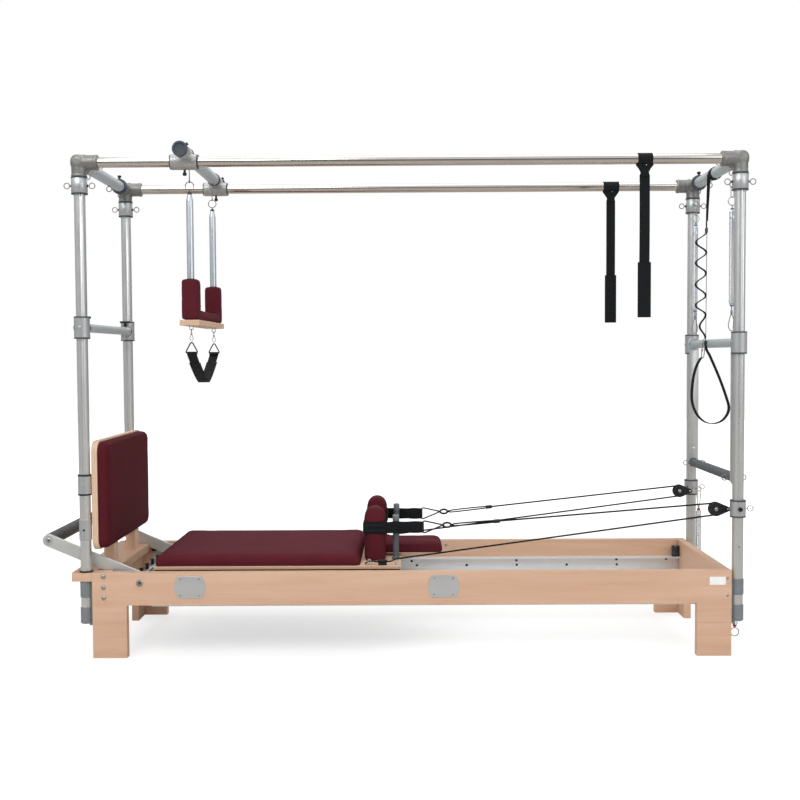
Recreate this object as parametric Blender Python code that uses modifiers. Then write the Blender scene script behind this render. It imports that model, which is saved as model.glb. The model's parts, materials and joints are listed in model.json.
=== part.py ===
"""Combo pilates reformer: a wooden reformer with a rolling carriage under a four-post tower.

Metres, +Z up. -Y is the near side, +Y the far side, -X the foot end and +X the head end. Everything is
laid out about the middle of the wooden frame, and the last function moves it along X so that the whole
object's box is centred on the origin.
"""
from math import asin, atan2, cos, pi, radians, sin, sqrt

import bmesh
import bpy
from mathutils import Matrix, Vector

CLEARANCE = 0.0003
RUNNING = 0.0005
TURNING = 0.0002

# Wooden frame
FRAME_LENGTH = 2.44
FRAME_WIDTH = 0.72
RAIL_THICKNESS = 0.033
RAIL_BOTTOM = 0.203
RAIL_HEIGHT = 0.126
LEG_WIDTH = 0.131
LEG_RETURN = 0.139
LEG_RETURN_THICKNESS = 0.030
LEG_FILLET = 0.006
LEG_SEAM_HEIGHT = 0.128
SEAM_WIDTH = 0.0012
SEAM_DEPTH = 0.0012
END_BOARD_THICKNESS = 0.030
PLATFORM_THICKNESS = 0.033
PLATFORM_OVERHANG = 0.079
PLATFORM_INSIDE = 0.066
PLATFORM_CORNER = 0.008
PLATFORM_SLOT_START = -1.214
PLATFORM_SLOT_WIDTH = 0.018

# Tracks and stops
TRACK_WIDTH = 0.037
TRACK_BOTTOM = 0.192
TRACK_TOP = 0.257
TRACK_FLANGE = 0.006
TRACK_START = -1.000
BUMPER_DIAMETER = 0.032
BUMPER_HEIGHT = 0.047

# Tower
POST_DIAMETER = 0.042
POST_GAP = 0.007
POST_INSET = 0.025
POST_FOOT = 0.1315
SLEEVE_WALL = 0.0025
SLEEVE_HEIGHT = 0.061
UPPER_SLEEVE = 0.233
LOWER_SLEEVE = 0.1335
BRACKET_WIDTH = 0.026
BRACKET_BOTTOM = 0.125
TOP_RAIL_HEIGHT = 1.887
TOP_RAIL_DIAMETER = 0.038
CROSS_TUBE_DIAMETER = 0.045
FITTING_DIAMETER = 0.059
FITTING_ARM = 0.072
FITTING_CORNER = 0.012
COLLAR_DROP = 0.0542  # from the top rail's axis to the top of each upper collar
COLLAR_TOP = TOP_RAIL_HEIGHT - COLLAR_DROP
COLLAR_HEIGHT = 0.065
EYE_DIAMETER = 0.0255
EYE_WIRE = 0.0042
EYE_REACH = 0.048

# Adjustable bars on the posts
CLAMP_DIAMETER = 0.060
CLAMP_HEIGHT = 0.085
FOOT_BAR_HEIGHT = 1.265
FOOT_BAR_DIAMETER = 0.033
HEAD_BAR_HEIGHT = 1.194
HEAD_BAR_DIAMETER = 0.035
STORED_COLLAR_BOTTOM = 0.625
STORED_COLLAR_HEIGHT = 0.080
STORED_COLLAR_DIAMETER = 0.052
PIN_SLEEVE_BOTTOM = 0.453
PIN_SLEEVE_HEIGHT = 0.080
PUSH_ARM_WIDTH = 0.040
PUSH_ARM_THICKNESS = 0.006
PUSH_ARM_Y = 0.300
PUSH_GRIP_DROP = 0.519
PUSH_GRIP_DIAMETER = 0.037

# Pulleys and ropes
PULLEY_COLLAR_BOTTOM = 0.529
PULLEY_COLLAR_HEIGHT = 0.066
SHEAVE_X = 1.180
SHEAVE_Y = 0.277
SHEAVE_Z = 0.552
SHEAVE_RADIUS = 0.0235
SHEAVE_WIDTH = 0.014
PULLEY_CHEEK = 0.0035
PULLEY_CHEEK_RADIUS = 0.0275
AXLE_RADIUS = 0.004
ROPE_DIAMETER = 0.0066

# Carriage
CARRIAGE_LEFT = -0.9985
CARRIAGE_RIGHT = -0.040
CARRIAGE_WIDTH = 0.610
CARRIAGE_PLY = 0.024
CARRIAGE_TOP = 0.341
MAT_RIGHT = -0.194
MAT_THICKNESS = 0.0465
HEADREST_RIGHT = 0.126
HEADREST_WIDTH = 0.200
HEADREST_HINGE_X = -0.186
HEADREST_HINGE_Z = 0.385
HEADREST_BOTTOM = 0.358
HEADREST_THICKNESS = 0.046
SHOULDER_X = -0.143
SHOULDER_Y = 0.152
SHOULDER_LENGTH = 0.084
SHOULDER_WIDTH = 0.088
SHOULDER_HEIGHT = 0.217
ROPE_POST_X = -0.060
ROPE_POST_Y = 0.160
ROPE_POST_DIAMETER = 0.024
ROPE_POST_HEIGHT = 0.172
WHEEL_DIAMETER = 0.046
WHEEL_WIDTH = 0.018
WHEEL_Y = 0.3065
WHEEL_LEFT = -0.930
WHEEL_RIGHT = -0.120
LOOP_HEIGHT = 0.050
LOOP_CENTRE_Z = 0.4714
LOOP_THICKNESS = 0.0045
LOOP_END_X = 0.046
LOOP_APEX_X = 0.130
LOOP_TAIL_Y = 0.183
LOOP_WIRE = 0.0045
LINK_LENGTH = 0.036
LINK_HEIGHT = 0.020

# Foot end
FOOTBAR_PIVOT_X = -1.038
FOOTBAR_PIVOT_Z = 0.2897
FOOTBAR_REACH = 0.397
FOOTBAR_ANGLE = 22.8
FOOTBAR_ARM_WIDTH = 0.048
FOOTBAR_ARM_THICKNESS = 0.012
FOOTBAR_ARM_Y = 0.291
FOOTBAR_TUBE_DIAMETER = 0.050
SPRING_BAR_X = -1.092
SPRING_BAR_Z = 0.262
SPRING_BAR_THICKNESS = 0.024
SPRING_ANCHOR_X = -0.640
SPRING_DIAMETER = 0.022
SPRING_PITCH = 0.095
JUMPBOARD_LEFT = -1.2213
JUMPBOARD_PLY = 0.022
JUMPBOARD_WIDTH = 0.680
JUMPBOARD_BOTTOM = 0.410
JUMPBOARD_HEIGHT = 0.421
JUMPBOARD_PAD = 0.036
JUMPBOARD_CORNER = 0.045
JUMPBOARD_LEG = (0.042, 0.060)
JUMPBOARD_LEG_Y = 0.165
JUMPBOARD_LEG_DROP = 0.148

# Trapeze
CARRIER_X = -0.8495
CARRIER_TUBE_RISE = 0.0355  # the carrier's tube lies this far above the top rails
CARRIER_TUBE_HEIGHT = TOP_RAIL_HEIGHT + CARRIER_TUBE_RISE
CARRIER_TUBE_DIAMETER = 0.048
CARRIER_HALF_LENGTH = 0.420
CARRIER_CAP_DIAMETER = 0.0585
CARRIER_SLEEVE_LENGTH = 0.107
TRAPEZE_Y = 0.243
TRAPEZE_RING_DROP = 0.076
TRAPEZE_RING_HEIGHT = TOP_RAIL_HEIGHT - TRAPEZE_RING_DROP
HANG_PLAY = 0.0005  # free height between a trapeze ring and the eye that it hangs in
TRAPEZE_RING_DIAMETER = 0.0366
TRAPEZE_TUBE_DIAMETER = 0.0275
TRAPEZE_TIP_DROP = 0.0245
TRAPEZE_TIP_HEIGHT = TRAPEZE_RING_HEIGHT - TRAPEZE_TIP_DROP
TRAPEZE_PAD_TOP = 1.4536
TRAPEZE_PAD_WIDTH = 0.065
TRAPEZE_PAD_THICKNESS = 0.058
TRAPEZE_SEAT_THICKNESS = 0.036
TRAPEZE_BOARD_TOP = 1.2945
TRAPEZE_BOARD_THICKNESS = 0.0217
TRAPEZE_BOARD_WIDTH = 0.077
TRAPEZE_BOARD_LENGTH = 0.560
SLING_RING_HEIGHT = 1.186
SLING_WIDTH = 0.045
SLING_THICKNESS = 0.005
SLING_BOTTOM = 1.047

# Hanging straps, arm springs and daisy chain
STRAP_X = 0.888
STRAP_WIDTH = 0.039
STRAP_THICKNESS = 0.005
STRAP_CUFF_TOP = 1.500
STRAP_CUFF_WIDTH = 0.050
STRAP_CUFF_THICKNESS = 0.012
STRAP_BOTTOM = 1.292
ARM_SPRING_Y = 0.262
ARM_SPRING_DIAMETER = 0.023
ARM_SPRING_WIRE = 0.0038
SPRING_RING_DIAMETER = 0.036
SPRING_HOOK_WIRE = 0.0034
SPRING_TIP_RADIUS = 0.0026
UPPER_SPRING_X = 1.241
UPPER_SPRING_DROP = 0.1218
UPPER_SPRING_TOP = COLLAR_TOP - UPPER_SPRING_DROP
UPPER_SPRING_LENGTH = 0.377
UPPER_SPRING_CURLS = 9
LOWER_SPRING_X = 1.262
LOWER_SPRING_TOP = 0.477
LOWER_SPRING_LENGTH = 0.390
LOWER_SPRING_CURLS = 7
DAISY_Y = 0.045
DAISY_WIDTH = 0.016
DAISY_THICKNESS = 0.0024
# The daisy chain's straight run in the X-Z plane: its neck, and its foot beside the head bar
DAISY_NECK_DROP = 0.187
DAISY_NECK = (1.2300, TOP_RAIL_HEIGHT - DAISY_NECK_DROP)
DAISY_FOOT = (1.2280, 1.2000)
DAISY_BUCKLE = 1.655  # where the first sewn wave starts
# Each wave of the sewn strap: the height where it meets the straight run again, and its depth
DAISY_WAVES = [(1.5702, 0.043), (1.4850, 0.043), (1.3928, 0.043), (1.3142, 0.042), (1.2183, 0.024)]
DAISY_HOOK = [(1.2270, 1.2150), (1.2200, 1.2120), (1.2110, 1.1420), (1.2155, 1.1350), (1.2205, 1.1420)]
DAISY_LOOP = [
    (1.2275, 1.2050), (1.2265, 1.1870), (1.2330, 1.1660), (1.2480, 1.1380), (1.2900, 1.0450), (1.3200, 0.9650),
    (1.3290, 0.9300), (1.3220, 0.9000), (1.2980, 0.8730), (1.2620, 0.8620), (1.2250, 0.8700), (1.1950, 0.8980),
    (1.1760, 0.9400), (1.1710, 0.9850), (1.1770, 1.0500), (1.1880, 1.0950), (1.2050, 1.1300), (1.2150, 1.1370),
]

# Worked out from the sizes above
HALF_LENGTH = FRAME_LENGTH / 2
HALF_WIDTH = FRAME_WIDTH / 2
INNER_Y = HALF_WIDTH - RAIL_THICKNESS
RAIL_TOP = RAIL_BOTTOM + RAIL_HEIGHT
POST_RADIUS = POST_DIAMETER / 2
POST_X = HALF_LENGTH + POST_GAP + POST_RADIUS
POST_Y = HALF_WIDTH - POST_INSET
TOP_RAIL_RADIUS = TOP_RAIL_DIAMETER / 2
CROSS_TUBE_RADIUS = CROSS_TUBE_DIAMETER / 2
FITTING_RADIUS = FITTING_DIAMETER / 2
POST_TOP = TOP_RAIL_HEIGHT - CROSS_TUBE_RADIUS - 0.004
TOP_RAIL_END = POST_X - CROSS_TUBE_RADIUS - 0.004
WHEEL_Z = TRACK_TOP + CLEARANCE + WHEEL_DIAMETER / 2
CARRIAGE_UNDER = CARRIAGE_TOP - CARRIAGE_PLY
MAT_TOP = CARRIAGE_TOP + CLEARANCE + MAT_THICKNESS
EYE_RADIUS = (EYE_DIAMETER - EYE_WIRE) / 2
ROPE_RADIUS = ROPE_DIAMETER / 2
ROPE_WRAP = SHEAVE_RADIUS - 0.0008
SHEAVE_GROOVE = ROPE_WRAP - ROPE_RADIUS - CLEARANCE
TRAPEZE_RING_RADIUS = (TRAPEZE_RING_DIAMETER - 0.0036) / 2
FOOTBAR_GRIP = (
    FOOTBAR_PIVOT_X - FOOTBAR_REACH * cos(radians(FOOTBAR_ANGLE)),
    FOOTBAR_PIVOT_Z + FOOTBAR_REACH * sin(radians(FOOTBAR_ANGLE)),
)

# The post's sides, which every bore round a post repeats so that the two never cross
ROUND = 12

BEECH = ((0.72, 0.50, 0.34), 0.50, 0.0)
PLY = ((0.80, 0.62, 0.44), 0.50, 0.0)
MAROON = ((0.13, 0.030, 0.037), 0.62, 0.0)
ANODISED = ((0.62, 0.64, 0.66), 0.34, 0.9)
CAST = ((0.42, 0.41, 0.40), 0.42, 0.8)
STAINLESS = ((0.66, 0.63, 0.60), 0.22, 1.0)
STEEL = ((0.62, 0.62, 0.62), 0.28, 1.0)
PAINTED = ((0.50, 0.52, 0.53), 0.45, 0.3)
DARK_GREY = ((0.090, 0.100, 0.110), 0.55, 0.0)
BLACK = ((0.020, 0.021, 0.023), 0.55, 0.0)
WEBBING = ((0.012, 0.013, 0.014), 0.85, 0.0)


def clear_scene():
    for obj in list(bpy.data.objects):
        bpy.data.objects.remove(obj, do_unlink=True)


def finish_of(name, look):
    """A Principled material with the part's colour, roughness and metallic value."""
    colour, roughness, metallic = look
    made = bpy.data.materials.new(name)
    made.use_nodes = True
    shader = made.node_tree.nodes["Principled BSDF"]
    shader.inputs["Base Color"].default_value = (*colour, 1.0)
    shader.inputs["Roughness"].default_value = roughness
    shader.inputs["Metallic"].default_value = metallic
    return made


def add_mesh(name, bm):
    mesh = bpy.data.meshes.new(name)
    bmesh.ops.recalc_face_normals(bm, faces=bm.faces)
    bm.to_mesh(mesh)
    bm.free()
    obj = bpy.data.objects.new(name, mesh)
    bpy.context.collection.objects.link(obj)
    return obj


def settle(obj):
    """Turns a curve, or an object with modifiers, into a plain mesh in world coordinates."""
    bpy.context.view_layer.update()
    graph = bpy.context.evaluated_depsgraph_get()
    mesh = bpy.data.meshes.new_from_object(obj.evaluated_get(graph))
    mesh.transform(obj.matrix_world)
    name = obj.name
    bpy.data.objects.remove(obj, do_unlink=True)
    plain = bpy.data.objects.new(name, mesh)
    bpy.context.collection.objects.link(plain)
    return plain


def box(low, high, rounding=0.0, segments=2):
    """A cube primitive stretched between two corners, its edges rounded if asked."""
    bm = bmesh.new()
    bmesh.ops.create_cube(bm, size=1.0)
    low, high = Vector(low), Vector(high)
    for corner in bm.verts:
        corner.co = Vector((low[i] + (corner.co[i] + 0.5) * (high[i] - low[i]) for i in range(3)))
    if rounding:
        bmesh.ops.bevel(bm, geom=bm.edges[:], offset=rounding, segments=segments, affect="EDGES", profile=0.5)
    return add_mesh("box", bm)


def between(start, end):
    """The matrix that takes a unit primitive along Z onto the line from start to end."""
    start, end = Vector(start), Vector(end)
    turn = (end - start).to_track_quat("Z", "Y").to_matrix().to_4x4()
    return Matrix.Translation((start + end) / 2) @ turn


def rod(start, end, radius, end_radius=None, sides=ROUND):
    """A cylinder, or a cone when end_radius differs, between two points."""
    bm = bmesh.new()
    length = (Vector(end) - Vector(start)).length
    top = radius if end_radius is None else end_radius
    bmesh.ops.create_cone(bm, cap_ends=True, segments=sides, radius1=radius, radius2=top, depth=length)
    bmesh.ops.transform(bm, matrix=between(start, end), verts=bm.verts)
    return add_mesh("rod", bm)


def ring(centre, axis, radius, wire, around=8, across=4):
    """A torus primitive: radius to the wire's centre line, wire as its thickness."""
    bpy.ops.mesh.primitive_torus_add(
        major_radius=radius, minor_radius=wire / 2, major_segments=around, minor_segments=across
    )
    made = bpy.context.object
    turn = Vector(axis).to_track_quat("Z", "Y").to_matrix().to_4x4()
    made.matrix_world = Matrix.Translation(Vector(centre)) @ turn
    return settle(made)


def turned(profile, start, axis, sides=ROUND):
    """A profile of (radius, height) points turned once round the line from start along axis."""
    mesh = bpy.data.meshes.new("turned")
    points = [(r, 0.0, z) for r, z in profile]
    mesh.from_pydata(points, [(i, i + 1) for i in range(len(points) - 1)], [])
    made = bpy.data.objects.new("turned", mesh)
    bpy.context.collection.objects.link(made)
    screw = made.modifiers.new("Screw", "SCREW")
    screw.angle = 2 * pi
    screw.steps = screw.render_steps = sides
    screw.use_merge_vertices = True
    screw.merge_threshold = 1e-5
    screw.use_normal_calculate = True
    turn = Vector(axis).to_track_quat("Z", "Y").to_matrix().to_4x4()
    made.matrix_world = Matrix.Translation(Vector(start)) @ turn
    made = settle(made)
    bm = bmesh.new()
    bm.from_mesh(made.data)
    bmesh.ops.remove_doubles(bm, verts=bm.verts, dist=1e-6)
    bmesh.ops.recalc_face_normals(bm, faces=bm.faces)
    bm.to_mesh(made.data)
    bm.free()
    return made


def tube(points, thickness, closed=False, fine=0):
    """A round bar along a route: a curve with a bevel depth and filled ends."""
    curve = bpy.data.curves.new("tube", "CURVE")
    curve.dimensions = "3D"
    curve.bevel_depth = thickness / 2
    curve.bevel_resolution = fine
    curve.use_fill_caps = True
    route = curve.splines.new("POLY")
    route.points.add(len(points) - 1)
    for place, point in zip(route.points, points):
        place.co = (*point, 1.0)
    route.use_cyclic_u = closed
    made = bpy.data.objects.new("tube", curve)
    bpy.context.collection.objects.link(made)
    return weld(settle(made))


def weld(obj, distance=1e-6):
    """Merges double points and the facets that lie in one plane."""
    bm = bmesh.new()
    bm.from_mesh(obj.data)
    bmesh.ops.remove_doubles(bm, verts=bm.verts, dist=distance)
    bmesh.ops.dissolve_limit(bm, angle_limit=radians(0.05), verts=bm.verts, edges=bm.edges)
    bmesh.ops.recalc_face_normals(bm, faces=bm.faces)
    bm.to_mesh(obj.data)
    bm.free()
    return obj


def plate(outline, thickness, plane, middle, holes=()):
    """A flat outline with its holes, filled and extruded. plane is XY, XZ or YZ; middle is along its normal."""
    curve = bpy.data.curves.new("plate", "CURVE")
    curve.dimensions = "2D"
    curve.fill_mode = "BOTH"
    curve.extrude = thickness / 2
    for loop in (outline, *holes):
        route = curve.splines.new("POLY")
        route.points.add(len(loop) - 1)
        for place, (u, v) in zip(route.points, loop):
            place.co = (u, v, 0.0, 1.0)
        route.use_cyclic_u = True
    made = bpy.data.objects.new("plate", curve)
    bpy.context.collection.objects.link(made)
    columns = {
        "XY": ((1, 0, 0), (0, 1, 0), (0, 0, 1)),
        "XZ": ((1, 0, 0), (0, 0, 1), (0, -1, 0)),
        "YZ": ((0, 1, 0), (0, 0, 1), (1, 0, 0)),
    }[plane]
    turn = Matrix(columns).transposed().to_4x4()
    offset = Vector(columns[2]) * (-middle if plane == "XZ" else middle)
    made.matrix_world = Matrix.Translation(offset) @ turn
    return weld(settle(made))


def arc(centre, radius, start, end, steps):
    """Points of an arc in a plate's own plane, angles in degrees."""
    angles = [radians(start + (end - start) * i / steps) for i in range(steps + 1)]
    return [(centre[0] + radius * cos(a), centre[1] + radius * sin(a)) for a in angles]


def rounded_rectangle(half_u, half_v, corner, steps=4, centre=(0.0, 0.0)):
    corner = max(corner, 0.0005)
    loop = []
    for sign_u, sign_v, start in ((1, 1, 0), (-1, 1, 90), (-1, -1, 180), (1, -1, 270)):
        middle = (centre[0] + sign_u * (half_u - corner), centre[1] + sign_v * (half_v - corner))
        loop += arc(middle, corner, start, start + 90, steps)
    return loop


def lofted(rings):
    """Skins rings of equally many points one after another and caps both ends."""
    bm = bmesh.new()
    made = [[bm.verts.new(point) for point in loop] for loop in rings]
    count = len(rings[0])
    for lower, upper in zip(made, made[1:]):
        for i in range(count):
            j = (i + 1) % count
            bm.faces.new((lower[i], lower[j], upper[j], upper[i]))
    bm.faces.new(made[0])
    bm.faces.new(made[-1])
    return add_mesh("loft", bm)


def boolean(base, others, operation):
    for other in others:
        step = base.modifiers.new(operation, "BOOLEAN")
        step.operation = operation
        step.solver = "EXACT"
        step.object = other
    base = weld(settle(base))
    for other in others:
        bpy.data.objects.remove(other, do_unlink=True)
    return base


def join(base, *others):
    return boolean(base, others, "UNION")


def cut(base, *others):
    return boolean(base, others, "DIFFERENCE")


def node(obj, name, look, origin=None):
    """Names a finished piece, gives it its material and puts its origin where its joint turns."""
    obj.name = name
    obj.data.name = name
    obj.data.materials.clear()
    obj.data.materials.append(finish_of(name + "_finish", look))
    if origin is not None:
        obj.data.transform(Matrix.Translation(-Vector(origin)))
        obj.location = Vector(origin)
    return obj


def sides():
    """The near and the far side: name and sign of Y."""
    return (("near", -1), ("far", 1))


def eye(centre, axis, foot):
    """A ring with its stem, as screwed into collars and tubes for hooking springs."""
    return ring(centre, axis, EYE_RADIUS, EYE_WIRE), rod(foot, stem_end(centre, foot), EYE_WIRE * 0.6, sides=4)


def stem_end(centre, foot):
    centre, foot = Vector(centre), Vector(foot)
    return centre + (foot - centre).normalized() * (EYE_RADIUS - EYE_WIRE * 0.2)


def inboard_eye(x, sign, height):
    """The eye on a head-end collar that an arm spring hangs on, its ring square to the spring's hook."""
    foot = (POST_X, sign * (POST_Y - POST_RADIUS - 0.004), height)
    centre = (x, sign * ARM_SPRING_Y, height)
    return eye(centre, (1, 0, 0), foot)


def turning_bore(radius):
    """The radius of a bore whose flats clear a round bar's corners when one turns inside the other."""
    return radius / cos(pi / ROUND) + TURNING


def post_bore(x, y, low, high):
    return rod((x, y, low), (x, y, high), POST_RADIUS + RUNNING)


# Wooden frame

def side_rail(side, sign):
    """One side board with its two legs: an outline with filleted inner corners, and an L-shaped leg each end."""
    inner_leg = HALF_LENGTH - LEG_WIDTH
    outline = [(-HALF_LENGTH, 0.0), (-inner_leg, 0.0)]
    outline += arc((-inner_leg + LEG_FILLET, RAIL_BOTTOM - LEG_FILLET), LEG_FILLET, 180, 90, 3)
    outline += arc((inner_leg - LEG_FILLET, RAIL_BOTTOM - LEG_FILLET), LEG_FILLET, 90, 0, 3)
    outline += [(inner_leg, 0.0), (HALF_LENGTH, 0.0), (HALF_LENGTH, RAIL_TOP), (-HALF_LENGTH, RAIL_TOP)]
    rail = plate(outline, RAIL_THICKNESS, "XZ", sign * (HALF_WIDTH - RAIL_THICKNESS / 2))
    inner, outer = sorted((sign * (HALF_WIDTH - LEG_RETURN), sign * (HALF_WIDTH - RAIL_THICKNESS / 2)))
    returns = [
        box(
            (min(end * HALF_LENGTH, end * (HALF_LENGTH - LEG_RETURN_THICKNESS)), inner, 0.0),
            (max(end * HALF_LENGTH, end * (HALF_LENGTH - LEG_RETURN_THICKNESS)), outer, RAIL_BOTTOM - CLEARANCE),
        )
        for end in (-1, 1)
    ]
    rail = join(rail, *returns)
    seam = box(
        (HALF_LENGTH - LEG_WIDTH - 0.01, sign * HALF_WIDTH - SEAM_DEPTH, LEG_SEAM_HEIGHT - SEAM_WIDTH / 2),
        (HALF_LENGTH + 0.01, sign * HALF_WIDTH + SEAM_DEPTH, LEG_SEAM_HEIGHT + SEAM_WIDTH / 2),
    )
    return node(cut(rail, seam), f"{side}_side_rail", BEECH)


def head_end_board():
    board = box(
        (HALF_LENGTH - END_BOARD_THICKNESS, -INNER_Y + CLEARANCE, RAIL_BOTTOM),
        (HALF_LENGTH, INNER_Y - CLEARANCE, RAIL_TOP),
        0.002,
        1,
    )
    return node(board, "head_end_board", BEECH)


def foot_platform():
    """The standing platform: a T-shaped plate over the foot end with its end board, post holes and leg sockets."""
    plate_low = RAIL_TOP - PLATFORM_THICKNESS
    outside = -HALF_LENGTH - CLEARANCE
    left = -HALF_LENGTH - PLATFORM_OVERHANG
    inside = -HALF_LENGTH + PLATFORM_INSIDE
    narrow = INNER_Y - CLEARANCE
    corner = PLATFORM_CORNER
    outline = [(inside, -narrow), (inside, narrow), (outside, narrow), (outside, HALF_WIDTH)]
    outline += arc((left + corner, HALF_WIDTH - corner), corner, 90, 180, 3)
    outline += arc((left + corner, -HALF_WIDTH + corner), corner, 180, 270, 3)
    outline += [(outside, -HALF_WIDTH), (outside, -narrow)]
    top = plate(outline, PLATFORM_THICKNESS, "XY", RAIL_TOP - PLATFORM_THICKNESS / 2)
    end_board = box(
        (-HALF_LENGTH, -narrow, RAIL_BOTTOM),
        (-HALF_LENGTH + END_BOARD_THICKNESS, narrow, plate_low + 0.002),
    )
    platform = join(top, end_board)
    holes = [post_bore(-POST_X, sign * POST_Y, plate_low - 0.02, RAIL_TOP + 0.02) for _, sign in sides()]
    return node(cut(platform, *holes, *leg_sockets(), *footbar_slots()), "foot_platform", BEECH)


def footbar_slots():
    """The gaps in the platform's inner edge that the footbar's arms pass through."""
    low, high = RAIL_TOP - PLATFORM_THICKNESS - 0.002, RAIL_TOP + 0.02
    half = PLATFORM_SLOT_WIDTH / 2
    right = -HALF_LENGTH + PLATFORM_INSIDE + 0.02
    return [
        box((PLATFORM_SLOT_START, sign * FOOTBAR_ARM_Y - half, low), (right, sign * FOOTBAR_ARM_Y + half, high))
        for _, sign in sides()
    ]


def leg_box(sign, grow, low, high):
    """The space of one jumpboard leg, grown on its four sides for the socket."""
    half = JUMPBOARD_LEG[1] / 2 + grow
    left = JUMPBOARD_LEFT + 0.002 - grow
    right = JUMPBOARD_LEFT + 0.002 + JUMPBOARD_LEG[0] + grow
    return box((left, sign * JUMPBOARD_LEG_Y - half, low), (right, sign * JUMPBOARD_LEG_Y + half, high))


def leg_sockets():
    bottom = JUMPBOARD_BOTTOM - JUMPBOARD_LEG_DROP - CLEARANCE
    return [leg_box(sign, RUNNING, bottom, RAIL_TOP + 0.02) for _, sign in sides()]


def track(side, sign):
    """An aluminium channel screwed to the rail's inner face, its bumper standing at the head end."""
    wall = sign * (INNER_Y - CLEARANCE)
    lip = sign * (INNER_Y - CLEARANCE - TRACK_WIDTH)
    web = sign * (INNER_Y - CLEARANCE - TRACK_FLANGE)
    outline = [
        (wall, TRACK_BOTTOM),
        (lip, TRACK_BOTTOM),
        (lip, TRACK_BOTTOM + TRACK_FLANGE),
        (web, TRACK_BOTTOM + TRACK_FLANGE),
        (web, TRACK_TOP - TRACK_FLANGE),
        (lip, TRACK_TOP - TRACK_FLANGE),
        (lip, TRACK_TOP),
        (wall, TRACK_TOP),
    ]
    if sign < 0:
        outline.reverse()
    end = HALF_LENGTH - END_BOARD_THICKNESS - CLEARANCE
    channel = plate(outline, end - TRACK_START, "YZ", (end + TRACK_START) / 2)
    bumper_x = end - BUMPER_DIAMETER / 2 - 0.001
    bumper_y = sign * (INNER_Y - CLEARANCE - TRACK_WIDTH / 2)
    bumper = rod(
        (bumper_x, bumper_y, TRACK_TOP - 0.003),
        (bumper_x, bumper_y, TRACK_TOP + BUMPER_HEIGHT),
        BUMPER_DIAMETER / 2,
    )
    return node(join(channel, bumper), f"{side}_track", ANODISED)


def spring_bar():
    """The bar that the carriage springs hook on, between two bracket plates, with a knob on each plate."""
    plate_y = INNER_Y - CLEARANCE
    pieces = []
    for _, sign in sides():
        bracket = box(
            (SPRING_BAR_X - 0.055, min(sign * plate_y, sign * (plate_y - 0.005)), 0.218),
            (FOOTBAR_PIVOT_X + 0.030, max(sign * plate_y, sign * (plate_y - 0.005)), 0.322),
            0.0015,
            1,
        )
        knob_x, knob_y, knob_z = SPRING_BAR_X - 0.030, plate_y - 0.004, 0.300
        knob = rod((knob_x, sign * knob_y, knob_z), (knob_x, sign * (knob_y - 0.024), knob_z), 0.015, sides=6)
        pieces += [bracket, knob]
    half = SPRING_BAR_THICKNESS / 2
    bar = box(
        (SPRING_BAR_X - half, -plate_y + 0.002, SPRING_BAR_Z - half),
        (SPRING_BAR_X + half, plate_y - 0.002, SPRING_BAR_Z + half),
    )
    hook_x = SPRING_BAR_X - 0.004
    for i in range(-2, 3):
        y = i * SPRING_PITCH
        pieces.append(rod((hook_x, y, SPRING_BAR_Z), (hook_x, y, SPRING_BAR_Z + 0.034), 0.008, 0.0095, 6))
    return node(join(bar, *pieces), "spring_bar", ANODISED)


# Tower

def post(end_name, side, end, sign):
    """A grooved aluminium post with the plastic sleeves and the strip that fix it to the frame's end."""
    x, y = end * POST_X, sign * POST_Y
    column = rod((x, y, POST_FOOT), (x, y, POST_TOP), POST_RADIUS)
    pieces = []
    for bottom in (UPPER_SLEEVE, LOWER_SLEEVE):
        pieces.append(rod((x, y, bottom), (x, y, bottom + SLEEVE_HEIGHT), POST_RADIUS + SLEEVE_WALL))
    strip = sorted((end * (HALF_LENGTH + CLEARANCE), end * (POST_X - POST_RADIUS * 0.6)))
    strip_top = UPPER_SLEEVE + SLEEVE_HEIGHT
    half = BRACKET_WIDTH / 2
    pieces.append(box((strip[0], y - half, BRACKET_BOTTOM), (strip[1], y + half, strip_top)))
    if end < 0:
        for bottom, height, radius in (
            (STORED_COLLAR_BOTTOM, STORED_COLLAR_HEIGHT, STORED_COLLAR_DIAMETER / 2),
            (PIN_SLEEVE_BOTTOM, PIN_SLEEVE_HEIGHT, POST_RADIUS + SLEEVE_WALL),
        ):
            pieces.append(rod((x, y, bottom), (x, y, bottom + height), radius))
    return node(join(column, *pieces), f"{end_name}_{side}_post", ANODISED)


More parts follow.
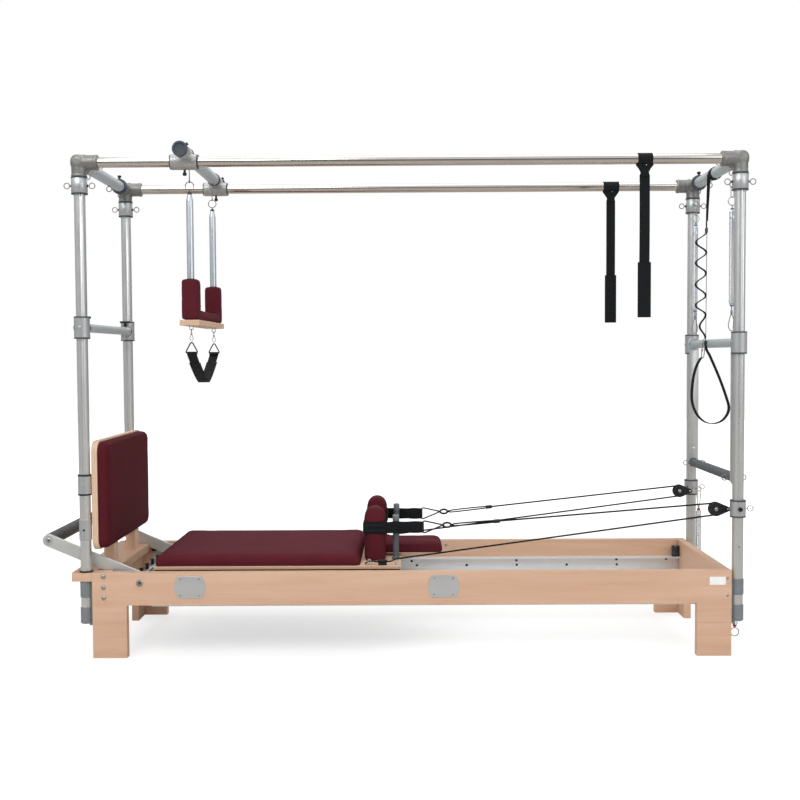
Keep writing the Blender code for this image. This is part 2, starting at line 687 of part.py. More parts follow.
def corner_fitting(end_name, side, end, sign):
    """A three-way elbow with bores for post, rail and cross tube, above a collar with its hooking eyes."""
    x, y = end * POST_X, sign * POST_Y
    top = TOP_RAIL_HEIGHT + FITTING_RADIUS
    bottom = COLLAR_TOP - COLLAR_HEIGHT
    profile = [
        (0.0, bottom), (FITTING_RADIUS, bottom), (FITTING_RADIUS, top - FITTING_CORNER),
        (FITTING_RADIUS - FITTING_CORNER, top), (0.0, top),
    ]
    upright = turned(profile, (x, y, 0.0), (0, 0, 1))
    arm_x = rod((x, y, TOP_RAIL_HEIGHT), (x - end * FITTING_ARM, y, TOP_RAIL_HEIGHT), FITTING_RADIUS)
    arm_y = rod((x, y, TOP_RAIL_HEIGHT), (x, y - sign * FITTING_ARM, TOP_RAIL_HEIGHT), FITTING_RADIUS)
    middle = (bottom + COLLAR_TOP) / 2
    eyes = []
    for reach in (-1, 1):
        foot = (x + reach * (POST_RADIUS + 0.004), y, middle)
        eyes += eye((x + reach * EYE_REACH, y, middle), (0, 1, 0), foot)
    if end > 0:
        eyes += inboard_eye(UPPER_SPRING_X, sign, middle)
    fitting = join(upright, arm_x, arm_y, *eyes)
    high = TOP_RAIL_HEIGHT
    past_arm = FITTING_ARM + 0.02
    rail_bore = rod(
        (end * (TOP_RAIL_END + CLEARANCE), y, high), (x - end * past_arm, y, high), TOP_RAIL_RADIUS + RUNNING
    )
    tube_bore = rod(
        (x, sign * (cross_tube_end() + CLEARANCE), high), (x, y - sign * past_arm, high), CROSS_TUBE_RADIUS + RUNNING
    )
    bores = [post_bore(x, y, bottom - 0.02, POST_TOP + CLEARANCE), rail_bore, tube_bore]
    return node(cut(fitting, *bores), f"{end_name}_{side}_corner_fitting", CAST)


def cross_tube_end():
    return POST_Y - POST_RADIUS * 0.5


def top_rail(side, sign):
    y = sign * POST_Y
    rail = rod((-TOP_RAIL_END, y, TOP_RAIL_HEIGHT), (TOP_RAIL_END, y, TOP_RAIL_HEIGHT), TOP_RAIL_RADIUS)
    return node(rail, f"{side}_top_rail", STAINLESS)


def top_cross_tube(end_name, end):
    """The tube between two corner fittings, with a thumb screw near the far one."""
    x = end * POST_X
    half = cross_tube_end()
    bar = rod((x, -half, TOP_RAIL_HEIGHT), (x, half, TOP_RAIL_HEIGHT), CROSS_TUBE_RADIUS)
    screw_y = POST_Y - FITTING_ARM - 0.024
    high = TOP_RAIL_HEIGHT + CROSS_TUBE_RADIUS
    screw = rod((x, screw_y, high - 0.004), (x, screw_y, high + 0.018), 0.005, 0.008, 8)
    return node(join(bar, screw), f"{end_name}_top_cross_tube", PAINTED)


def clamp_pair(x, height, diameter, tube_diameter):
    """Two post clamps joined by a cross tube, still without their bores."""
    bar = rod((x, -POST_Y, height), (x, POST_Y, height), tube_diameter / 2)
    low, high = height - CLAMP_HEIGHT / 2, height + CLAMP_HEIGHT / 2
    clamps = [rod((x, sign * POST_Y, low), (x, sign * POST_Y, high), diameter / 2) for _, sign in sides()]
    return join(bar, *clamps)


def clamp_bores(x, height):
    return [post_bore(x, sign * POST_Y, height - CLAMP_HEIGHT, height + CLAMP_HEIGHT) for _, sign in sides()]


def foot_cross_bar():
    """The height-adjustable bar on the foot posts, with flared ends, T-handles and eyes below."""
    x, height = -POST_X, FOOT_BAR_HEIGHT
    radius = FOOT_BAR_DIAMETER / 2
    bar = clamp_pair(x, height, CLAMP_DIAMETER, FOOT_BAR_DIAMETER)
    pieces = []
    for _, sign in sides():
        inner = POST_Y - CLAMP_DIAMETER / 2
        flare_start, flare_end = (x, sign * (inner + 0.008), height), (x, sign * (inner - 0.036), height)
        pieces.append(rod(flare_start, flare_end, 0.025, radius + 0.001))
        handle_y = sign * (inner - 0.012)
        pieces.append(rod((x, handle_y, height + 0.010), (x, handle_y, height + 0.040), 0.0045, sides=6))
        top = height + 0.040
        pieces.append(rod((x - 0.022, handle_y, top), (x + 0.022, handle_y, top), 0.0045, sides=6))
        eye_y = sign * (inner - 0.060)
        pieces += eye((x, eye_y, height - radius - 0.014), (1, 0, 0), (x, eye_y, height - radius + 0.004))
    bar = cut(join(bar, *pieces), *clamp_bores(x, height))
    return node(bar, "foot_cross_bar", PAINTED, (x, 0.0, height))


def head_cross_tube():
    x, height = POST_X, HEAD_BAR_HEIGHT
    bar = cut(clamp_pair(x, height, CLAMP_DIAMETER, HEAD_BAR_DIAMETER), *clamp_bores(x, height))
    return node(bar, "head_cross_tube", PAINTED)


def push_through_bar():
    """Two flat arms that turn on the head cross tube and carry the grip bar between them."""
    x, pivot = POST_X, HEAD_BAR_HEIGHT
    grip = pivot - PUSH_GRIP_DROP
    boss = HEAD_BAR_DIAMETER / 2 + 0.010
    half = PUSH_ARM_WIDTH / 2
    lean = asin(half / boss)
    outline = arc((x, pivot), boss, -90 + lean * 180 / pi, 270 - lean * 180 / pi, 8)
    outline += [(x - half, grip - half * 0.4), *arc((x, grip - half * 0.4), half, 180, 360, 4)[1:]]
    grip_end = PUSH_ARM_Y + PUSH_ARM_THICKNESS * 0.2
    bar = rod((x, -grip_end, grip), (x, grip_end, grip), PUSH_GRIP_DIAMETER / 2)
    pieces = []
    for _, sign in sides():
        pieces.append(plate(outline, PUSH_ARM_THICKNESS, "XZ", sign * PUSH_ARM_Y))
        for reach in (-1, 1):
            inner = sign * (PUSH_ARM_Y - 0.016)
            pieces += eye((x + reach * 0.036, inner, grip), (0, 1, 0), (x + reach * 0.010, inner, grip))
    bar = join(bar, *pieces)
    bore = turning_bore(HEAD_BAR_DIAMETER / 2)
    bores = [
        rod((x, sign * (PUSH_ARM_Y - 0.03), pivot), (x, sign * (PUSH_ARM_Y + 0.03), pivot), bore)
        for _, sign in sides()
    ]
    return node(cut(bar, *bores), "push_through_bar", ANODISED, (x, 0.0, pivot))


# Pulleys and ropes

def pulley_block(side, sign):
    """A collar on the post, a shackle and two cheeks with the axle that the sheave turns on."""
    collar_z = PULLEY_COLLAR_BOTTOM + PULLEY_COLLAR_HEIGHT / 2
    x, y = POST_X, sign * POST_Y
    collar_top = PULLEY_COLLAR_BOTTOM + PULLEY_COLLAR_HEIGHT
    collar = rod((x, y, PULLEY_COLLAR_BOTTOM), (x, y, collar_top), CLAMP_DIAMETER / 2)
    inner_eye = inboard_eye(LOWER_SPRING_X, sign, collar_z)
    outer_eye = eye((x + EYE_REACH, y, collar_z), (0, 1, 0), (x + POST_RADIUS + 0.004, y, collar_z))
    middle_y = sign * SHEAVE_Y
    gap = SHEAVE_WIDTH / 2 + RUNNING
    tail = 0.046
    lean = 90 - asin((PULLEY_CHEEK_RADIUS - 0.009) / tail) * 180 / pi
    outline = arc((SHEAVE_X, SHEAVE_Z), PULLEY_CHEEK_RADIUS, lean, 360 - lean, 7)
    outline += arc((SHEAVE_X + tail, SHEAVE_Z), 0.009, -lean, lean, 2)
    cheeks = [
        plate(outline, PULLEY_CHEEK, "XZ", middle_y + offset * (gap + PULLEY_CHEEK / 2)) for offset in (-1, 1)
    ]
    reach = gap + PULLEY_CHEEK + 0.002
    axle_start, axle_end = (SHEAVE_X, middle_y - reach, SHEAVE_Z), (SHEAVE_X, middle_y + reach, SHEAVE_Z)
    axle = rod(axle_start, axle_end, AXLE_RADIUS, sides=8)
    inner = gap + PULLEY_CHEEK * 0.5
    spacer_x = SHEAVE_X + tail
    spacer_start, spacer_end = (spacer_x, middle_y - inner, SHEAVE_Z), (spacer_x, middle_y + inner, SHEAVE_Z)
    spacer = rod(spacer_start, spacer_end, 0.007, sides=8)
    shackle = rod((spacer_x, middle_y, SHEAVE_Z), (x, y, collar_z), 0.0045, sides=6)
    block = join(collar, *outer_eye, *inner_eye, *cheeks, axle, spacer, shackle)
    bore = post_bore(x, y, PULLEY_COLLAR_BOTTOM - 0.02, collar_top + 0.02)
    return node(cut(block, bore), f"{side}_pulley_block", BLACK)


def sheave(side, sign):
    """A grooved wheel, turned from its profile, with a bore that runs on the block's axle."""
    half = SHEAVE_WIDTH / 2
    bore = AXLE_RADIUS + RUNNING
    rim = SHEAVE_RADIUS + 0.001
    profile = [
        (bore, -half), (rim - 0.001, -half), (rim, -half + 0.002), (SHEAVE_GROOVE, -0.0020),
        (SHEAVE_GROOVE, 0.0020), (rim, half - 0.002), (rim - 0.001, half), (bore, half), (bore, -half),
    ]
    wheel = turned(profile, (SHEAVE_X, sign * SHEAVE_Y, SHEAVE_Z), (0, 1, 0), 14)
    return node(wheel, f"{side}_sheave", DARK_GREY, (SHEAVE_X, sign * SHEAVE_Y, SHEAVE_Z))


def rope_route(sign):
    """From the foot loop's link over the top of the sheave, round it, and back down to the carriage."""
    link_end = LOOP_APEX_X + LINK_LENGTH - LOOP_WIRE
    start = Vector((link_end + CLEARANCE, sign * LOOP_TAIL_Y, LOOP_CENTRE_Z + 0.008))
    end = Vector((CARRIAGE_RIGHT - 0.018, sign * 0.290, CARRIAGE_TOP + 0.024))
    centre = Vector((SHEAVE_X, sign * SHEAVE_Y, SHEAVE_Z))
    upper = tangent_angle(centre, start, 1)
    lower = tangent_angle(centre, end, -1)
    steps = 10
    wrap = []
    for i in range(steps + 1):
        angle = upper + (lower - upper) * i / steps
        wrap.append(centre + Vector((ROPE_WRAP * cos(angle), 0.0, ROPE_WRAP * sin(angle))))
    return [start, *wrap, end]


def tangent_angle(centre, point, upward):
    """The angle, seen along Y, at which a line from point touches the rope's circle above or below."""
    dx, dz = point.x - centre.x, point.z - centre.z
    distance = sqrt(dx * dx + dz * dz)
    toward = atan2(dz, dx) % (2 * pi)
    spread = pi / 2 - asin(ROPE_WRAP / distance)
    angle = toward - upward * spread
    return angle if upward > 0 else angle - 2 * pi


def rope(side, sign):
    return node(tube(rope_route(sign), ROPE_DIAMETER, fine=1), f"{side}_rope", WEBBING)


# Carriage

def carriage_platform():
    half = CARRIAGE_WIDTH / 2
    board = box((CARRIAGE_LEFT, -half, CARRIAGE_UNDER), (CARRIAGE_RIGHT, half, CARRIAGE_TOP), 0.003, 1)
    return node(board, "carriage_platform", PLY)


def wheel_places():
    ends = (("foot", WHEEL_LEFT), ("head", WHEEL_RIGHT))
    return [(end_name, x, side, sign) for end_name, x in ends for side, sign in sides()]


def carriage_frame():
    """Two long angle bars and cross bars under the platform, with a stub axle for each wheel."""
    top = CARRIAGE_UNDER - CLEARANCE
    bar_y = WHEEL_Y - WHEEL_WIDTH / 2 - 0.012
    pieces = []
    for _, sign in sides():
        low, high = sorted((sign * (bar_y - 0.004), sign * (bar_y + 0.006)))
        pieces.append(box((CARRIAGE_LEFT + 0.03, low, WHEEL_Z - 0.014), (CARRIAGE_RIGHT - 0.03, high, top)))
    for x in (CARRIAGE_LEFT + 0.045, SPRING_ANCHOR_X, CARRIAGE_RIGHT - 0.045):
        pieces.append(box((x - 0.015, -bar_y, top - 0.020), (x + 0.015, bar_y, top)))
    axle_end = WHEEL_Y + WHEEL_WIDTH / 2 + 0.003
    for _, x, _, sign in wheel_places():
        pieces.append(rod((x, sign * bar_y, WHEEL_Z), (x, sign * axle_end, WHEEL_Z), AXLE_RADIUS, sides=8))
    return node(join(*pieces), "carriage_frame", PAINTED)


def wheel(x_name, x, side, sign):
    half = WHEEL_WIDTH / 2
    radius = WHEEL_DIAMETER / 2
    bore = AXLE_RADIUS + RUNNING
    profile = [
        (bore, -half), (0.011, -half), (radius - 0.006, -half + 0.003), (radius - 0.002, -half),
        (radius, -half + 0.002), (radius, half - 0.002), (radius - 0.002, half), (bore, half), (bore, -half),
    ]
    made = turned(profile, (x, sign * WHEEL_Y, WHEEL_Z), (0, 1, 0))
    return node(made, f"{x_name}_{side}_wheel", DARK_GREY, (x, sign * WHEEL_Y, WHEEL_Z))


def cushion(low, high, corner, crown, roll=0.012, steps=3):
    """An upholstered slab: sides that bulge a little, a rolled top edge and a crowned face."""
    low, high = Vector(low), Vector(high)
    half_u, half_v = (high.x - low.x) / 2, (high.y - low.y) / 2
    middle = ((low.x + high.x) / 2, (low.y + high.y) / 2)
    height = high.z - low.z - crown
    section = [(0.004, 0.0), (0.0005, 0.10 * height), (0.0, 0.45 * height), (0.001, 0.72 * height)]
    section += [(0.0035, 0.88 * height), (roll, height)]
    reach = min(half_u, half_v)
    section += [(roll + (reach - roll) * t, height + crown * sin(pi / 2 * t)) for t in (0.3, 0.6, 0.9)]
    rings = []
    for inset, rise in section:
        turn = max(corner - inset * 0.6, 0.004)
        loop = rounded_rectangle(half_u - inset, half_v - inset, turn, steps, middle)
        rings.append([(u, v, low.z + rise) for u, v in loop])
    return lofted(rings)


def carriage_mat():
    half = CARRIAGE_WIDTH / 2
    made = cushion((CARRIAGE_LEFT, -half, CARRIAGE_TOP + CLEARANCE), (MAT_RIGHT, half, MAT_TOP), 0.022, 0.004)
    return node(made, "carriage_mat", MAROON)


def headrest_pad():
    half = HEADREST_WIDTH / 2
    made = cushion(
        (HEADREST_HINGE_X, -half, HEADREST_BOTTOM),
        (HEADREST_RIGHT, half, HEADREST_BOTTOM + HEADREST_THICKNESS), 0.016, 0.003, 0.012, 3,
    )
    hinge = box(
        (HEADREST_HINGE_X + 0.010, -half + 0.03, CARRIAGE_TOP + CLEARANCE),
        (HEADREST_HINGE_X + 0.050, half - 0.03, HEADREST_BOTTOM + 0.010),
    )
    return node(join(made, hinge), "headrest_pad", MAROON, (HEADREST_HINGE_X, 0.0, HEADREST_HINGE_Z))


def arch(inset, half, height, steps=10):
    """A half-round arch, flat at the bottom, drawn in by inset."""
    radius = half - inset
    loop = [(-radius, inset), (radius, inset)]
    return loop + arc((0.0, height - half), radius, 0, 180, steps)


def shoulder_rest(side, sign):
    """A padded block with a half-round top, its faces crowned and its edges rolled."""
    half_y = SHOULDER_WIDTH / 2
    section = [(0.016, 0.0), (0.0065, 0.0035), (0.0015, 0.011), (0.0, 0.024)]
    levels = [(inset, -half_y + step) for inset, step in section]
    levels += [(inset, half_y - step) for inset, step in reversed(section)]
    bottom = CARRIAGE_TOP + CLEARANCE
    rings = []
    for inset, offset in levels:
        loop = arch(inset, SHOULDER_LENGTH / 2, SHOULDER_HEIGHT)
        flat = [(u, 0.0 if v == inset else v) for u, v in loop]
        rings.append([(SHOULDER_X + u, sign * SHOULDER_Y + offset, bottom + v) for u, v in flat])
    return node(lofted(rings), f"{side}_shoulder_rest", MAROON)


def rope_post(side, sign):
    radius = ROPE_POST_DIAMETER / 2
    bottom = CARRIAGE_TOP + CLEARANCE
    height = ROPE_POST_HEIGHT
    profile = [
        (0.0, 0.0), (radius + 0.005, 0.0), (radius + 0.005, 0.006), (radius, 0.010), (radius, height - 0.018),
        (radius + 0.001, height - 0.016), (radius + 0.001, height), (0.0, height),
    ]
    made = turned(profile, (ROPE_POST_X, sign * ROPE_POST_Y, bottom), (0, 0, 1), 10)
    return node(made, f"{side}_rope_post", DARK_GREY)


def foot_loop(side, sign):
    """Webbing round the shoulder rest with a tail past the rope post, and the wire ring and link at its end."""
    gap, thick = 0.0008, LOOP_THICKNESS
    half_x, half_y = SHOULDER_LENGTH / 2 + gap, SHOULDER_WIDTH / 2 + gap
    middle = (SHOULDER_X, sign * SHOULDER_Y)
    outline = rounded_rectangle(half_x + thick, half_y + thick, 0.012, 2, middle)
    inside = rounded_rectangle(half_x, half_y, 0.008, 2, middle)
    band = plate(outline, LOOP_HEIGHT, "XY", LOOP_CENTRE_Z, [inside])
    wall = SHOULDER_Y + half_y
    corner_x = SHOULDER_X + half_x
    tail = [
        (SHOULDER_X, wall), (SHOULDER_X, wall + thick), (corner_x, wall + thick),
        (LOOP_END_X, LOOP_TAIL_Y + thick), (LOOP_END_X, LOOP_TAIL_Y - thick),
        (corner_x + thick, wall - thick), (corner_x, wall),
    ]
    strap = plate([(u, sign * v) for u, v in tail], LOOP_HEIGHT * 0.92, "XY", LOOP_CENTRE_Z)
    middle_z = LOOP_CENTRE_Z + 0.008
    y = sign * LOOP_TAIL_Y
    corners = [(LOOP_END_X - 0.002, y, LOOP_CENTRE_Z + rise) for rise in (-0.026, 0.026)]
    wire = tube([*corners, (LOOP_APEX_X, y, middle_z)], LOOP_WIRE, True)
    half = (LINK_LENGTH - LOOP_WIRE) / 2
    oval = [
        (LOOP_APEX_X + half * (1 + cos(a)) - LOOP_WIRE * 0.5, y, middle_z + LINK_HEIGHT / 2 * sin(a))
        for a in (2 * pi * i / 8 for i in range(8))
    ]
    return node(join(band, strap, wire, tube(oval, LOOP_WIRE, True)), f"{side}_foot_loop", WEBBING)


def carriage_springs():
    """Four springs between the spring bar and the bar under the carriage, as one set on its anchor bar."""
    anchor, height = SPRING_ANCHOR_X, SPRING_BAR_Z
    rear = rod((anchor, -0.19, height), (anchor, 0.19, height), 0.006, sides=6)
    start = SPRING_BAR_X + SPRING_BAR_THICKNESS / 2 + CLEARANCE
    pieces = []
    for i in range(-2, 2):
        y = (i + 0.5) * SPRING_PITCH
        pieces.append(rod((start, y, height), (anchor, y, height), SPRING_DIAMETER / 2, sides=8))
    hanger = box((anchor - 0.006, -0.1, height), (anchor + 0.006, 0.1, CARRIAGE_UNDER - 0.0206))
    return node(join(rear, hanger, *pieces), "carriage_springs", STEEL)


# Foot end

def footbar():
    """Two flat arms on pivot pins with the foam-covered tube between their ends."""
    px, pz = FOOTBAR_PIVOT_X, FOOTBAR_PIVOT_Z
    gx, gz = FOOTBAR_GRIP
    half = FOOTBAR_ARM_WIDTH / 2
    lean = 180 - FOOTBAR_ANGLE
    outline = arc((px, pz), half, lean - 270, lean - 90, 6) + arc((gx, gz), half, lean - 90, lean + 90, 6)
    pieces = []
    for _, sign in sides():
        pieces.append(plate(outline, FOOTBAR_ARM_THICKNESS, "XZ", sign * FOOTBAR_ARM_Y))
        seat = INNER_Y - CLEARANCE * 2 - 0.005
        pieces.append(rod((px, sign * FOOTBAR_ARM_Y, pz), (px, sign * seat, pz), 0.013))
        cap = FOOTBAR_ARM_Y + FOOTBAR_ARM_THICKNESS / 2
        pieces.append(rod((gx, sign * FOOTBAR_ARM_Y, gz), (gx, sign * (cap + 0.003), gz), 0.014, sides=12))
    inner = FOOTBAR_ARM_Y - FOOTBAR_ARM_THICKNESS / 2 + 0.002
    grip = rod((gx, -inner, gz), (gx, inner, gz), FOOTBAR_TUBE_DIAMETER / 2, sides=16)
    return node(join(grip, *pieces), "footbar", ANODISED, (px, 0.0, pz))


def jumpboard_panel():
    """A ply panel with rounded corners on two legs that drop into the platform's sockets."""
    middle = JUMPBOARD_BOTTOM + JUMPBOARD_HEIGHT / 2
    outline = rounded_rectangle(JUMPBOARD_WIDTH / 2, JUMPBOARD_HEIGHT / 2, JUMPBOARD_CORNER, 5, (0.0, middle))
    panel = plate(outline, JUMPBOARD_PLY, "YZ", JUMPBOARD_LEFT + JUMPBOARD_PLY / 2)
    low = JUMPBOARD_BOTTOM - JUMPBOARD_LEG_DROP
    legs = [leg_box(sign, 0.0, low, JUMPBOARD_BOTTOM + 0.004) for _, sign in sides()]
    return node(join(panel, *legs), "jumpboard_panel", PLY)


def jumpboard_pad():
    """The cushion of the jumpboard, made flat like a mat and then stood up against the panel."""
    inset = 0.005
    half_v = JUMPBOARD_WIDTH / 2 - inset
    height = JUMPBOARD_HEIGHT - 2 * inset
    corner = JUMPBOARD_CORNER - inset
    made = cushion((-height / 2, -half_v, 0.0), (height / 2, half_v, JUMPBOARD_PAD), corner, 0.004)
    made.matrix_world = Matrix.Translation(
        (JUMPBOARD_LEFT + JUMPBOARD_PLY + CLEARANCE, 0.0, JUMPBOARD_BOTTOM + JUMPBOARD_HEIGHT / 2)
    ) @ Matrix.Rotation(radians(90), 4, "Y")
    return node(settle(made), "jumpboard_pad", MAROON)


# Trapeze

def hook_height():
    return TRAPEZE_RING_HEIGHT + TRAPEZE_RING_RADIUS


def trapeze_carrier():
    """The bridge that slides along both top rails: a capped cross tube, two sleeves and two hanging eyes."""
    x = CARRIER_X
    half = CARRIER_HALF_LENGTH
    high = CARRIER_TUBE_HEIGHT
    bar = rod((x, -half + 0.004, high), (x, half - 0.004, high), CARRIER_TUBE_DIAMETER / 2)
    pieces = []
    for _, sign in sides():
        y = sign * POST_Y
        reach = CARRIER_SLEEVE_LENGTH / 2
        pieces.append(rod((x - reach, y, TOP_RAIL_HEIGHT), (x + reach, y, TOP_RAIL_HEIGHT), FITTING_RADIUS))
        pieces.append(rod((x, sign * (half - 0.016), high), (x, sign * half, high), CARRIER_CAP_DIAMETER / 2))
        low = TOP_RAIL_HEIGHT - FITTING_RADIUS
        bolt_x = x - 0.019
        pieces.append(rod((bolt_x, y, low + 0.004), (bolt_x, y, low - 0.022), 0.0035, 0.006, 8))
        eye_centre = hook_height() + 0.0068 - 0.0034 - HANG_PLAY
        ty = sign * TRAPEZE_Y
        pieces.append(ring((x, ty, eye_centre), (1, 0, 0), 0.0068, 0.0032))
        pieces.append(rod((x, ty, eye_centre + 0.0060), (x, ty, high - 0.01), 0.0022, sides=6))
    bar = join(bar, *pieces)
    reach, rail = CARRIER_SLEEVE_LENGTH, TOP_RAIL_HEIGHT
    bores = [
        rod((x - reach, sign * POST_Y, rail), (x + reach, sign * POST_Y, rail), TOP_RAIL_RADIUS + RUNNING)
        for _, sign in sides()
    ]
    return node(cut(bar, *bores), "trapeze_carrier", CAST)


def trapeze_tube(side, sign):
    """One silver hanger: a tube that tapers to a dark tip with the ring it swings on."""
    radius = TRAPEZE_TUBE_DIAMETER / 2
    bottom = TRAPEZE_BOARD_TOP + CLEARANCE
    taper = TRAPEZE_TIP_HEIGHT - 0.0345
    profile = [
        (0.0, bottom), (radius, bottom), (radius, taper), (radius - 0.002, taper + 0.008),
        (0.0085, TRAPEZE_TIP_HEIGHT - 0.014), (0.0080, TRAPEZE_TIP_HEIGHT), (0.0, TRAPEZE_TIP_HEIGHT),
    ]
    body = turned(profile, (CARRIER_X, sign * TRAPEZE_Y, 0.0), (0, 0, 1), 12)
    ring_centre = (CARRIER_X, sign * TRAPEZE_Y, TRAPEZE_RING_HEIGHT)
    loop = ring(ring_centre, (0, 1, 0), TRAPEZE_RING_RADIUS, 0.0036, 14)
    stem = rod(
        (CARRIER_X, sign * TRAPEZE_Y, TRAPEZE_TIP_HEIGHT - 0.002),
        (CARRIER_X, sign * TRAPEZE_Y, TRAPEZE_RING_HEIGHT - TRAPEZE_RING_RADIUS), 0.0022, sides=6,
    )
    return node(join(body, loop, stem), f"{side}_trapeze_tube", STEEL, (CARRIER_X, 0.0, hook_height()))


def trapeze_pad():
    """The U-shaped padded seat: two uprights round the hangers and a thinner seat between, edges rolled."""
    half = TRAPEZE_PAD_WIDTH / 2
    low = TRAPEZE_BOARD_TOP + CLEARANCE
    outer = TRAPEZE_Y + TRAPEZE_PAD_THICKNESS / 2
    inner = TRAPEZE_Y - TRAPEZE_PAD_THICKNESS / 2
    seat = low + TRAPEZE_SEAT_THICKNESS
    corner = 0.014
    outline = [(-outer, low), (outer, low)]
    outline += arc((outer - corner, TRAPEZE_PAD_TOP - corner), corner, 0, 90, 2)
    outline += arc((inner + corner, TRAPEZE_PAD_TOP - corner), corner, 90, 180, 2)
    outline += arc((inner - 0.02, seat + 0.02), 0.02, 0, -90, 2)
    outline += arc((-inner + 0.02, seat + 0.02), 0.02, 270, 180, 2)
    outline += arc((-inner - corner, TRAPEZE_PAD_TOP - corner), corner, 0, 90, 2)
    outline += arc((-outer + corner, TRAPEZE_PAD_TOP - corner), corner, 90, 180, 2)
    pad = plate(outline, 2 * half, "YZ", CARRIER_X)
    roll = pad.modifiers.new("Bevel", "BEVEL")
    roll.width = 0.011
    roll.segments = 2
    roll.limit_method = "ANGLE"
    roll.angle_limit = radians(60)
    pad = settle(pad)
    bore_top = TRAPEZE_PAD_TOP + 0.02
    bore = TRAPEZE_TUBE_DIAMETER / 2 + CLEARANCE
    bores = [
        rod((CARRIER_X, sign * TRAPEZE_Y, low - 0.02), (CARRIER_X, sign * TRAPEZE_Y, bore_top), bore)
        for _, sign in sides()
    ]
    return node(cut(pad, *bores), "trapeze_pad", MAROON)


def sling_pivot():
    return TRAPEZE_BOARD_TOP - TRAPEZE_BOARD_THICKNESS - 0.016


def trapeze_board():
    half_x, half_y = TRAPEZE_BOARD_WIDTH / 2, TRAPEZE_BOARD_LENGTH / 2
    bottom = TRAPEZE_BOARD_TOP - TRAPEZE_BOARD_THICKNESS
    high = (CARRIER_X + half_x, half_y, TRAPEZE_BOARD_TOP)
    board = box((CARRIER_X - half_x, -half_y, bottom), high, 0.002, 1)
    pieces = []
    for _, sign in sides():
        y = sign * TRAPEZE_Y
        pieces.append(ring((CARRIER_X, y, sling_pivot() + 0.008), (0, 1, 0), 0.0080, 0.0030))
    return node(join(board, *pieces), "trapeze_board", PLY)


def trapeze_sling():
    """Snap hooks, black triangle rings and the webbing between them, sagging in a soft V along Y."""
    x = CARRIER_X
    top = sling_pivot()
    pieces = []
    for _, sign in sides():
        y = sign * TRAPEZE_Y
        pieces.append(ring((x, y, top + 0.0027 + CLEARANCE - 0.0062), (1, 0, 0), 0.0062, 0.0024))
        pieces.append(rod((x, y, top - 0.009), (x, y, SLING_RING_HEIGHT + 0.020), 0.0035, sides=6))
        low = SLING_RING_HEIGHT - 0.020
        corners = [(-0.026, 0.0), (0.026, 0.0), (0.012, 0.034), (0.0, 0.044), (-0.012, 0.034)]
        pieces.append(tube([(x + u, y, low + v) for u, v in corners], 0.0050, True))
    band = trapeze_band()
    return node(join(band, *pieces), "trapeze_sling", WEBBING, (x, 0.0, sling_pivot()))


def trapeze_band():
    """The sling's webbing: an outline of its sag in the Y-Z plane, as wide as the band along X."""
    low = SLING_RING_HEIGHT - 0.0225
    flat = 0.030
    bottom = SLING_BOTTOM
    lower = [(-TRAPEZE_Y - 0.004, low + 0.001), (-flat - 0.05, bottom + 0.022)]
    lower += [(-flat, bottom + 0.004), (0.0, bottom)]
    lower += [(-u, v) for u, v in reversed(lower[:-1])]
    thick = SLING_THICKNESS
    upper = [(u * (1 - thick / TRAPEZE_Y), v + thick) for u, v in reversed(lower)]
    return plate(lower + upper, SLING_WIDTH, "YZ", CARRIER_X)


# Straps, arm springs and daisy chain

def hanging_strap(side, sign):
    """Webbing choked round the top rail and hanging to a padded cuff."""
    y, high = sign * POST_Y, TOP_RAIL_HEIGHT
    bore = turning_bore(TOP_RAIL_RADIUS)
    wrap = rod((STRAP_X - 0.022, y, high), (STRAP_X + 0.022, y, high), bore + 0.004)
    under = high - bore
    levels = ((0.0185, 0.006, high - 0.050), (0.0290, 0.010, under - 0.004), (0.022, 0.008, under + 0.006))
    knot = lofted(
        [
            [(STRAP_X + u, y + v, z) for u, v in rounded_rectangle(half, depth, 0.002, 1)]
            for half, depth, z in levels
        ]
    )
    half = STRAP_WIDTH / 2
    band = box(
        (STRAP_X - half, y - STRAP_THICKNESS / 2, STRAP_CUFF_TOP - 0.02),
        (STRAP_X + half, y + STRAP_THICKNESS / 2, high - 0.040), 0.001, 1,
    )
    half = STRAP_CUFF_WIDTH / 2
    thick = STRAP_CUFF_THICKNESS / 2
    cuff_top = (STRAP_X + half, y + thick, STRAP_CUFF_TOP)
    cuff = box((STRAP_X - half, y - thick, STRAP_BOTTOM), cuff_top, 0.0035, 1)
    made = cut(join(wrap, knot, band, cuff), rod((STRAP_X - 0.05, y, high), (STRAP_X + 0.05, y, high), bore))
    return node(made, f"{side}_hanging_strap", WEBBING, (STRAP_X, y, high))


def coil(x, y, top, length, curls):
    """Points of an arm spring's wire: a helix with a short straight lead on its axis at each end."""
    radius = (ARM_SPRING_DIAMETER - ARM_SPRING_WIRE) / 2
    lead = 0.012
    count = curls * 8
    points = [(x, y, top)]
    for i in range(count + 1):
        angle = 2 * pi * i / 8
        z = top - lead - (length - 2 * lead) * i / count
        points.append((x + radius * cos(angle), y + radius * sin(angle), z))
    return points + [(x, y, top - length)]


def coil_gap(points):
    """The least clear gap between neighbouring curls of a helix, in metres."""
    turns = [Vector(point) for point in points[1:-1]]
    return min((a - b).length for a, b in zip(turns, turns[8:])) - ARM_SPRING_WIRE


def pear(x, y, top, length, half):
    """The closed wire of a snap hook, narrow at the top and round at the bottom, in the X-Z plane."""
    low = top - length
    corners = [(x + 0.0035, top), (x + half, low + half), *arc((x, low + half), half, 0, -180, 4)[1:-1]]
    corners += [(x - half, low + half), (x - 0.0035, top)]
    return tube([(u, y, v) for u, v in corners], SPRING_HOOK_WIRE, True)


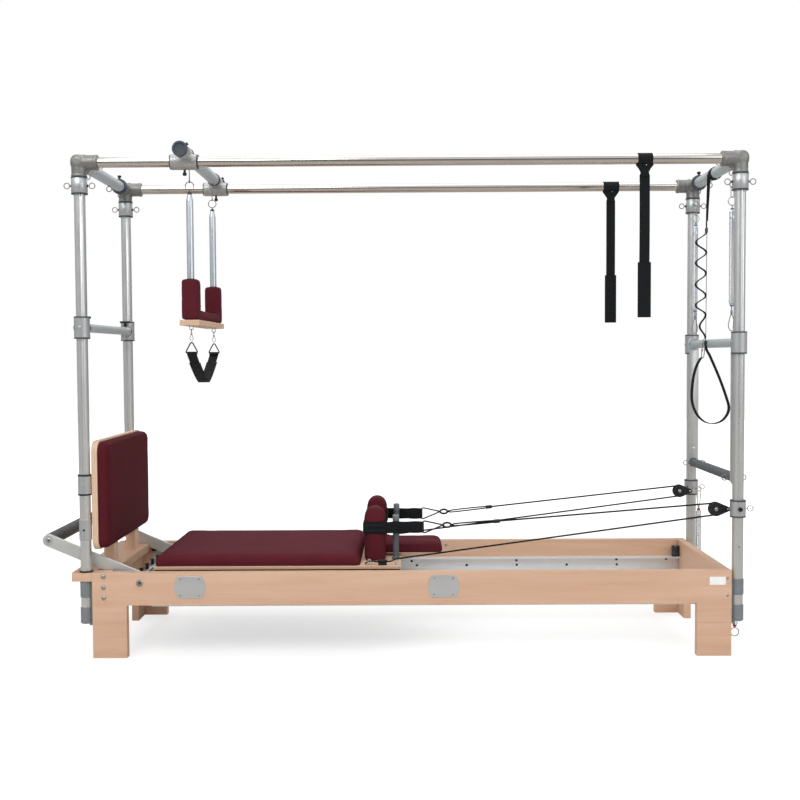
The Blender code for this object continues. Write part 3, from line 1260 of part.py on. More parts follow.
def upper_arm_spring(side, sign):
    """Hangs by a link from the corner fitting's inboard eye; its snap hook hangs free below."""
    x, y = UPPER_SPRING_X, sign * ARM_SPRING_Y
    points = coil(x, y, UPPER_SPRING_TOP, UPPER_SPRING_LENGTH, UPPER_SPRING_CURLS)
    print(f"{side}_upper_arm_spring: least gap {coil_gap(points) * 1000:.2f} mm")
    bottom = UPPER_SPRING_TOP - UPPER_SPRING_LENGTH
    ring_z = UPPER_SPRING_TOP + SPRING_RING_DIAMETER / 2 + 0.009
    reach = (SPRING_RING_DIAMETER - EYE_WIRE) / 2
    link_top = eye_hang_height()
    link_low = ring_z + reach
    half = 0.006
    link = [(x - half, y, link_low), (x - half, y, link_top), (x + half, y, link_top), (x + half, y, link_low)]
    pieces = [
        ring((x, y, ring_z), (0, 1, 0), reach, EYE_WIRE, 10),
        rod((x, y, UPPER_SPRING_TOP - 0.002), (x, y, ring_z - reach), SPRING_TIP_RADIUS, sides=6),
        tube(link, SPRING_HOOK_WIRE, True),
        rod((x, y, bottom + 0.002), (x, y, bottom - 0.034), SPRING_TIP_RADIUS, sides=6),
        pear(x, y, bottom - 0.032, 0.062, 0.0085),
    ]
    made = join(tube(points, ARM_SPRING_WIRE, fine=1), *pieces)
    return node(made, f"{side}_upper_arm_spring", STEEL, (x, y, link_top))


def lower_arm_spring(side, sign):
    """Hangs by its snap hook from the pulley collar's inboard eye; its ring is at the free end."""
    x, y = LOWER_SPRING_X, sign * ARM_SPRING_Y
    points = coil(x, y, LOWER_SPRING_TOP, LOWER_SPRING_LENGTH, LOWER_SPRING_CURLS)
    print(f"{side}_lower_arm_spring: least gap {coil_gap(points) * 1000:.2f} mm")
    bottom = LOWER_SPRING_TOP - LOWER_SPRING_LENGTH
    reach = (SPRING_RING_DIAMETER - EYE_WIRE) / 2
    hook_top = pulley_eye_height() - EYE_RADIUS + hang_gap()
    hook_low = LOWER_SPRING_TOP + 0.008
    half = 0.0085
    hook = [(x - 0.0035, hook_low), (x + 0.0035, hook_low), (x + half, hook_top - half)]
    hook += arc((x, hook_top - half), half, 0, 180, 4)[1:]
    pieces = [
        tube([(u, y, v) for u, v in hook], SPRING_HOOK_WIRE, True),
        rod((x, y, LOWER_SPRING_TOP - 0.002), (x, y, hook_low + 0.001), SPRING_TIP_RADIUS, sides=6),
        rod((x, y, bottom + 0.002), (x, y, bottom - 0.006), SPRING_TIP_RADIUS, sides=6),
        ring((x, y, bottom - 0.004 - reach), (0, 1, 0), reach, EYE_WIRE, 10),
    ]
    made = join(tube(points, ARM_SPRING_WIRE, fine=1), *pieces)
    return node(made, f"{side}_lower_arm_spring", STEEL, (x, y, hook_top))


def hang_gap():
    """How far a hook's wire lies above the centre of the eye wire that it hangs on."""
    return (EYE_WIRE + SPRING_HOOK_WIRE) / 2 + CLEARANCE


def eye_hang_height():
    return COLLAR_TOP - COLLAR_HEIGHT / 2 - EYE_RADIUS + hang_gap()


def pulley_eye_height():
    return PULLEY_COLLAR_BOTTOM + PULLEY_COLLAR_HEIGHT / 2


def ribbon(route, thickness, width, y):
    """A strap swept along a route in the X-Z plane, its width along Y."""
    rings = []
    for i, (u, v) in enumerate(route):
        before, after = route[max(i - 1, 0)], route[min(i + 1, len(route) - 1)]
        side = Vector((before[1] - after[1], after[0] - before[0])).normalized() * thickness / 2
        corners = ((u + side.x, v + side.y), (u - side.x, v - side.y))
        loop = [(a, y - width / 2, b) for a, b in corners]
        rings.append(loop + [(a, y + width / 2, b) for a, b in reversed(corners)])
    return lofted(rings)


def daisy_run():
    """The outline in the X-Z plane of the straight run with its sewn waves, and the gap inside each wave. A
    wave's middle line lies depth * sin(pi t) ** 2 from the run, t going from 0 to 1 down its height."""
    half = DAISY_THICKNESS / 2
    (neck_x, neck_z), (foot_x, foot_z) = DAISY_NECK, DAISY_FOOT
    choke_x = POST_X - turning_bore(CROSS_TUBE_RADIUS) - half / 2
    buckle_x = neck_x + (foot_x - neck_x) * (DAISY_BUCKLE - neck_z) / (foot_z - neck_z)
    left, gaps, start = [(buckle_x - half, DAISY_BUCKLE)], [], DAISY_BUCKLE
    for end, depth in DAISY_WAVES:
        fall = start - end
        gap = []
        for t in (0.12, 0.38, 0.62, 0.88):
            z = start - fall * t
            run_x = neck_x + (foot_x - neck_x) * (z - neck_z) / (foot_z - neck_z)
            slope = depth * pi * sin(2 * pi * t) / fall
            reach = half * sqrt(1 + slope * slope)
            middle = run_x - depth * sin(pi * t) ** 2
            left.append((middle - reach, z))
            gap.append((middle + reach, z))
        left.append((run_x - half, end))
        gap += [(run_x - half, gap[-1][1]), (run_x - half, gap[0][1])]
        gaps.append(gap)
        start = end
    outline = [(choke_x + half, TOP_RAIL_HEIGHT), (neck_x + half, neck_z), (foot_x + half, foot_z)]
    outline += [(foot_x - half, foot_z), *reversed(left), (neck_x - half, neck_z)]
    outline.append((choke_x - half, TOP_RAIL_HEIGHT))
    return outline, gaps


def daisy_strap():
    """A strap choked round the head cross tube: a straight run with a second one sewn to it in waves, a
    snap hook, and a long loop hanging past the head bar."""
    high = TOP_RAIL_HEIGHT
    bore = turning_bore(CROSS_TUBE_RADIUS)
    x = POST_X
    choke = plate(arc((x, high), bore + DAISY_THICKNESS, 0, 345, 12), DAISY_WIDTH + 0.001, "XZ", DAISY_Y)
    outline, gaps = daisy_run()
    pieces = [
        plate(outline, DAISY_WIDTH, "XZ", DAISY_Y, gaps),
        ribbon(DAISY_LOOP, DAISY_THICKNESS * 1.1, DAISY_WIDTH * 0.95, DAISY_Y),
        tube([(u, DAISY_Y, v) for u, v in DAISY_HOOK], 0.0040, True),
    ]
    hole = rod((x, DAISY_Y - 0.05, high), (x, DAISY_Y + 0.05, high), bore)
    return node(cut(join(choke, *pieces), hole), "daisy_strap", WEBBING, (x, DAISY_Y, high))


def centre_on_box():
    """Moves everything along X so that the whole object's box is centred on the origin."""
    bpy.context.view_layer.update()
    low, high = 1e9, -1e9
    for obj in bpy.data.objects:
        for point in obj.data.vertices:
            x = obj.location.x + point.co.x
            low, high = min(low, x), max(high, x)
    for obj in bpy.data.objects:
        obj.location.x -= (low + high) / 2
    print(f"moved along X by {-(low + high) / 2:.5f} m")


def build():
    clear_scene()
    for side, sign in sides():
        side_rail(side, sign)
        track(side, sign)
        top_rail(side, sign)
        pulley_block(side, sign)
        sheave(side, sign)
        rope(side, sign)
        shoulder_rest(side, sign)
        rope_post(side, sign)
        foot_loop(side, sign)
        trapeze_tube(side, sign)
        hanging_strap(side, sign)
        upper_arm_spring(side, sign)
        lower_arm_spring(side, sign)
        for end_name, end in (("foot", -1), ("head", 1)):
            post(end_name, side, end, sign)
            corner_fitting(end_name, side, end, sign)
    for end_name, end in (("foot", -1), ("head", 1)):
        top_cross_tube(end_name, end)
    head_end_board()
    foot_platform()
    spring_bar()
    foot_cross_bar()
    head_cross_tube()
    push_through_bar()
    carriage_platform()
    carriage_frame()
    carriage_mat()
    headrest_pad()
    for place in wheel_places():
        wheel(*place)
    carriage_springs()
    footbar()
    jumpboard_panel()
    jumpboard_pad()
    trapeze_carrier()
    trapeze_pad()
    trapeze_board()
    trapeze_sling()
    daisy_strap()
    centre_on_box()


build()
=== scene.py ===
"""Combo pilates reformer, dressed: a beech reformer with a rolling carriage under a four-post tower.

Every shape is a numpy surface laid out about the middle of the wooden frame, in metres, with -Y the near
side, +Y the far side, -X the foot end and +X the head end. piece() adds the frame's own place along X.
"""
import json
from math import asin, atan2, cos, degrees, hypot, pi, radians, sin

import bmesh
import bpy
import numpy as np
from mathutils import Matrix, Vector
from mathutils.bvhtree import BVHTree


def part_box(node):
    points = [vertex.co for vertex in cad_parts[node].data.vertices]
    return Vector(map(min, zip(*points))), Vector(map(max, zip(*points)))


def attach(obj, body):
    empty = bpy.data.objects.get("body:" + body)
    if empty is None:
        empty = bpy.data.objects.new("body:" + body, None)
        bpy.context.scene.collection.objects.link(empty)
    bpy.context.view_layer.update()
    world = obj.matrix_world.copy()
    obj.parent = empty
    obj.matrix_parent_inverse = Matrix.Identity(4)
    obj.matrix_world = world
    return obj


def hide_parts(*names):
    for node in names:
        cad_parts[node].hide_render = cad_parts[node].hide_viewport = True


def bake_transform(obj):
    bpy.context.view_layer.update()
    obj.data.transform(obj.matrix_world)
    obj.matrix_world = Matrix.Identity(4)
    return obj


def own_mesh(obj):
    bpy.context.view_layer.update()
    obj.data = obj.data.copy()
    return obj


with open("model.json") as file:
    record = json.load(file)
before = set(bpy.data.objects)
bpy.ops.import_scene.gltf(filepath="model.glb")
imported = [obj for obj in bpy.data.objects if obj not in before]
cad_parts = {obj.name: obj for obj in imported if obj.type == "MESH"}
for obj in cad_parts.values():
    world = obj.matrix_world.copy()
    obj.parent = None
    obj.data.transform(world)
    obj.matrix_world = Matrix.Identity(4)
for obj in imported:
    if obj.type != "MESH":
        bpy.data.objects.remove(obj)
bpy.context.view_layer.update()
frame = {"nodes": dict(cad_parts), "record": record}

RAIL_LOW, RAIL_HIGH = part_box("near_side_rail")
SHIFT = (RAIL_LOW.x + RAIL_HIGH.x) / 2


def span(node):
    """The lowest and highest corners of a CAD node, about the middle of the wooden frame."""
    low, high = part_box(node)
    return np.array(low) - (SHIFT, 0, 0), np.array(high) - (SHIFT, 0, 0)


# Sizes that the solids were made from
HALF_LENGTH = (RAIL_HIGH.x - RAIL_LOW.x) / 2
HALF_WIDTH = abs(RAIL_LOW.y)
RAIL_THICKNESS = 0.033
INNER_Y = HALF_WIDTH - RAIL_THICKNESS
POST_X = HALF_LENGTH + 0.028
POST_Y = HALF_WIDTH - 0.025
POST_RADIUS = 0.021
POST_FOOT = 0.1315
POST_TOP = 1.8605
SLEEVE_HEIGHT = 0.061
SLEEVE_FEET = (0.1335, 0.233)
TOP_RAIL_HEIGHT = 1.887
TOP_RAIL_RADIUS = 0.019
TOP_RAIL_END = 1.2215
CROSS_RADIUS = 0.0225
FITTING_RADIUS = 0.0295
FITTING_ARM = 0.072
COLLAR_TOP = 1.8328
COLLAR_HEIGHT = 0.065
COLLAR_RADIUS = 0.0302
EYE_RADIUS = 0.01065
EYE_WIRE = 0.0038
CLAMP_HALF, CLAMP_RADIUS = 0.0425, 0.0292
FOOT_BAR_RADIUS, HEAD_BAR_RADIUS = 0.0165, 0.0175
BAR_END = POST_Y - 0.028
SLEEVE_RADIUS = 0.0235
SWING_ARM_Y, SWING_ARM_HALF, SWING_ARM_BOSS, SWING_ARM_THICK = 0.3, 0.02, 0.0275, 0.006
PULLEY_CHEEK, PULLEY_EYE, PULLEY_REACH = 0.0275, 0.009, 0.046
TRACK_LOW, TRACK_HIGH, TRACK_LIP = 0.192, 0.257, 0.006
BADGES_X, BADGE_Z = (-0.846, 0.123), 0.2725
SPRING_BAR_HALF, PEG_GAP = 0.012, 0.095
COIL_RADIUS, COIL_WIRE = 0.01, 0.0029
FOOT_BAR_Z = 1.265
HEAD_BAR_Z = 1.194
GRIP_DROP = 0.519
PULLEY_Z = 0.562
SHEAVE = (1.18, 0.277, 0.552)
SHEAVE_RADIUS = 0.0235
ROPE_RADIUS = 0.0033
CARRIAGE_LEFT, CARRIAGE_RIGHT = -0.9985, -0.04
CARRIAGE_HALF_WIDTH = 0.305
MAT_RIGHT, MAT_TOP = -0.195, 0.395
HEADREST_LOW, HEADREST_HIGH = (-0.186, -0.1, 0.3535), (0.1285, 0.1, 0.3965)
SHOULDER_HALF_X, SHOULDER_HALF_Y, SHOULDER_HEIGHT = 0.042, 0.044, 0.213
WHEEL_FOOT_X, WHEEL_HEAD_X = -0.93, -0.12
ROPE_HITCH_X, ROPE_SPLICE_X, ROPE_CLEAT_Y = 0.1618, 0.338, 0.29
CARRIAGE_TOP = 0.341
CARRIAGE_UNDER = 0.317
SHOULDER = (-0.143, 0.152)
ROPE_POST = (-0.06, 0.16)
ROPE_POST_RADIUS, ROPE_POST_HEIGHT = 0.012, 0.1765
WHEEL_Z, WHEEL_Y = 0.2803, 0.3065
LOOP_Z = 0.4714
LOOP_Y = 0.183
LOOP_END, LOOP_APEX = 0.046, 0.13
FOOTBAR_PIVOT = (-1.038, 0.2897)
FOOTBAR_REACH, FOOTBAR_ANGLE = 0.397, 22.8
FOOTBAR_Y = 0.291
FOOTBAR_ARM_HALF, FOOTBAR_ARM_THICK = 0.024, 0.012
SPRING_BAR = (-1.092, 0.262)
SPRING_ANCHOR = -0.64
JUMPBOARD_LEFT = -1.2213
JUMPBOARD_PLY, JUMPBOARD_BOTTOM = 0.022, 0.41
JUMPBOARD_SIZE = (0.68, 0.421)
JUMPBOARD_LEG_Y = 0.165
CARRIER_X = -0.8495
CARRIER_Z = 1.9225
CARRIER_HALF, CARRIER_RADIUS = 0.42, 0.024
TRAPEZE_Y = 0.243
TRAPEZE_RING_Z = 1.811
TRAPEZE_TUBE_RADIUS, TRAPEZE_TIP = 0.01375, 1.7865
BOARD_TOP = 1.2945
SLING_PIVOT = 1.2568
SLING_RING_Z = 1.186
STRAP_X = 0.888
ARM_SPRING_Y = 0.262
UPPER_SPRING = (1.241, 1.711, 0.377)
LOWER_SPRING = (1.262, 0.477, 0.39)
# The rope's tail round its cleat: x, y, and z over the board
ROPE_TAIL = [
    (-0.074, 0.29, 0.0165), (-0.092, 0.2975, 0.015), (-0.111, 0.2995, 0.014), (-0.132, 0.2965, 0.0145),
    (-0.148, 0.29, 0.016), (-0.166, 0.286, 0.012), (-0.178, 0.276, 0.0042)]
SLING_WIDE = 0.038
SLING_BOTTOM = 1.047
SEAT_PAD_TOP = 1.4536
CUFF_TOP, CUFF_BOTTOM = 1.5, 1.292
STRAP_END = 1.4865
DAISY_Y = 0.045
DAISY_NECK, DAISY_FOOT = (1.23, 1.7), (1.228, 1.2)
DAISY_WAVES = ((1.5702, 0.043), (1.485, 0.043), (1.3928, 0.043), (1.3142, 0.042), (1.2183, 0.024))
DAISY_BUCKLE = 1.66
DAISY_HOOK = (
    (1.227, 1.215), (1.2205, 1.2125), (1.215, 1.19), (1.2108, 1.142), (1.215, 1.1355), (1.2202, 1.142),
    (1.2235, 1.17))
LOOP_WIDE, LOOP_SQUEEZE = 1.25, 0.955  # past this x the loop is drawn in, to stay inside the solids' box
DAISY_LOOP = [
    (1.2275, 1.205), (1.2265, 1.187), (1.233, 1.166), (1.248, 1.138), (1.29, 1.045), (1.32, 0.965),
    (1.329, 0.93), (1.322, 0.9), (1.298, 0.873), (1.262, 0.862), (1.225, 0.87), (1.195, 0.898),
    (1.176, 0.94), (1.171, 0.985), (1.177, 1.05), (1.188, 1.095), (1.205, 1.13), (1.215, 1.137),
]

SIDES = (("near", -1), ("far", 1))
ALONG, ACROSS, UP, DOWN = (1, 0, 0), (0, 1, 0), (0, 0, 1), (0, 0, -1)
ENDS = (("foot", -1), ("head", 1))
HOME = {node: body for body, nodes in frame["record"]["behaviour"]["bodies"].items() for node in nodes}


# Surfaces

def quads(rows, columns, wrap_rows=False):
    """Faces of a grid whose columns close on themselves; point (i, j) is number i * columns + j."""
    i, j = np.meshgrid(np.arange(rows if wrap_rows else rows - 1), np.arange(columns), indexing="ij")
    after, beside = (i + 1) % rows, (j + 1) % columns
    corners = (i * columns + j, i * columns + beside, after * columns + beside, after * columns + j)
    return np.stack(corners, -1).reshape(-1, 4)


def outward(points, faces):
    """Turns the faces round where the signed volume, a sum of p0 . (p1 x p2) / 6 over fans, is negative."""
    volume = 0.0
    for group in faces:
        for k in range(1, group.shape[1] - 1):
            a, b, c = (points[group[:, n]] for n in (0, k, k + 1))
            volume += np.einsum("ij,ij->", a, np.cross(b, c)) / 6
    return (points, [group[:, ::-1] for group in faces]) if volume < 0 else (points, faces)


def skin(loops, ring=False):
    """A closed surface through equal loops of points (rows, columns, 3): capped flat or joined end to end."""
    loops = np.asarray(loops, float)
    rows, columns = loops.shape[:2]
    faces = [quads(rows, columns, ring)]
    if not ring:
        first = np.arange(columns)[None, ::-1]
        faces += [first, first[:, ::-1] + (rows - 1) * columns]
    return outward(loops.reshape(-1, 3), faces)


def lathe(profile, start, axis=UP, steps=32):
    """A profile of (radius, height) rows turned round an axis: p = start + h * axis + r * (cos t, sin t) in
    the plane square to it. An end of no radius becomes one pole point."""
    profile = np.asarray(profile, float)
    axis = np.array(axis, float) / np.linalg.norm(axis)
    side = np.cross(axis, UP if abs(axis[2]) < 0.9 else ALONG)
    side /= np.linalg.norm(side)
    other = np.cross(axis, side)
    turn = np.linspace(0, 2 * pi, steps, endpoint=False)
    round_ = np.cos(turn)[:, None] * side + np.sin(turn)[:, None] * other
    closed = np.allclose(profile[0], profile[-1])
    if closed:
        profile = profile[:-1]
    poles = [k for k in (0, len(profile) - 1) if profile[k, 0] < 1e-9 and not closed]
    body = np.delete(profile, poles, axis=0)
    loops = np.array(start) + body[:, 1, None, None] * axis + body[:, 0, None, None] * round_
    points = loops.reshape(-1, 3)
    faces = [quads(len(body), steps, closed)]
    first = np.arange(steps)
    for k, row in ((0, 0), (len(profile) - 1, len(body) - 1)):
        edge = first + row * steps
        if closed:
            continue
        if k in poles:
            points = np.vstack([points, np.array(start) + profile[k, 1] * axis])
            pole = np.full(steps, len(points) - 1)
            fan = np.stack([edge, np.roll(edge, -1), pole], -1)
            faces.append(fan if row else fan[:, ::-1])
        else:
            faces.append(edge[None] if row else edge[None, ::-1])
    return outward(points, faces)


def eased(points, reach, steps=3, closed=False):
    """Each corner b of a line a, b, c gives way to (1-t)^2 p + 2t(1-t) b + t^2 q, where p and q lie reach
    from b toward a and c, or less than half way."""
    points = [np.array(point, float) for point in points]
    count = len(points)
    reach = [reach] * count if np.isscalar(reach) else reach
    t = np.linspace(0, 1, steps + 1)[:, None]
    line = []
    for i, b in enumerate(points):
        if not closed and i in (0, count - 1) or not reach[i]:
            line.append(b[None])
            continue
        a, c = points[i - 1], points[(i + 1) % count]
        p = b + (a - b) * min(reach[i] / np.linalg.norm(a - b), 0.49)
        q = b + (c - b) * min(reach[i] / np.linalg.norm(c - b), 0.49)
        line.append((1 - t) ** 2 * p + 2 * t * (1 - t) * b + t ** 2 * q)
    return np.vstack(line)


def smooth_line(points, count, closed=False):
    """A Catmull-Rom curve through the points: p = ((2b) + (c-a)s + (2a-5b+4c-d)s^2 + (3b-a-3c+d)s^3) / 2."""
    points = np.asarray(points, float)
    if closed:
        padded = np.vstack([points[-1], points, points[:2]])
    else:
        padded = np.vstack([2 * points[0] - points[1], points, 2 * points[-1] - points[-2]])
    stretches = len(padded) - 3
    place = np.linspace(0, stretches, count, endpoint=not closed)
    k = np.minimum(place.astype(int), stretches - 1)
    s = (place - k)[:, None]
    a, b, c, d = (padded[k + n] for n in range(4))
    return (2 * b + (c - a) * s + (2 * a - 5 * b + 4 * c - d) * s ** 2 + (3 * b - a - 3 * c + d) * s ** 3) / 2


def oval(width, height=None, steps=12):
    """A section of (side, up) rows: an ellipse."""
    turn = np.linspace(0, 2 * pi, steps, endpoint=False)
    return np.stack([width / 2 * np.cos(turn), (height or width) / 2 * np.sin(turn)], -1)


def strip(width, thickness, corner=None, steps=2):
    """A section of (side, up) rows: a flat band with rounded corners."""
    corner = thickness * 0.45 if corner is None else corner
    a, b = width / 2, thickness / 2
    return eased([(a, b), (-a, b), (-a, -b), (a, -b)], corner, steps, closed=True)


def sweep(path, section, up=UP, ring=False, scale=None):
    """A section carried along a path: p + s * side + v * normal, where side = up x tangent and
    normal = tangent x side, both of length one, and scale, if given, multiplies s and v row by row. The third
    thing it gives is each point's own run: the way along, the place across and the height."""
    path = np.asarray(path, float)
    if ring:
        tangent = np.roll(path, -1, 0) - np.roll(path, 1, 0)
    else:
        tangent = np.gradient(path, axis=0)
    tangent /= np.linalg.norm(tangent, axis=1, keepdims=True)
    up = np.broadcast_to(np.asarray(up, float), path.shape)
    side = np.cross(up, tangent)
    side /= np.linalg.norm(side, axis=1, keepdims=True)
    normal = np.cross(tangent, side)
    scale = np.ones((len(path), 2)) if scale is None else np.broadcast_to(np.reshape(scale, (len(path), -1)),
                                                                          (len(path), 2))
    loops = path[:, None] + (section[:, 0] * scale[:, :1])[..., None] * side[:, None]
    points, faces = skin(loops + (section[:, 1] * scale[:, 1:])[..., None] * normal[:, None], ring)
    steps = np.linalg.norm(np.diff(path, axis=0, prepend=path[:1]), axis=1)
    along = np.repeat(np.cumsum(steps), len(section))
    wide = section if np.ptp(section[:, 0]) >= np.ptp(section[:, 1]) else section[:, ::-1]
    return points, faces, np.column_stack([along, np.tile(wide, (len(path), 1))])


def slab(outline, low, high, plane="XY", rounding=0.001, steps=3):
    """An outline swept from low to high, drawn in by r (1 - sin a) at height r (1 - cos a) along both
    rims."""
    outline = np.asarray(outline, float)
    after, before = np.roll(outline, -1, 0) - outline, outline - np.roll(outline, 1, 0)
    out = [np.stack([edge[:, 1], -edge[:, 0]], -1) for edge in (before, after)]
    out = [edge / np.maximum(np.linalg.norm(edge, axis=1, keepdims=True), 1e-9) for edge in out]
    bisector = out[0] + out[1]
    bisector /= np.maximum(np.linalg.norm(bisector, axis=1, keepdims=True), 1e-9)
    miter = 1 / np.maximum(np.einsum("ij,ij->i", bisector, out[0]), 0.5)
    area = np.sum(outline[:, 0] * np.roll(outline[:, 1], -1) - np.roll(outline[:, 0], -1) * outline[:, 1])
    inward = -bisector * miter[:, None] * (1 if area > 0 else -1)
    bend = np.linspace(0, pi / 2, steps + 1)
    rise, inset = rounding * (1 - np.cos(bend)), rounding * (1 - np.sin(bend))
    levels = [(low + r, i) for r, i in zip(rise, inset)]
    levels += [(high - r, i) for r, i in zip(rise[::-1], inset[::-1])]
    order = {"XY": (0, 1, 2), "XZ": (0, 2, 1), "YZ": (2, 0, 1)}[plane]
    loops = []
    for height, inset in levels:
        flat = outline + inward * inset
        loops.append(np.column_stack([flat, np.full(len(flat), height)])[:, order])
    return skin(loops)


def box_outline(low, high, corner=0.0, steps=4):
    """A rectangle between two corners, its corners eased."""
    (a, b), (c, d) = low, high
    return eased([(c, d), (a, d), (a, b), (c, b)], corner, steps, closed=True)


def block(low, high, rounding=0.001, corner=None):
    """A box with every edge rounded."""
    outline = box_outline(low[:2], high[:2], rounding if corner is None else corner, 3)
    return slab(outline, low[2], high[2], "XY", rounding, 2)


def circle(centre, radius, start=0.0, end=360.0, steps=24):
    """Rows of a circle or an arc in a flat outline, angles in degrees."""
    turn = np.radians(np.linspace(start, end, steps, endpoint=end - start < 359.9))
    return np.array(centre) + radius * np.stack([np.cos(turn), np.sin(turn)], -1)


def torus(centre, axis, radius, wire, around=28, across=10):
    """A ring of round wire: radius to the wire's middle."""
    turn = np.linspace(0, 2 * pi, across, endpoint=False)
    profile = np.stack([radius + wire / 2 * np.cos(turn), wire / 2 * np.sin(turn)], -1)
    return lathe(np.vstack([profile, profile[:1]]), centre, axis, around)


def capped(rows, start, axis, steps):
    """A turned part that starts and ends flat on its axis, its rows (radius, distance) in millimetres."""
    rows = [(radius / 1000, along / 1000) for radius, along in rows]
    return lathe([(0, rows[0][1]), *rows, (0, rows[-1][1])], start, axis, steps)


def mirrored(rows, crest=()):
    """A ring's closed outline from its upper half, with the rows of its crest between the two halves."""
    return [(r, -h) for r, h in rows] + [*crest] + rows[::-1] + [(rows[0][0], -rows[0][1])]


def bar(start, end, radius, chamfer=0.0006, steps=32):
    """A round bar between two points, its rims eased."""
    start, end = np.array(start, float), np.array(end, float)
    length = np.linalg.norm(end - start)
    inner = radius - chamfer
    profile = [(0, 0), (inner, 0), (radius, chamfer), (radius, length - chamfer), (inner, length),
               (0, length)]
    return lathe(profile, start, end - start, steps)


def pipe(low, high, inner, outer, chamfer=0.0008, start=(0, 0, 0), axis=UP):
    """A sleeve between two heights along an axis, open through, with eased rims."""
    rim = outer - chamfer
    profile = [(inner, low), (rim, low), (outer, low + chamfer), (outer, high - chamfer), (rim, high),
               (inner, high)]
    return lathe([*profile, profile[0]], start, axis, 40)


def dome(centre, axis, radius, height):
    """A cap: r = radius cos a, h = height sin a, on a flat base."""
    bend = np.linspace(0, pi / 2, 7)
    profile = [(0, 0), (radius, 0)] + [(radius * cos(a), height * sin(a)) for a in bend[:-1]] + [(0, height)]
    return lathe(profile, centre, axis, 20)


def wire(path, thickness, ring=False, up=UP):
    """A round wire along a path."""
    return sweep(path, oval(thickness, steps=8), up, ring)


def thread(path, thickness, up=ACROSS, ring=False):
    """A line of stitching along a path."""
    return sweep(path, oval(thickness, steps=6), up, ring)


def eye(centre, axis, foot):
    """A screwed ring eye: the ring, its stem and a little collar where it enters."""
    centre, foot = np.array(centre, float), np.array(foot, float)
    away = (foot - centre) / np.linalg.norm(foot - centre)
    stem = centre + away * (EYE_RADIUS - EYE_WIRE * 0.2)
    return [
        torus(centre, axis, EYE_RADIUS, EYE_WIRE, 28, 8),
        bar(stem, foot + away * 0.002, 0.0021, 0.0003, 10),
        bar(foot - away * 0.003, foot + away * 0.002, 0.0036, 0.0006, 12),
    ]


# Pieces

def piece(name, parts, node=None, body=None, sharp=40):
    """One object from (shape, material) pairs, each shape's points moved to the frame's place along X. Its
    body is the one named, else its first node's, and a piece that is to bend between bodies is "blended"."""
    points, faces, runs, materials, base = [], [], [], [], 0
    for shapes, material in parts:
        if material not in materials:
            materials.append(material)
        for shape in shapes if isinstance(shapes, list) else [shapes]:
            points.append(shape[0])
            for group in shape[1]:
                faces.append((group + base, materials.index(material)))
            runs.append(shape[2] if len(shape) > 2 else shape[0] * 0)
            base += len(shape[0])
    points = np.vstack(points) + (SHIFT, 0, 0)
    mesh = bpy.data.meshes.new(name)
    mesh.vertices.add(len(points))
    mesh.vertices.foreach_set("co", points.astype(np.float32).ravel())
    corners = np.concatenate([group.ravel() for group, _ in faces])
    sizes = np.concatenate([np.full(len(group), group.shape[1]) for group, _ in faces])
    mesh.loops.add(len(corners))
    mesh.loops.foreach_set("vertex_index", corners.astype(np.int32))
    mesh.polygons.add(len(sizes))
    mesh.polygons.foreach_set("loop_start", (np.cumsum(sizes) - sizes).astype(np.int32))
    looks = np.concatenate([np.full(len(group), index) for group, index in faces])
    mesh.polygons.foreach_set("material_index", looks.astype(np.int32))
    for material in materials:
        mesh.materials.append(material)
    mesh.update(calc_edges=True)
    if any(np.any(run) for run in runs):
        run = mesh.attributes.new("run", "FLOAT_VECTOR", "POINT")
        run.data.foreach_set("vector", np.vstack(runs).astype(np.float32).ravel())
    mesh.shade_smooth()
    mesh.set_sharp_from_angle(angle=radians(sharp))
    obj = bpy.data.objects.new(name, mesh)
    bpy.context.scene.collection.objects.link(obj)
    nodes = [node] if isinstance(node, str) else list(node or [])
    if body != "blended":
        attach(obj, body or HOME[nodes[0]])
    if nodes:
        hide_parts(*nodes)
    return obj


def planed(node, width, material):
    """A CAD node's shape with its facets merged and its sharp edges rounded by a Bevel."""
    mesh = frame["nodes"][node].data.copy()
    mesh.materials.clear()
    mesh.materials.append(material)
    obj = bpy.data.objects.new(node + "_wood", mesh)
    bpy.context.scene.collection.objects.link(obj)
    bm = bmesh.new()
    bm.from_mesh(mesh)
    bmesh.ops.remove_doubles(bm, verts=bm.verts, dist=1e-5)
    bmesh.ops.dissolve_limit(bm, angle_limit=radians(1), verts=bm.verts, edges=bm.edges)
    bm.to_mesh(mesh)
    bm.free()
    bevel = obj.modifiers.new("Rounded edges", "BEVEL")
    bevel.width = width
    bevel.segments = 2
    bevel.limit_method = "ANGLE"
    bevel.angle_limit = radians(50)
    bevel.harden_normals = False
    mesh.shade_smooth()
    mesh.set_sharp_from_angle(angle=radians(35))
    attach(obj, HOME[node])
    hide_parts(node)
    return obj


# Materials: groups hand out masks and heights, and each material gives them its own colours

def tint(colour):
    """A display colour such as "65323a" as the shader's linear red, green, blue and alpha."""
    parts = [int(colour[i:i + 2], 16) / 255 for i in (0, 2, 4)]
    return tuple(c / 12.92 if c <= 0.04045 else ((c + 0.055) / 1.055) ** 2.4 for c in parts) + (1.0,)


def put(tree, kind, inputs=(), **settings):
    """Adds one shader node: settings are its attributes, inputs pairs a socket with a value or another
    socket."""
    made = tree.nodes.new("ShaderNode" + kind)
    for name, value in settings.items():
        setattr(made, name, value)
    for socket, value in dict(inputs).items():
        if isinstance(value, bpy.types.NodeSocket):
            tree.links.new(value, made.inputs[socket])
        else:
            made.inputs[socket].default_value = value
    return made


def maths(tree, operation, first, second=0.0):
    """One arithmetic step on two values."""
    return put(tree, "Math", {0: first, 1: second}, operation=operation).outputs[0]


def span_of(tree, value, low, high, new_low=0.0, new_high=1.0):
    """A value of one span moved to another, held at its ends."""
    return put(tree, "MapRange", {0: value, 1: low, 2: high, 3: new_low, 4: new_high}).outputs[0]


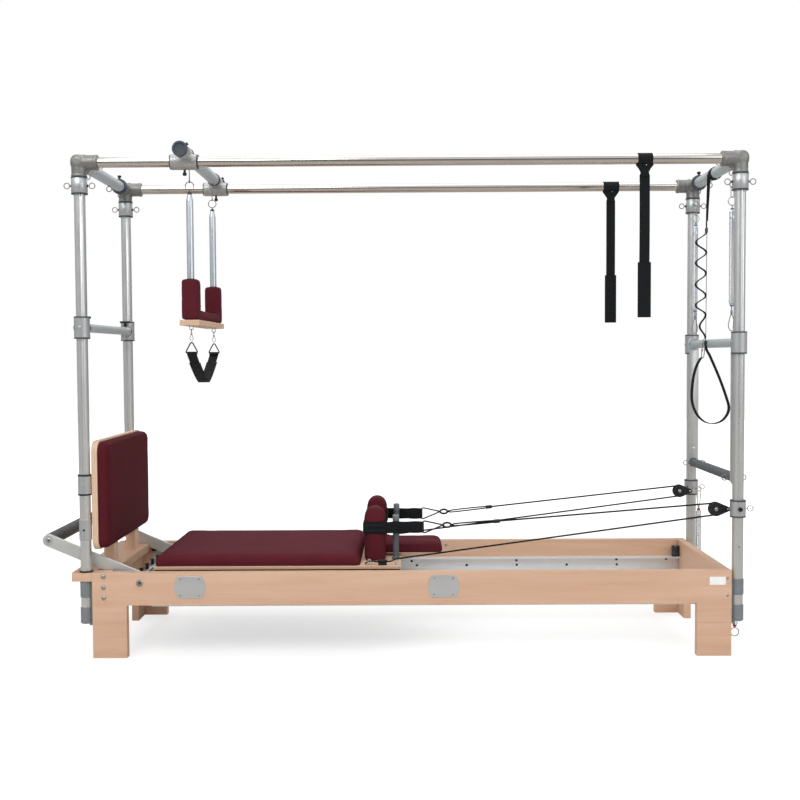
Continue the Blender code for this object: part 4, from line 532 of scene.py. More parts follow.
def noise(tree, vector, scale, detail=2.0, roughness=0.5, distortion=0.0):
    """Soft random cloud over a vector."""
    inputs = {"Vector": vector, "Scale": scale, "Detail": detail, "Roughness": roughness,
              "Distortion": distortion}
    return put(tree, "TexNoise", inputs).outputs["Fac"]


def stretched(tree, vector, scale):
    """A vector scaled along each axis."""
    return put(tree, "Mapping", {"Vector": vector, "Scale": scale}, vector_type="POINT").outputs[0]


def group(name, outputs, fill):
    """A node group with a Vector input and the named number outputs; fill(tree, vector) returns their
    sockets."""
    tree = bpy.data.node_groups.new(name, "ShaderNodeTree")
    tree.interface.new_socket("Vector", in_out="INPUT", socket_type="NodeSocketVector")
    for output in outputs:
        tree.interface.new_socket(output, in_out="OUTPUT", socket_type="NodeSocketFloat")
    entry = tree.nodes.new("NodeGroupInput")
    leave = tree.nodes.new("NodeGroupOutput")
    for output, socket in zip(outputs, fill(tree, entry.outputs[0])):
        tree.links.new(socket, leave.inputs[output])
    return tree


def wood_grain(tree, vector):
    """Grain along X. Bands: noise stretched 12 to 1. Lines: finer noise stretched 60 to 1. Flecks: short
    dashes where a noise stretched 14 to 1 passes a threshold."""
    bands = noise(tree, stretched(tree, vector, (1.6, 19, 19)), 1.0, 3, 0.55, 0.6)
    lines = noise(tree, stretched(tree, vector, (7, 420, 420)), 1.0, 2, 0.6)
    dashes = span_of(tree, noise(tree, stretched(tree, vector, (95, 1300, 1300)), 1.0, 1, 0.4), 0.66, 0.74)
    tone = maths(tree, "ADD", maths(tree, "MULTIPLY", bands, 0.7), maths(tree, "MULTIPLY", lines, 0.3))
    height = maths(tree, "SUBTRACT", lines, maths(tree, "MULTIPLY", dashes, 0.8))
    return span_of(tree, tone, 0.3, 0.7), dashes, height


def ply_layers(tree, vector):
    """Veneers across Z: a sine of the height, bent a little by noise, so that light and dark plies
    alternate."""
    height = put(tree, "SeparateXYZ", {0: vector}).outputs[2]
    bend = maths(tree, "MULTIPLY", noise(tree, vector, 25.0), 0.0006)
    wave = maths(tree, "SINE", maths(tree, "MULTIPLY", maths(tree, "ADD", height, bend), 2 * pi / 0.0044))
    fibres = noise(tree, stretched(tree, vector, (160, 160, 900)), 1.0, 2, 0.6)
    return span_of(tree, wave, -0.7, 0.7), fibres


def vinyl_grain(tree, vector):
    """Leather-like cells 1.3 mm across, from the distance to a Voronoi edge, and long soft creases."""
    cells = put(tree, "TexVoronoi", {"Vector": vector, "Scale": 760.0},
                feature="DISTANCE_TO_EDGE").outputs["Distance"]
    edge = span_of(tree, cells, 0.0, 0.16)
    clouds = noise(tree, vector, 9.0, 3, 0.6)
    return edge, clouds, noise(tree, vector, 60.0, 2, 0.5)


def brushing(tree, vector):
    """Draw marks along Z: noise stretched 300 to 1, and soft handling smudges."""
    streaks = noise(tree, stretched(tree, vector, (1500, 1500, 5)), 1.0, 2, 0.6)
    return streaks, noise(tree, vector, 14.0, 3, 0.6)


def casting(tree, vector):
    """Sand-cast skin: a fine noise, a coarser one and dark pits."""
    fine = noise(tree, vector, 900.0, 2, 0.6)
    coarse = noise(tree, vector, 60.0, 3, 0.6)
    pits = span_of(tree, noise(tree, vector, 420.0, 1), 0.68, 0.76)
    return fine, coarse, pits


def weaving(tree, vector):
    """Twill webbing from its own run: the vector holds length, place across and height. Ribs cross the width
    every 1.7 mm, set over by half a rib at each 3 mm wide lengthwise row."""
    parts = put(tree, "SeparateXYZ", {0: vector})
    along, across = parts.outputs[0], parts.outputs[1]
    row = maths(tree, "MULTIPLY", across, 2 * pi / 0.003)
    lift = maths(tree, "MULTIPLY", maths(tree, "SINE", row), 0.9)
    ribs = maths(tree, "SINE", maths(tree, "ADD", maths(tree, "MULTIPLY", along, 2 * pi / 0.0017), lift))
    furrow = maths(tree, "ABSOLUTE", maths(tree, "SINE", maths(tree, "MULTIPLY", row, 0.5)))
    return maths(tree, "MULTIPLY", span_of(tree, ribs, -1, 1),
                 span_of(tree, furrow, 0.0, 0.6, 0.3, 1.0)), furrow


GROUPS = {
    "wood": group("Wood grain", ("Tone", "Fleck", "Height"), wood_grain),
    "ply": group("Ply layers", ("Ply", "Fibre"), ply_layers),
    "vinyl": group("Vinyl grain", ("Cell", "Cloud", "Crease"), vinyl_grain),
    "brushed": group("Brushing", ("Streak", "Smudge"), brushing),
    "cast": group("Casting", ("Fine", "Coarse", "Pit"), casting),
    "weave": group("Weaving", ("Rib", "Furrow"), weaving),
}


class Look:
    """One material being made: its shader, its surface place and the groups it asks for."""

    def __init__(self, name, **numbers):
        self.material = bpy.data.materials.new(name)
        self.material.use_nodes = True
        self.tree = self.material.node_tree
        self.shader = self.tree.nodes["Principled BSDF"]
        for socket, value in numbers.items():
            self.shader.inputs[socket.replace("_", " ")].default_value = value
        self.place = put(self.tree, "TexCoord").outputs["Object"]

    def turned(self, order):
        """The place with its axes dealt out anew, so that a group's X or Z runs the way the piece needs."""
        parts = put(self.tree, "SeparateXYZ", {0: self.place}).outputs
        dealt = {k: parts["XYZ".index(axis)] for k, axis in enumerate(order)}
        return put(self.tree, "CombineXYZ", dealt).outputs[0]

    def use(self, name, vector=None):
        made = self.tree.nodes.new("ShaderNodeGroup")
        made.node_tree = GROUPS[name]
        self.tree.links.new(vector or self.place, made.inputs[0])
        return made.outputs

    def mix(self, amount, first, second):
        """Colours given as text or sockets, mixed by an amount."""
        made = put(self.tree, "Mix", {0: amount}, data_type="RGBA")
        for index, colour in ((6, first), (7, second)):
            if isinstance(colour, str):
                made.inputs[index].default_value = tint(colour)
            else:
                self.tree.links.new(colour, made.inputs[index])
        return made.outputs[2]

    def set(self, socket, value):
        self.tree.links.new(value, self.shader.inputs[socket])

    def bump(self, height, distance, strength=1.0):
        inputs = {"Height": height, "Distance": distance, "Strength": strength}
        self.set("Normal", put(self.tree, "Bump", inputs).outputs[0])

    def range(self, value, low, high, new_low=0.0, new_high=1.0):
        return span_of(self.tree, value, low, high, new_low, new_high)


def wood_look(name, order, light="d9b69c", dark="c59a7b", fleck="a27455"):
    """Lacquered wood, its grain along the axis that order puts first."""
    look = Look(name, Coat_Weight=0.25, Coat_Roughness=0.25)
    grain = look.use("wood", look.turned(order))
    body = look.mix(look.range(grain["Tone"], 0, 1, 0.1, 0.9), dark, light)
    look.set("Base Color", look.mix(look.range(grain["Fleck"], 0, 1, 0, 0.55), body, fleck))
    look.set("Roughness", look.range(grain["Height"], 0, 1, 0.46, 0.33))
    look.bump(grain["Height"], 0.00025, 0.5)
    return look.material


def ply_look(name, order, light="e4c8ae", dark="c29a7c"):
    """Cut edge of plywood: the group's Z runs through the thickness."""
    look = Look(name)
    ply = look.use("ply", look.turned(order))
    body = look.mix(ply["Ply"], dark, light)
    look.set("Base Color", look.mix(look.range(ply["Fibre"], 0.35, 0.7, 0, 0.35), body, "b98f69"))
    look.set("Roughness", look.range(ply["Fibre"], 0, 1, 0.55, 0.4))
    look.bump(ply["Fibre"], 0.0003, 0.4)
    return look.material


def vinyl_look(name, colour, deep, roughness=0.42):
    """Matt upholstery vinyl with a fine grain."""
    look = Look(name, Specular_IOR_Level=0.04)
    grain = look.use("vinyl")
    body = look.mix(look.range(grain["Cloud"], 0.3, 0.7, 0, 0.45), colour, deep)
    look.set("Base Color", look.mix(look.range(grain["Cell"], 0, 1, 0.35, 0), body, deep))
    look.set("Roughness", look.range(grain["Cell"], 0, 1, roughness + 0.16, roughness))
    cells = maths(look.tree, "MULTIPLY", grain["Cell"], 0.35)
    look.bump(maths(look.tree, "ADD", cells, grain["Crease"]), 0.0006, 0.45)
    return look.material


def metal_look(name, colour, dark, roughness, order="XYZ", metallic=1.0, bump=0.00004):
    """Metal with fine drawn lines."""
    look = Look(name, Metallic=metallic)
    marks = look.use("brushed", look.turned(order))
    streak = look.range(marks["Streak"], 0.3, 0.7, 0, 0.35)
    body = look.mix(streak, colour, dark)
    look.set("Base Color", look.mix(look.range(marks["Smudge"], 0.5, 0.75, 0, 0.3), body, dark))
    look.set("Roughness", look.range(marks["Smudge"], 0.3, 0.7, roughness - 0.04, roughness + 0.08))
    look.bump(marks["Streak"], bump, 0.5)
    return look.material


def cast_look(name, colour, dark, roughness=0.5, metallic=0.85, bump=0.00035):
    """Painted or rough cast metal."""
    look = Look(name, Metallic=metallic)
    skin_ = look.use("cast")
    body = look.mix(look.range(skin_["Coarse"], 0.35, 0.65, 0, 0.5), colour, dark)
    look.set("Base Color", look.mix(skin_["Pit"], body, dark))
    look.set("Roughness", look.range(skin_["Fine"], 0.3, 0.7, roughness - 0.08, roughness + 0.12))
    pit = maths(look.tree, "MULTIPLY", skin_["Pit"], -0.6)
    look.bump(maths(look.tree, "ADD", skin_["Fine"], pit), bump, 0.5)
    return look.material


def plain_look(name, colour, dark, roughness=0.45, bump=0.0002):
    """Moulded or painted: an orange-peel skin and a little dust in its hollows."""
    look = Look(name, Specular_IOR_Level=0.4)
    skin_ = look.use("cast")
    look.set("Base Color", look.mix(look.range(skin_["Coarse"], 0.4, 0.7, 0, 0.6), colour, dark))
    look.set("Roughness", look.range(skin_["Coarse"], 0.3, 0.7, roughness - 0.06, roughness + 0.1))
    look.bump(skin_["Fine"], bump, 0.35)
    return look.material


def woven_look(name, colour, light):
    """Webbing, woven along its own run."""
    look = Look(name, Specular_IOR_Level=0.18, Sheen_Weight=0.04, Sheen_Roughness=0.5)
    run = put(look.tree, "Attribute", attribute_name="run").outputs["Vector"]
    weave = look.use("weave", run)
    look.set("Base Color", look.mix(look.range(weave["Rib"], 0, 1, 0, 0.8), colour, light))
    look.set("Roughness", look.range(weave["Rib"], 0, 1, 0.87, 0.75))
    look.bump(weave["Rib"], 0.0005, 0.7)
    return look.material


BEECH = wood_look("Beech, grain along the frame", "XYZ")
BEECH_ACROSS = wood_look("Beech, grain across the frame", "YXZ")
BEECH_UPRIGHT = wood_look("Beech, upright grain", "ZYX", "dfc0a6", "cda381")
BIRCH_ACROSS = wood_look("Birch face veneer", "YXZ", "e2c3a9", "d3ac8c", "bb906e")
BOARD = wood_look("Trapeze board veneer", "YXZ", "cfaa92", "bd967c", "a27455")
PLY = ply_look("Plywood edge", "XYZ")
PLY_UPRIGHT = ply_look("Upright plywood edge", "ZYX", "e9ceb6", "cca688")
VINYL = vinyl_look("Maroon vinyl", "5b222b", "4c1b24", 0.52)
VINYL_DARK = vinyl_look("Maroon vinyl, jumpboard", "551e25", "48181f", 0.6)
SEAM = plain_look("Seam thread", "2d1318", "220d12", 0.7)
POST_METAL = metal_look("Anodised aluminium post", "e0e3e3", "cdd1d2", 0.34, metallic=0.85)
ACROSS_METAL = metal_look("Anodised aluminium across the frame", "c3c9cc", "a9b1b4", 0.38, "XZY")
ARM_METAL = metal_look("Satin footbar arm", "d4d6d5", "c6c9c8", 0.44, "XZY", 0.6, 0.00001)
TRACK_METAL = metal_look("White anodised track", "eef1f2", "d8dcde", 0.42, "ZYX", 0.55)
STAINLESS = metal_look("Polished stainless", "dcd8d3", "c8c2bb", 0.12, "ZYX", bump=0.0000005)
CAST = cast_look("Cast fitting", "90908e", "82817f", 0.46, 0.7, 0.00012)
CAST_LIGHT = cast_look("Light cast sleeve", "b9b9b8", "a9a9a7", 0.46, 0.7, 0.00012)
BRIGHT = metal_look("Bright collar", "c9cdcf", "bcc1c3", 0.4, metallic=0.8, bump=0.00001)
PAINT = plain_look("Grey paint", "a3aaac", "949b9e", 0.42, 0.0001)
PAINT_DARK = plain_look("Dark grey sleeve", "787e81", "6b7174", 0.5, 0.0002)
STRAP_METAL = plain_look("Grey bracket", "6f7578", "64696c", 0.45)
CAP = plain_look("Blue-grey moulding", "454b54", "3a4048", 0.42)
BLACK = plain_look("Black moulding", "1c1e21", "141518", 0.4)
RUBBER = plain_look("Dark rubber", "303336", "26282a", 0.62, 0.0004)
GRIP = plain_look("Dark grip", "565c60", "474c50", 0.6, 0.0004)
CASE = metal_look("Black coated steel", "2a2d30", "1d1f21", 0.36, metallic=0.5)
ZINC = metal_look("Bright zinc", "c9c7c3", "aeaba6", 0.24)
SPRING = metal_look("Bright spring wire", "e8edf2", "c9d2da", 0.2)
HOOK_METAL = metal_look("Dull steel hook", "9a9894", "7f7d79", 0.34, metallic=0.75)
SPRING_DARK = metal_look("Blued spring hook", "3a4048", "2b3036", 0.32)
PLATE = metal_look("Silver plate", "d5d8da", "c6cacc", 0.36, "ZYX", 0.7)
RED = plain_look("Red dip", "a8323a", "8c272e", 0.4)
BLUE = plain_look("Blue dip", "3f62a8", "33508c", 0.4)
WHITE = plain_look("Blank white plate", "f0f0ee", "e4e4e2", 0.4)
HOLE = plain_look("Dark hole", "26282a", "1c1d1f", 0.7)
WEBBING = woven_look("Black webbing", "0e1012", "1e2124")
ROPE = woven_look("Black braid", "0e1012", "202327")
SEAM_BLACK = plain_look("Black thread", "23262a", "191b1e", 0.7)
TUBE_METAL = metal_look("Blue-white plated tube", "dbe3ea", "c6d0d9", 0.3, metallic=0.85)


def remeshed(name, shapes, voxel, passes):
    """A passing object that holds the shapes as one voxel skin, smoothed a number of times."""
    points, faces, base = np.vstack([shape[0] for shape in shapes]), [], 0
    for shape in shapes:
        faces += [list(map(int, face + base)) for group_ in shape[1] for face in group_]
        base += len(shape[0])
    mesh = bpy.data.meshes.new(name)
    mesh.from_pydata(points.tolist(), [], faces)
    obj = bpy.data.objects.new(name, mesh)
    bpy.context.scene.collection.objects.link(obj)
    remesh = obj.modifiers.new("Skin", "REMESH")
    remesh.mode = "VOXEL"
    remesh.voxel_size = voxel
    soften = obj.modifiers.new("Fillets", "SMOOTH")
    soften.iterations = passes
    return obj


def as_modified(obj):
    """An object as its modifiers make it."""
    return obj.evaluated_get(bpy.context.evaluated_depsgraph_get())


def mesh_points(mesh):
    """A mesh's points as an array."""
    points = np.empty(len(mesh.vertices) * 3, np.float32)
    mesh.vertices.foreach_get("co", points)
    return points.reshape(-1, 3).astype(float)


def mesh_faces(mesh):
    """A mesh's faces as arrays of point numbers, one array for each number of corners."""
    corners = np.empty(len(mesh.loops), np.int32)
    mesh.loops.foreach_get("vertex_index", corners)
    sizes = np.array([polygon.loop_total for polygon in mesh.polygons])
    first = np.cumsum(sizes) - sizes
    return [corners[first[sizes == size][:, None] + np.arange(size)] for size in np.unique(sizes)]


def fused(shapes, voxel, passes):
    """One skin round overlapping shapes: a voxel remesh, then smoothing that fillets the inner corners."""
    obj = remeshed("Fusing", shapes, voxel, passes)
    made = as_modified(obj).to_mesh()
    shape = mesh_points(made), mesh_faces(made)
    bpy.data.objects.remove(obj)
    return shape


# The tower

def post_column(x, y, turn):
    """Extruded post: r = R - 1.3 mm * (1 - (t / 7)^2) within 7 degrees of each of four flutes."""
    angle = np.linspace(0, 360, 96, endpoint=False)
    flute = (angle - turn + 45) % 90 - 45
    depth = 0.0013 * np.clip(1 - (flute / 7) ** 2, 0, 1)
    loops = []
    for z, inset in ((POST_FOOT, 0.0008), (POST_FOOT + 0.0008, 0), (POST_TOP - 0.0008, 0),
                     (POST_TOP, 0.0008)):
        r = POST_RADIUS - depth - inset
        loops.append(np.stack([x + r * np.cos(np.radians(angle)), y + r * np.sin(np.radians(angle)),
                               np.full(96, z)], -1))
    return skin(loops)


def collar(x, y, low, high, radius=COLLAR_RADIUS, ring=0.0045, out=0.001):
    """A bright sleeve between two thin dark rings that stand a little proud."""
    inner = POST_RADIUS + 0.0002
    bright = pipe(low + ring, high - ring, inner, radius, start=(x, y, 0))
    rings = [pipe(a, a + ring, inner, radius + out, 0.0012, start=(x, y, 0)) for a in (low, high - ring)]
    return bright, rings


def posts():
    """The four posts: two sleeves and a bracket low down, then a bushing, a sleeve and a collar with its
    lever at the foot end, and a row of holes at the head end."""
    for end_name, end in ENDS:
        for side, sign in SIDES:
            x, y = end * POST_X, sign * POST_Y
            sleeves = [pipe(z, z + SLEEVE_HEIGHT, POST_RADIUS, SLEEVE_RADIUS, 0.0015, start=(x, y, 0))
                       for z in SLEEVE_FEET]
            sleeves += [pipe(z + h, z + h + 0.0022, POST_RADIUS, SLEEVE_RADIUS + 0.0004, start=(x, y, 0))
                        for z in SLEEVE_FEET for h in (0.004, 0.0545)]
            inner = end * (HALF_LENGTH + 0.0003)
            outer = end * (POST_X - POST_RADIUS * 0.6)
            strap = block((min(inner, outer), y - 0.013, 0.125), (max(inner, outer), y + 0.013, 0.294),
                          0.0012)
            screws = [dome((outer - end * 0.0005, y + dy, z), (end, 0, 0), 0.003, 0.0012)
                      for z in (0.205, 0.222) for dy in (-0.0075, 0.0075)]
            parts = [(post_column(x, y, 20), POST_METAL), (sleeves, PAINT_DARK), (strap, STRAP_METAL),
                     (screws, ZINC)]
            cap = lathe([(0, POST_FOOT), (0.0195, POST_FOOT), (0.0195, POST_FOOT + 0.002),
                         (0, POST_FOOT + 0.002)], (x, y, -0.0002))
            parts.append((cap, BLACK))
            if end < 0:
                bushing = pipe(0.3295, 0.335, POST_RADIUS, 0.0262, 0.0012, start=(x, y, 0))
                bright, rings = collar(x, y, 0.625, 0.705, 0.0252, 0.006, 0.0008)
                sleeve = pipe(0.453, 0.533, POST_RADIUS, SLEEVE_RADIUS, 0.0016, start=(x, y, 0))
                pins = [dome((x + 0.0233 * cos(a), y + 0.0233 * sin(a), 0.493), (cos(a), sin(a), 0), 0.0042,
                             0.0006) for a in (-pi / 2, pi / 2)]
                lever = bar((x, y + sign * 0.02, 0.665), (x, y + sign * 0.0258, 0.665), 0.0085, 0.001, 24)
                parts += [([bushing, *rings], BLACK), ([bright, lever], BRIGHT), (sleeve, BRIGHT),
                          (pins, HOLE)]
            else:
                holes = [dome((x + 0.0209 * cos(a), y + 0.0209 * sin(a), 0.417), (cos(a), sin(a), 0), 0.0026,
                              0.0003) for a in (-pi / 2, pi / 2)]
                across = np.radians(-90 - 16)
                dots = [dome((x + 0.0209 * cos(across), y + 0.0209 * sin(across), 1.168 - 0.0254 * k),
                             (cos(across), sin(across), 0), 0.001, 0.0003) for k in range(24)]
                parts += [(holes + dots, HOLE)]
            piece(f"{end_name}_{side}_tower_post", parts, f"{end_name}_{side}_post")


def corner_fittings():
    """A cast three-way elbow: a rounded upright and two arms with raised lips, fused with cast fillets."""
    top = TOP_RAIL_HEIGHT + FITTING_RADIUS
    r, c = FITTING_RADIUS, 0.019
    bend = np.radians(np.linspace(0, 90, 8))
    crown = [(r - c + c * cos(a), top - c + c * sin(a)) for a in bend]
    upright = [(0, COLLAR_TOP), (r - 0.001, COLLAR_TOP), (r + 0.0004, COLLAR_TOP + 0.0015),
               (r + 0.0004, COLLAR_TOP + 0.006), (r - 0.0012, COLLAR_TOP + 0.009), *crown, (0, top)]
    butt = [(r - c + c * cos(a), -(r - c) - c * sin(a)) for a in bend[::-1]]
    arm = [(0, -r), *butt, (r - 0.0012, 0.03), (r - 0.0012, FITTING_ARM - 0.012),
           (r + 0.0002, FITTING_ARM - 0.009), (r + 0.0002, FITTING_ARM - 0.0015), (r - 0.0012, FITTING_ARM),
           (0, FITTING_ARM)]
    for end_name, end in ENDS:
        for side, sign in SIDES:
            x, y = end * POST_X, sign * POST_Y
            hub = (x, y, TOP_RAIL_HEIGHT)
            shapes = [lathe(upright, (x, y, 0)), lathe(arm, hub, (-end, 0, 0)),
                      lathe(arm, hub, (0, -sign, 0))]
            body = fused(shapes, 0.0016, 5)
            middle = COLLAR_TOP - COLLAR_HEIGHT / 2
            bright, rings = collar(x, y, COLLAR_TOP - COLLAR_HEIGHT, COLLAR_TOP - 0.0004)
            eyes, stems = [], []
            for reach in (-1, 1):
                eyes += eye((x + reach * 0.048, y, middle), ACROSS, (x + reach * 0.03, y, middle))
                stems.append(bar((x + reach * 0.0285, y, middle), (x + reach * 0.0335, y, middle), 0.0055,
                                 0.0008, 6))
            if end > 0:
                where = (1.241, sign * ARM_SPRING_Y, middle)
                eyes += eye(where, ACROSS, (POST_X - 0.002, sign * (POST_Y - 0.029), middle))
                eyes.append(wire([(1.2415, sign * 0.2725, middle), (POST_X, sign * 0.3, middle),
                                  (POST_X, sign * 0.308, middle)], 0.005))
            stub = dome((x - end * 0.0185, y, top - 0.0022), UP, 0.0068, 0.004)
            parts = [(body, CAST), (bright, BRIGHT), (rings, CAP), (eyes, HOOK_METAL), (stems, CASE),
                     (stub, CAST)]
            piece(f"{end_name}_{side}_elbow", parts, f"{end_name}_{side}_corner_fitting", sharp=55)


def thumb_screw(base, axis, length=0.018, radius=0.0078):
    """A moulded thumb screw: a waisted stem under a lobed head."""
    base, axis = np.array(base, float), np.array(axis, float)
    stem = lathe([(0, -0.003), (0.0045, -0.003), (0.0045, length * 0.45), (0.006, length * 0.55),
                  (0, length * 0.55)], base, axis, 20)
    head = lathe([(0, length * 0.5), (radius - 0.001, length * 0.5), (radius, length * 0.56),
                  (radius, length - 0.0015), (radius - 0.0015, length), (0, length)], base, axis, 24)
    points, faces = head
    off = points - base
    along = off @ axis
    radial = off - along[:, None] * axis
    side = np.cross(axis, UP if abs(axis[2]) < 0.9 else ALONG)
    turn = np.arctan2(radial @ np.cross(axis, side), radial @ side)
    points = base + along[:, None] * axis + radial * (1 + 0.06 * np.cos(8 * turn))[:, None]
    return [stem, (points, faces)]


def top_rails():
    """The two polished tubes along the top."""
    for side, sign in SIDES:
        y = sign * POST_Y
        tube = bar((-TOP_RAIL_END, y, TOP_RAIL_HEIGHT), (TOP_RAIL_END, y, TOP_RAIL_HEIGHT), TOP_RAIL_RADIUS,
                   steps=48)
        piece(f"{side}_polished_rail", [(tube, STAINLESS)], f"{side}_top_rail")


def cross_tubes():
    """The tube across the top at each end."""
    for end_name, end in ENDS:
        x, z = end * POST_X, TOP_RAIL_HEIGHT
        half = POST_Y - 0.0105
        tube = bar((x, -half, z), (x, half, z), CROSS_RADIUS, steps=48)
        y = POST_Y - FITTING_ARM - 0.024
        stop = pipe(y - 0.011, y + 0.011, CROSS_RADIUS, CROSS_RADIUS + 0.0105, 0.003, start=(x, 0, z),
                    axis=ACROSS)
        screw = thumb_screw((x, y, z + CROSS_RADIUS + 0.007), UP, 0.018)
        rings = []
        for place, face in ((-0.23, -1), (-0.05, 1), (0.073, -1), (0.25, -1)):
            rings += eye((x, place, z + face * (CROSS_RADIUS + 0.0135)), ACROSS,
                         (x, place, z + face * CROSS_RADIUS))
        parts = [(tube, PAINT), (stop, CAP), (screw, BLACK), (rings, HOOK_METAL)]
        piece(f"{end_name}_upper_cross_tube", parts, f"{end_name}_top_cross_tube")


def foot_bar():
    """The height-adjustable bar: clamps, flared cones, T-handles, a pin row and two eyes below."""
    x, z = -POST_X, FOOT_BAR_Z
    radius = FOOT_BAR_RADIUS
    parts = [(bar((x, -BAR_END, z), (x, BAR_END, z), radius, steps=40), PAINT)]
    for _, sign in SIDES:
        y = sign * POST_Y
        bright, rings = collar(x, y, z - CLAMP_HALF, z + CLAMP_HALF, CLAMP_RADIUS, 0.005, 0.0008)
        inner = POST_Y - 0.03
        mouth = lathe([(0.0166, -0.01), (0.0235, -0.01), (0.025, -0.008), (0.025, 0.0005), (0.0166, 0.0005)],
                      (x, sign * inner, z), (0, -sign, 0), 40)
        cone = lathe([(0.0166, 0.0005), (0.0242, 0.0005), (0.0236, 0.004), (0.0206, 0.014), (0.0186, 0.025),
                      (0.0178, 0.035), (0.0166, 0.036)], (x, sign * inner, z), (0, -sign, 0), 40)
        handle_y = sign * (inner - 0.012)
        handle = [bar((x, handle_y, z + 0.01), (x, handle_y, z + 0.04), 0.0045, steps=20),
                  capped([(3.6, 0), (4.5, 1.5), (4.2, 22), (4.5, 42.5), (3.6, 44)],
                         (x - 0.022, handle_y, z + 0.04), ALONG, 20),
                  capped([(7, 0), (7, 10), (6, 12)], (x, handle_y, z + 0.0215), UP, 20)]
        hang = sign * (inner - 0.06)
        rings_ = eye((x, hang, z - radius - 0.014), ALONG, (x, hang, z - radius))
        pins = [dome((x - 0.0162, sign * (inner - d), z + 0.003), (-1, 0, 0), 0.0026, 0.0012)
                for d in (0.075, 0.105)]
        pins += [dome((x, sign * (inner - d), z + 0.0162), UP, 0.0026, 0.0012) for d in (0.075, 0.105)]
        boss = dome((x - 0.029, y, z), (-1, 0, 0), 0.0105, 0.0026)
        screws = dome((x, y + sign * 0.0287, z), (0, sign, 0), 0.0072, 0.0022)
        parts += [(bright, BRIGHT), ([*rings, mouth], CAP), (cone, BRIGHT), (handle, BLACK),
                  (rings_ + pins, ZINC), ([boss, screws], BRIGHT)]
    piece("foot_height_bar", parts, "foot_cross_bar")


def head_bar():
    """The fixed bar across the head posts, between its collars."""
    x, z = POST_X, HEAD_BAR_Z
    parts = [(bar((x, -BAR_END, z), (x, BAR_END, z), HEAD_BAR_RADIUS, steps=40), PAINT)]
    for _, sign in SIDES:
        y = sign * POST_Y
        bright, rings = collar(x, y, z - CLAMP_HALF, z + CLAMP_HALF, CLAMP_RADIUS, 0.005, 0.0008)
        boss = capped([(12.5, 0), (12.5, 3), (11.2, 4.5), (6, 4.5), (5.5, 3)],
                      (x, sign * (POST_Y - 0.029), z), (0, -sign, 0), 32)
        parts += [(bright, BRIGHT), (rings, CAP), (boss, PAINT)]
        pin = dome((x - 0.0288, y, z), (-1, 0, 0), 0.01, 0.0028)
        parts.append((pin, BRIGHT))
    piece("head_fixed_bar", parts, "head_cross_tube")


def push_through():
    """Two flat swinging arms on the head bar, the padded grip between them and four eyes."""
    x, grip = POST_X, HEAD_BAR_Z - GRIP_DROP
    half, boss, thickness = SWING_ARM_HALF, SWING_ARM_BOSS, SWING_ARM_THICK
    lean = degrees(asin(half / boss))
    outline = [*circle((x, HEAD_BAR_Z), boss, -90 + lean, 270 - lean, 24), (x - half, HEAD_BAR_Z - 0.05),
               (x - half, grip - half * 0.4), *circle((x, grip - half * 0.4), half, 180, 360, 14)[1:-1],
               (x + half, grip - half * 0.4), (x + half, HEAD_BAR_Z - 0.05)]
    metal, dark, eyes = [], [], []
    for _, sign in SIDES:
        y = sign * SWING_ARM_Y
        arm = slab(outline, y - thickness / 2, y + thickness / 2, "XZ", 0.0011)
        metal.append(arm)
        for face in (-1, 1):
            at = y + face * thickness / 2
            dark.append(lathe([(0.0178, 0), (0.0262, 0), (0.0262, 0.0014), (0.0255, 0.0022),
                               (0.0178, 0.0022)], (x, at, HEAD_BAR_Z), (0, face, 0), 40))
            metal += [capped([(6.2, 0), (6.2, 1.6), (3.5, 3)], (x, at, grip + 0.062), (0, face, 0), 24)]
        for reach in (-1, 1):
            inner = sign * 0.284
            eyes += eye((x + reach * 0.036, inner, grip), ACROSS, (x + reach * 0.0175, inner, grip))
    pad = capped([(17.2, 0), (18.5, 1.5), (18.5, 590.5), (17.2, 592)], (x, -0.296, grip), ACROSS, 40)
    ends = [capped([(19.6, 0), (19.6, 6), (18.6, 8)], (x, sign * 0.297, grip), (0, -sign, 0), 40)
            for sign in (-1, 1)]
    parts = [(metal, POST_METAL), (dark, PAINT), (pad, GRIP), (ends, BLACK), (eyes, HOOK_METAL)]
    piece("push_through_swing_bar", parts, "push_through_bar")


# The wooden frame

def bolt(x, y, z, sign, radius=0.0075):
    """A low dome head on a washer, facing out along Y."""
    washer = lathe([(0, -0.001), (radius * 1.25, -0.001), (radius * 1.25, 0.0008), (0, 0.0008)], (x, y, z),
                   (0, sign, 0), 24)
    return [washer, dome((x, y + sign * 0.0008, z), (0, sign, 0), radius, radius * 0.42)]


def badge_plate(x, z, y, sign):
    """A flat oblong with bulged ends: half width 46 mm + 13 mm * (1 - (v / 42.5 mm)^2), with four small
    screws."""
    v = np.linspace(-0.0425, 0.0425, 15)
    bulge = 0.046 + 0.013 * (1 - (v / 0.0425) ** 2)
    outline = np.vstack([np.stack([x + bulge, z + v], -1), np.stack([x - bulge, z + v], -1)[::-1]])
    outline = eased(outline, [0.006 if k in (0, 14, 15, 29) else 0 for k in range(30)], 4, closed=True)
    low, high = sorted((y, y + sign * 0.0022))
    plate = slab(outline, low, high, "XZ", 0.0007)
    screws = [dome((x + a * 0.036, y + sign * 0.0022, z + b * 0.031), (0, sign, 0), 0.0042, 0.0007)
              for a in (-1, 1) for b in (-1, 1)]
    return plate, screws


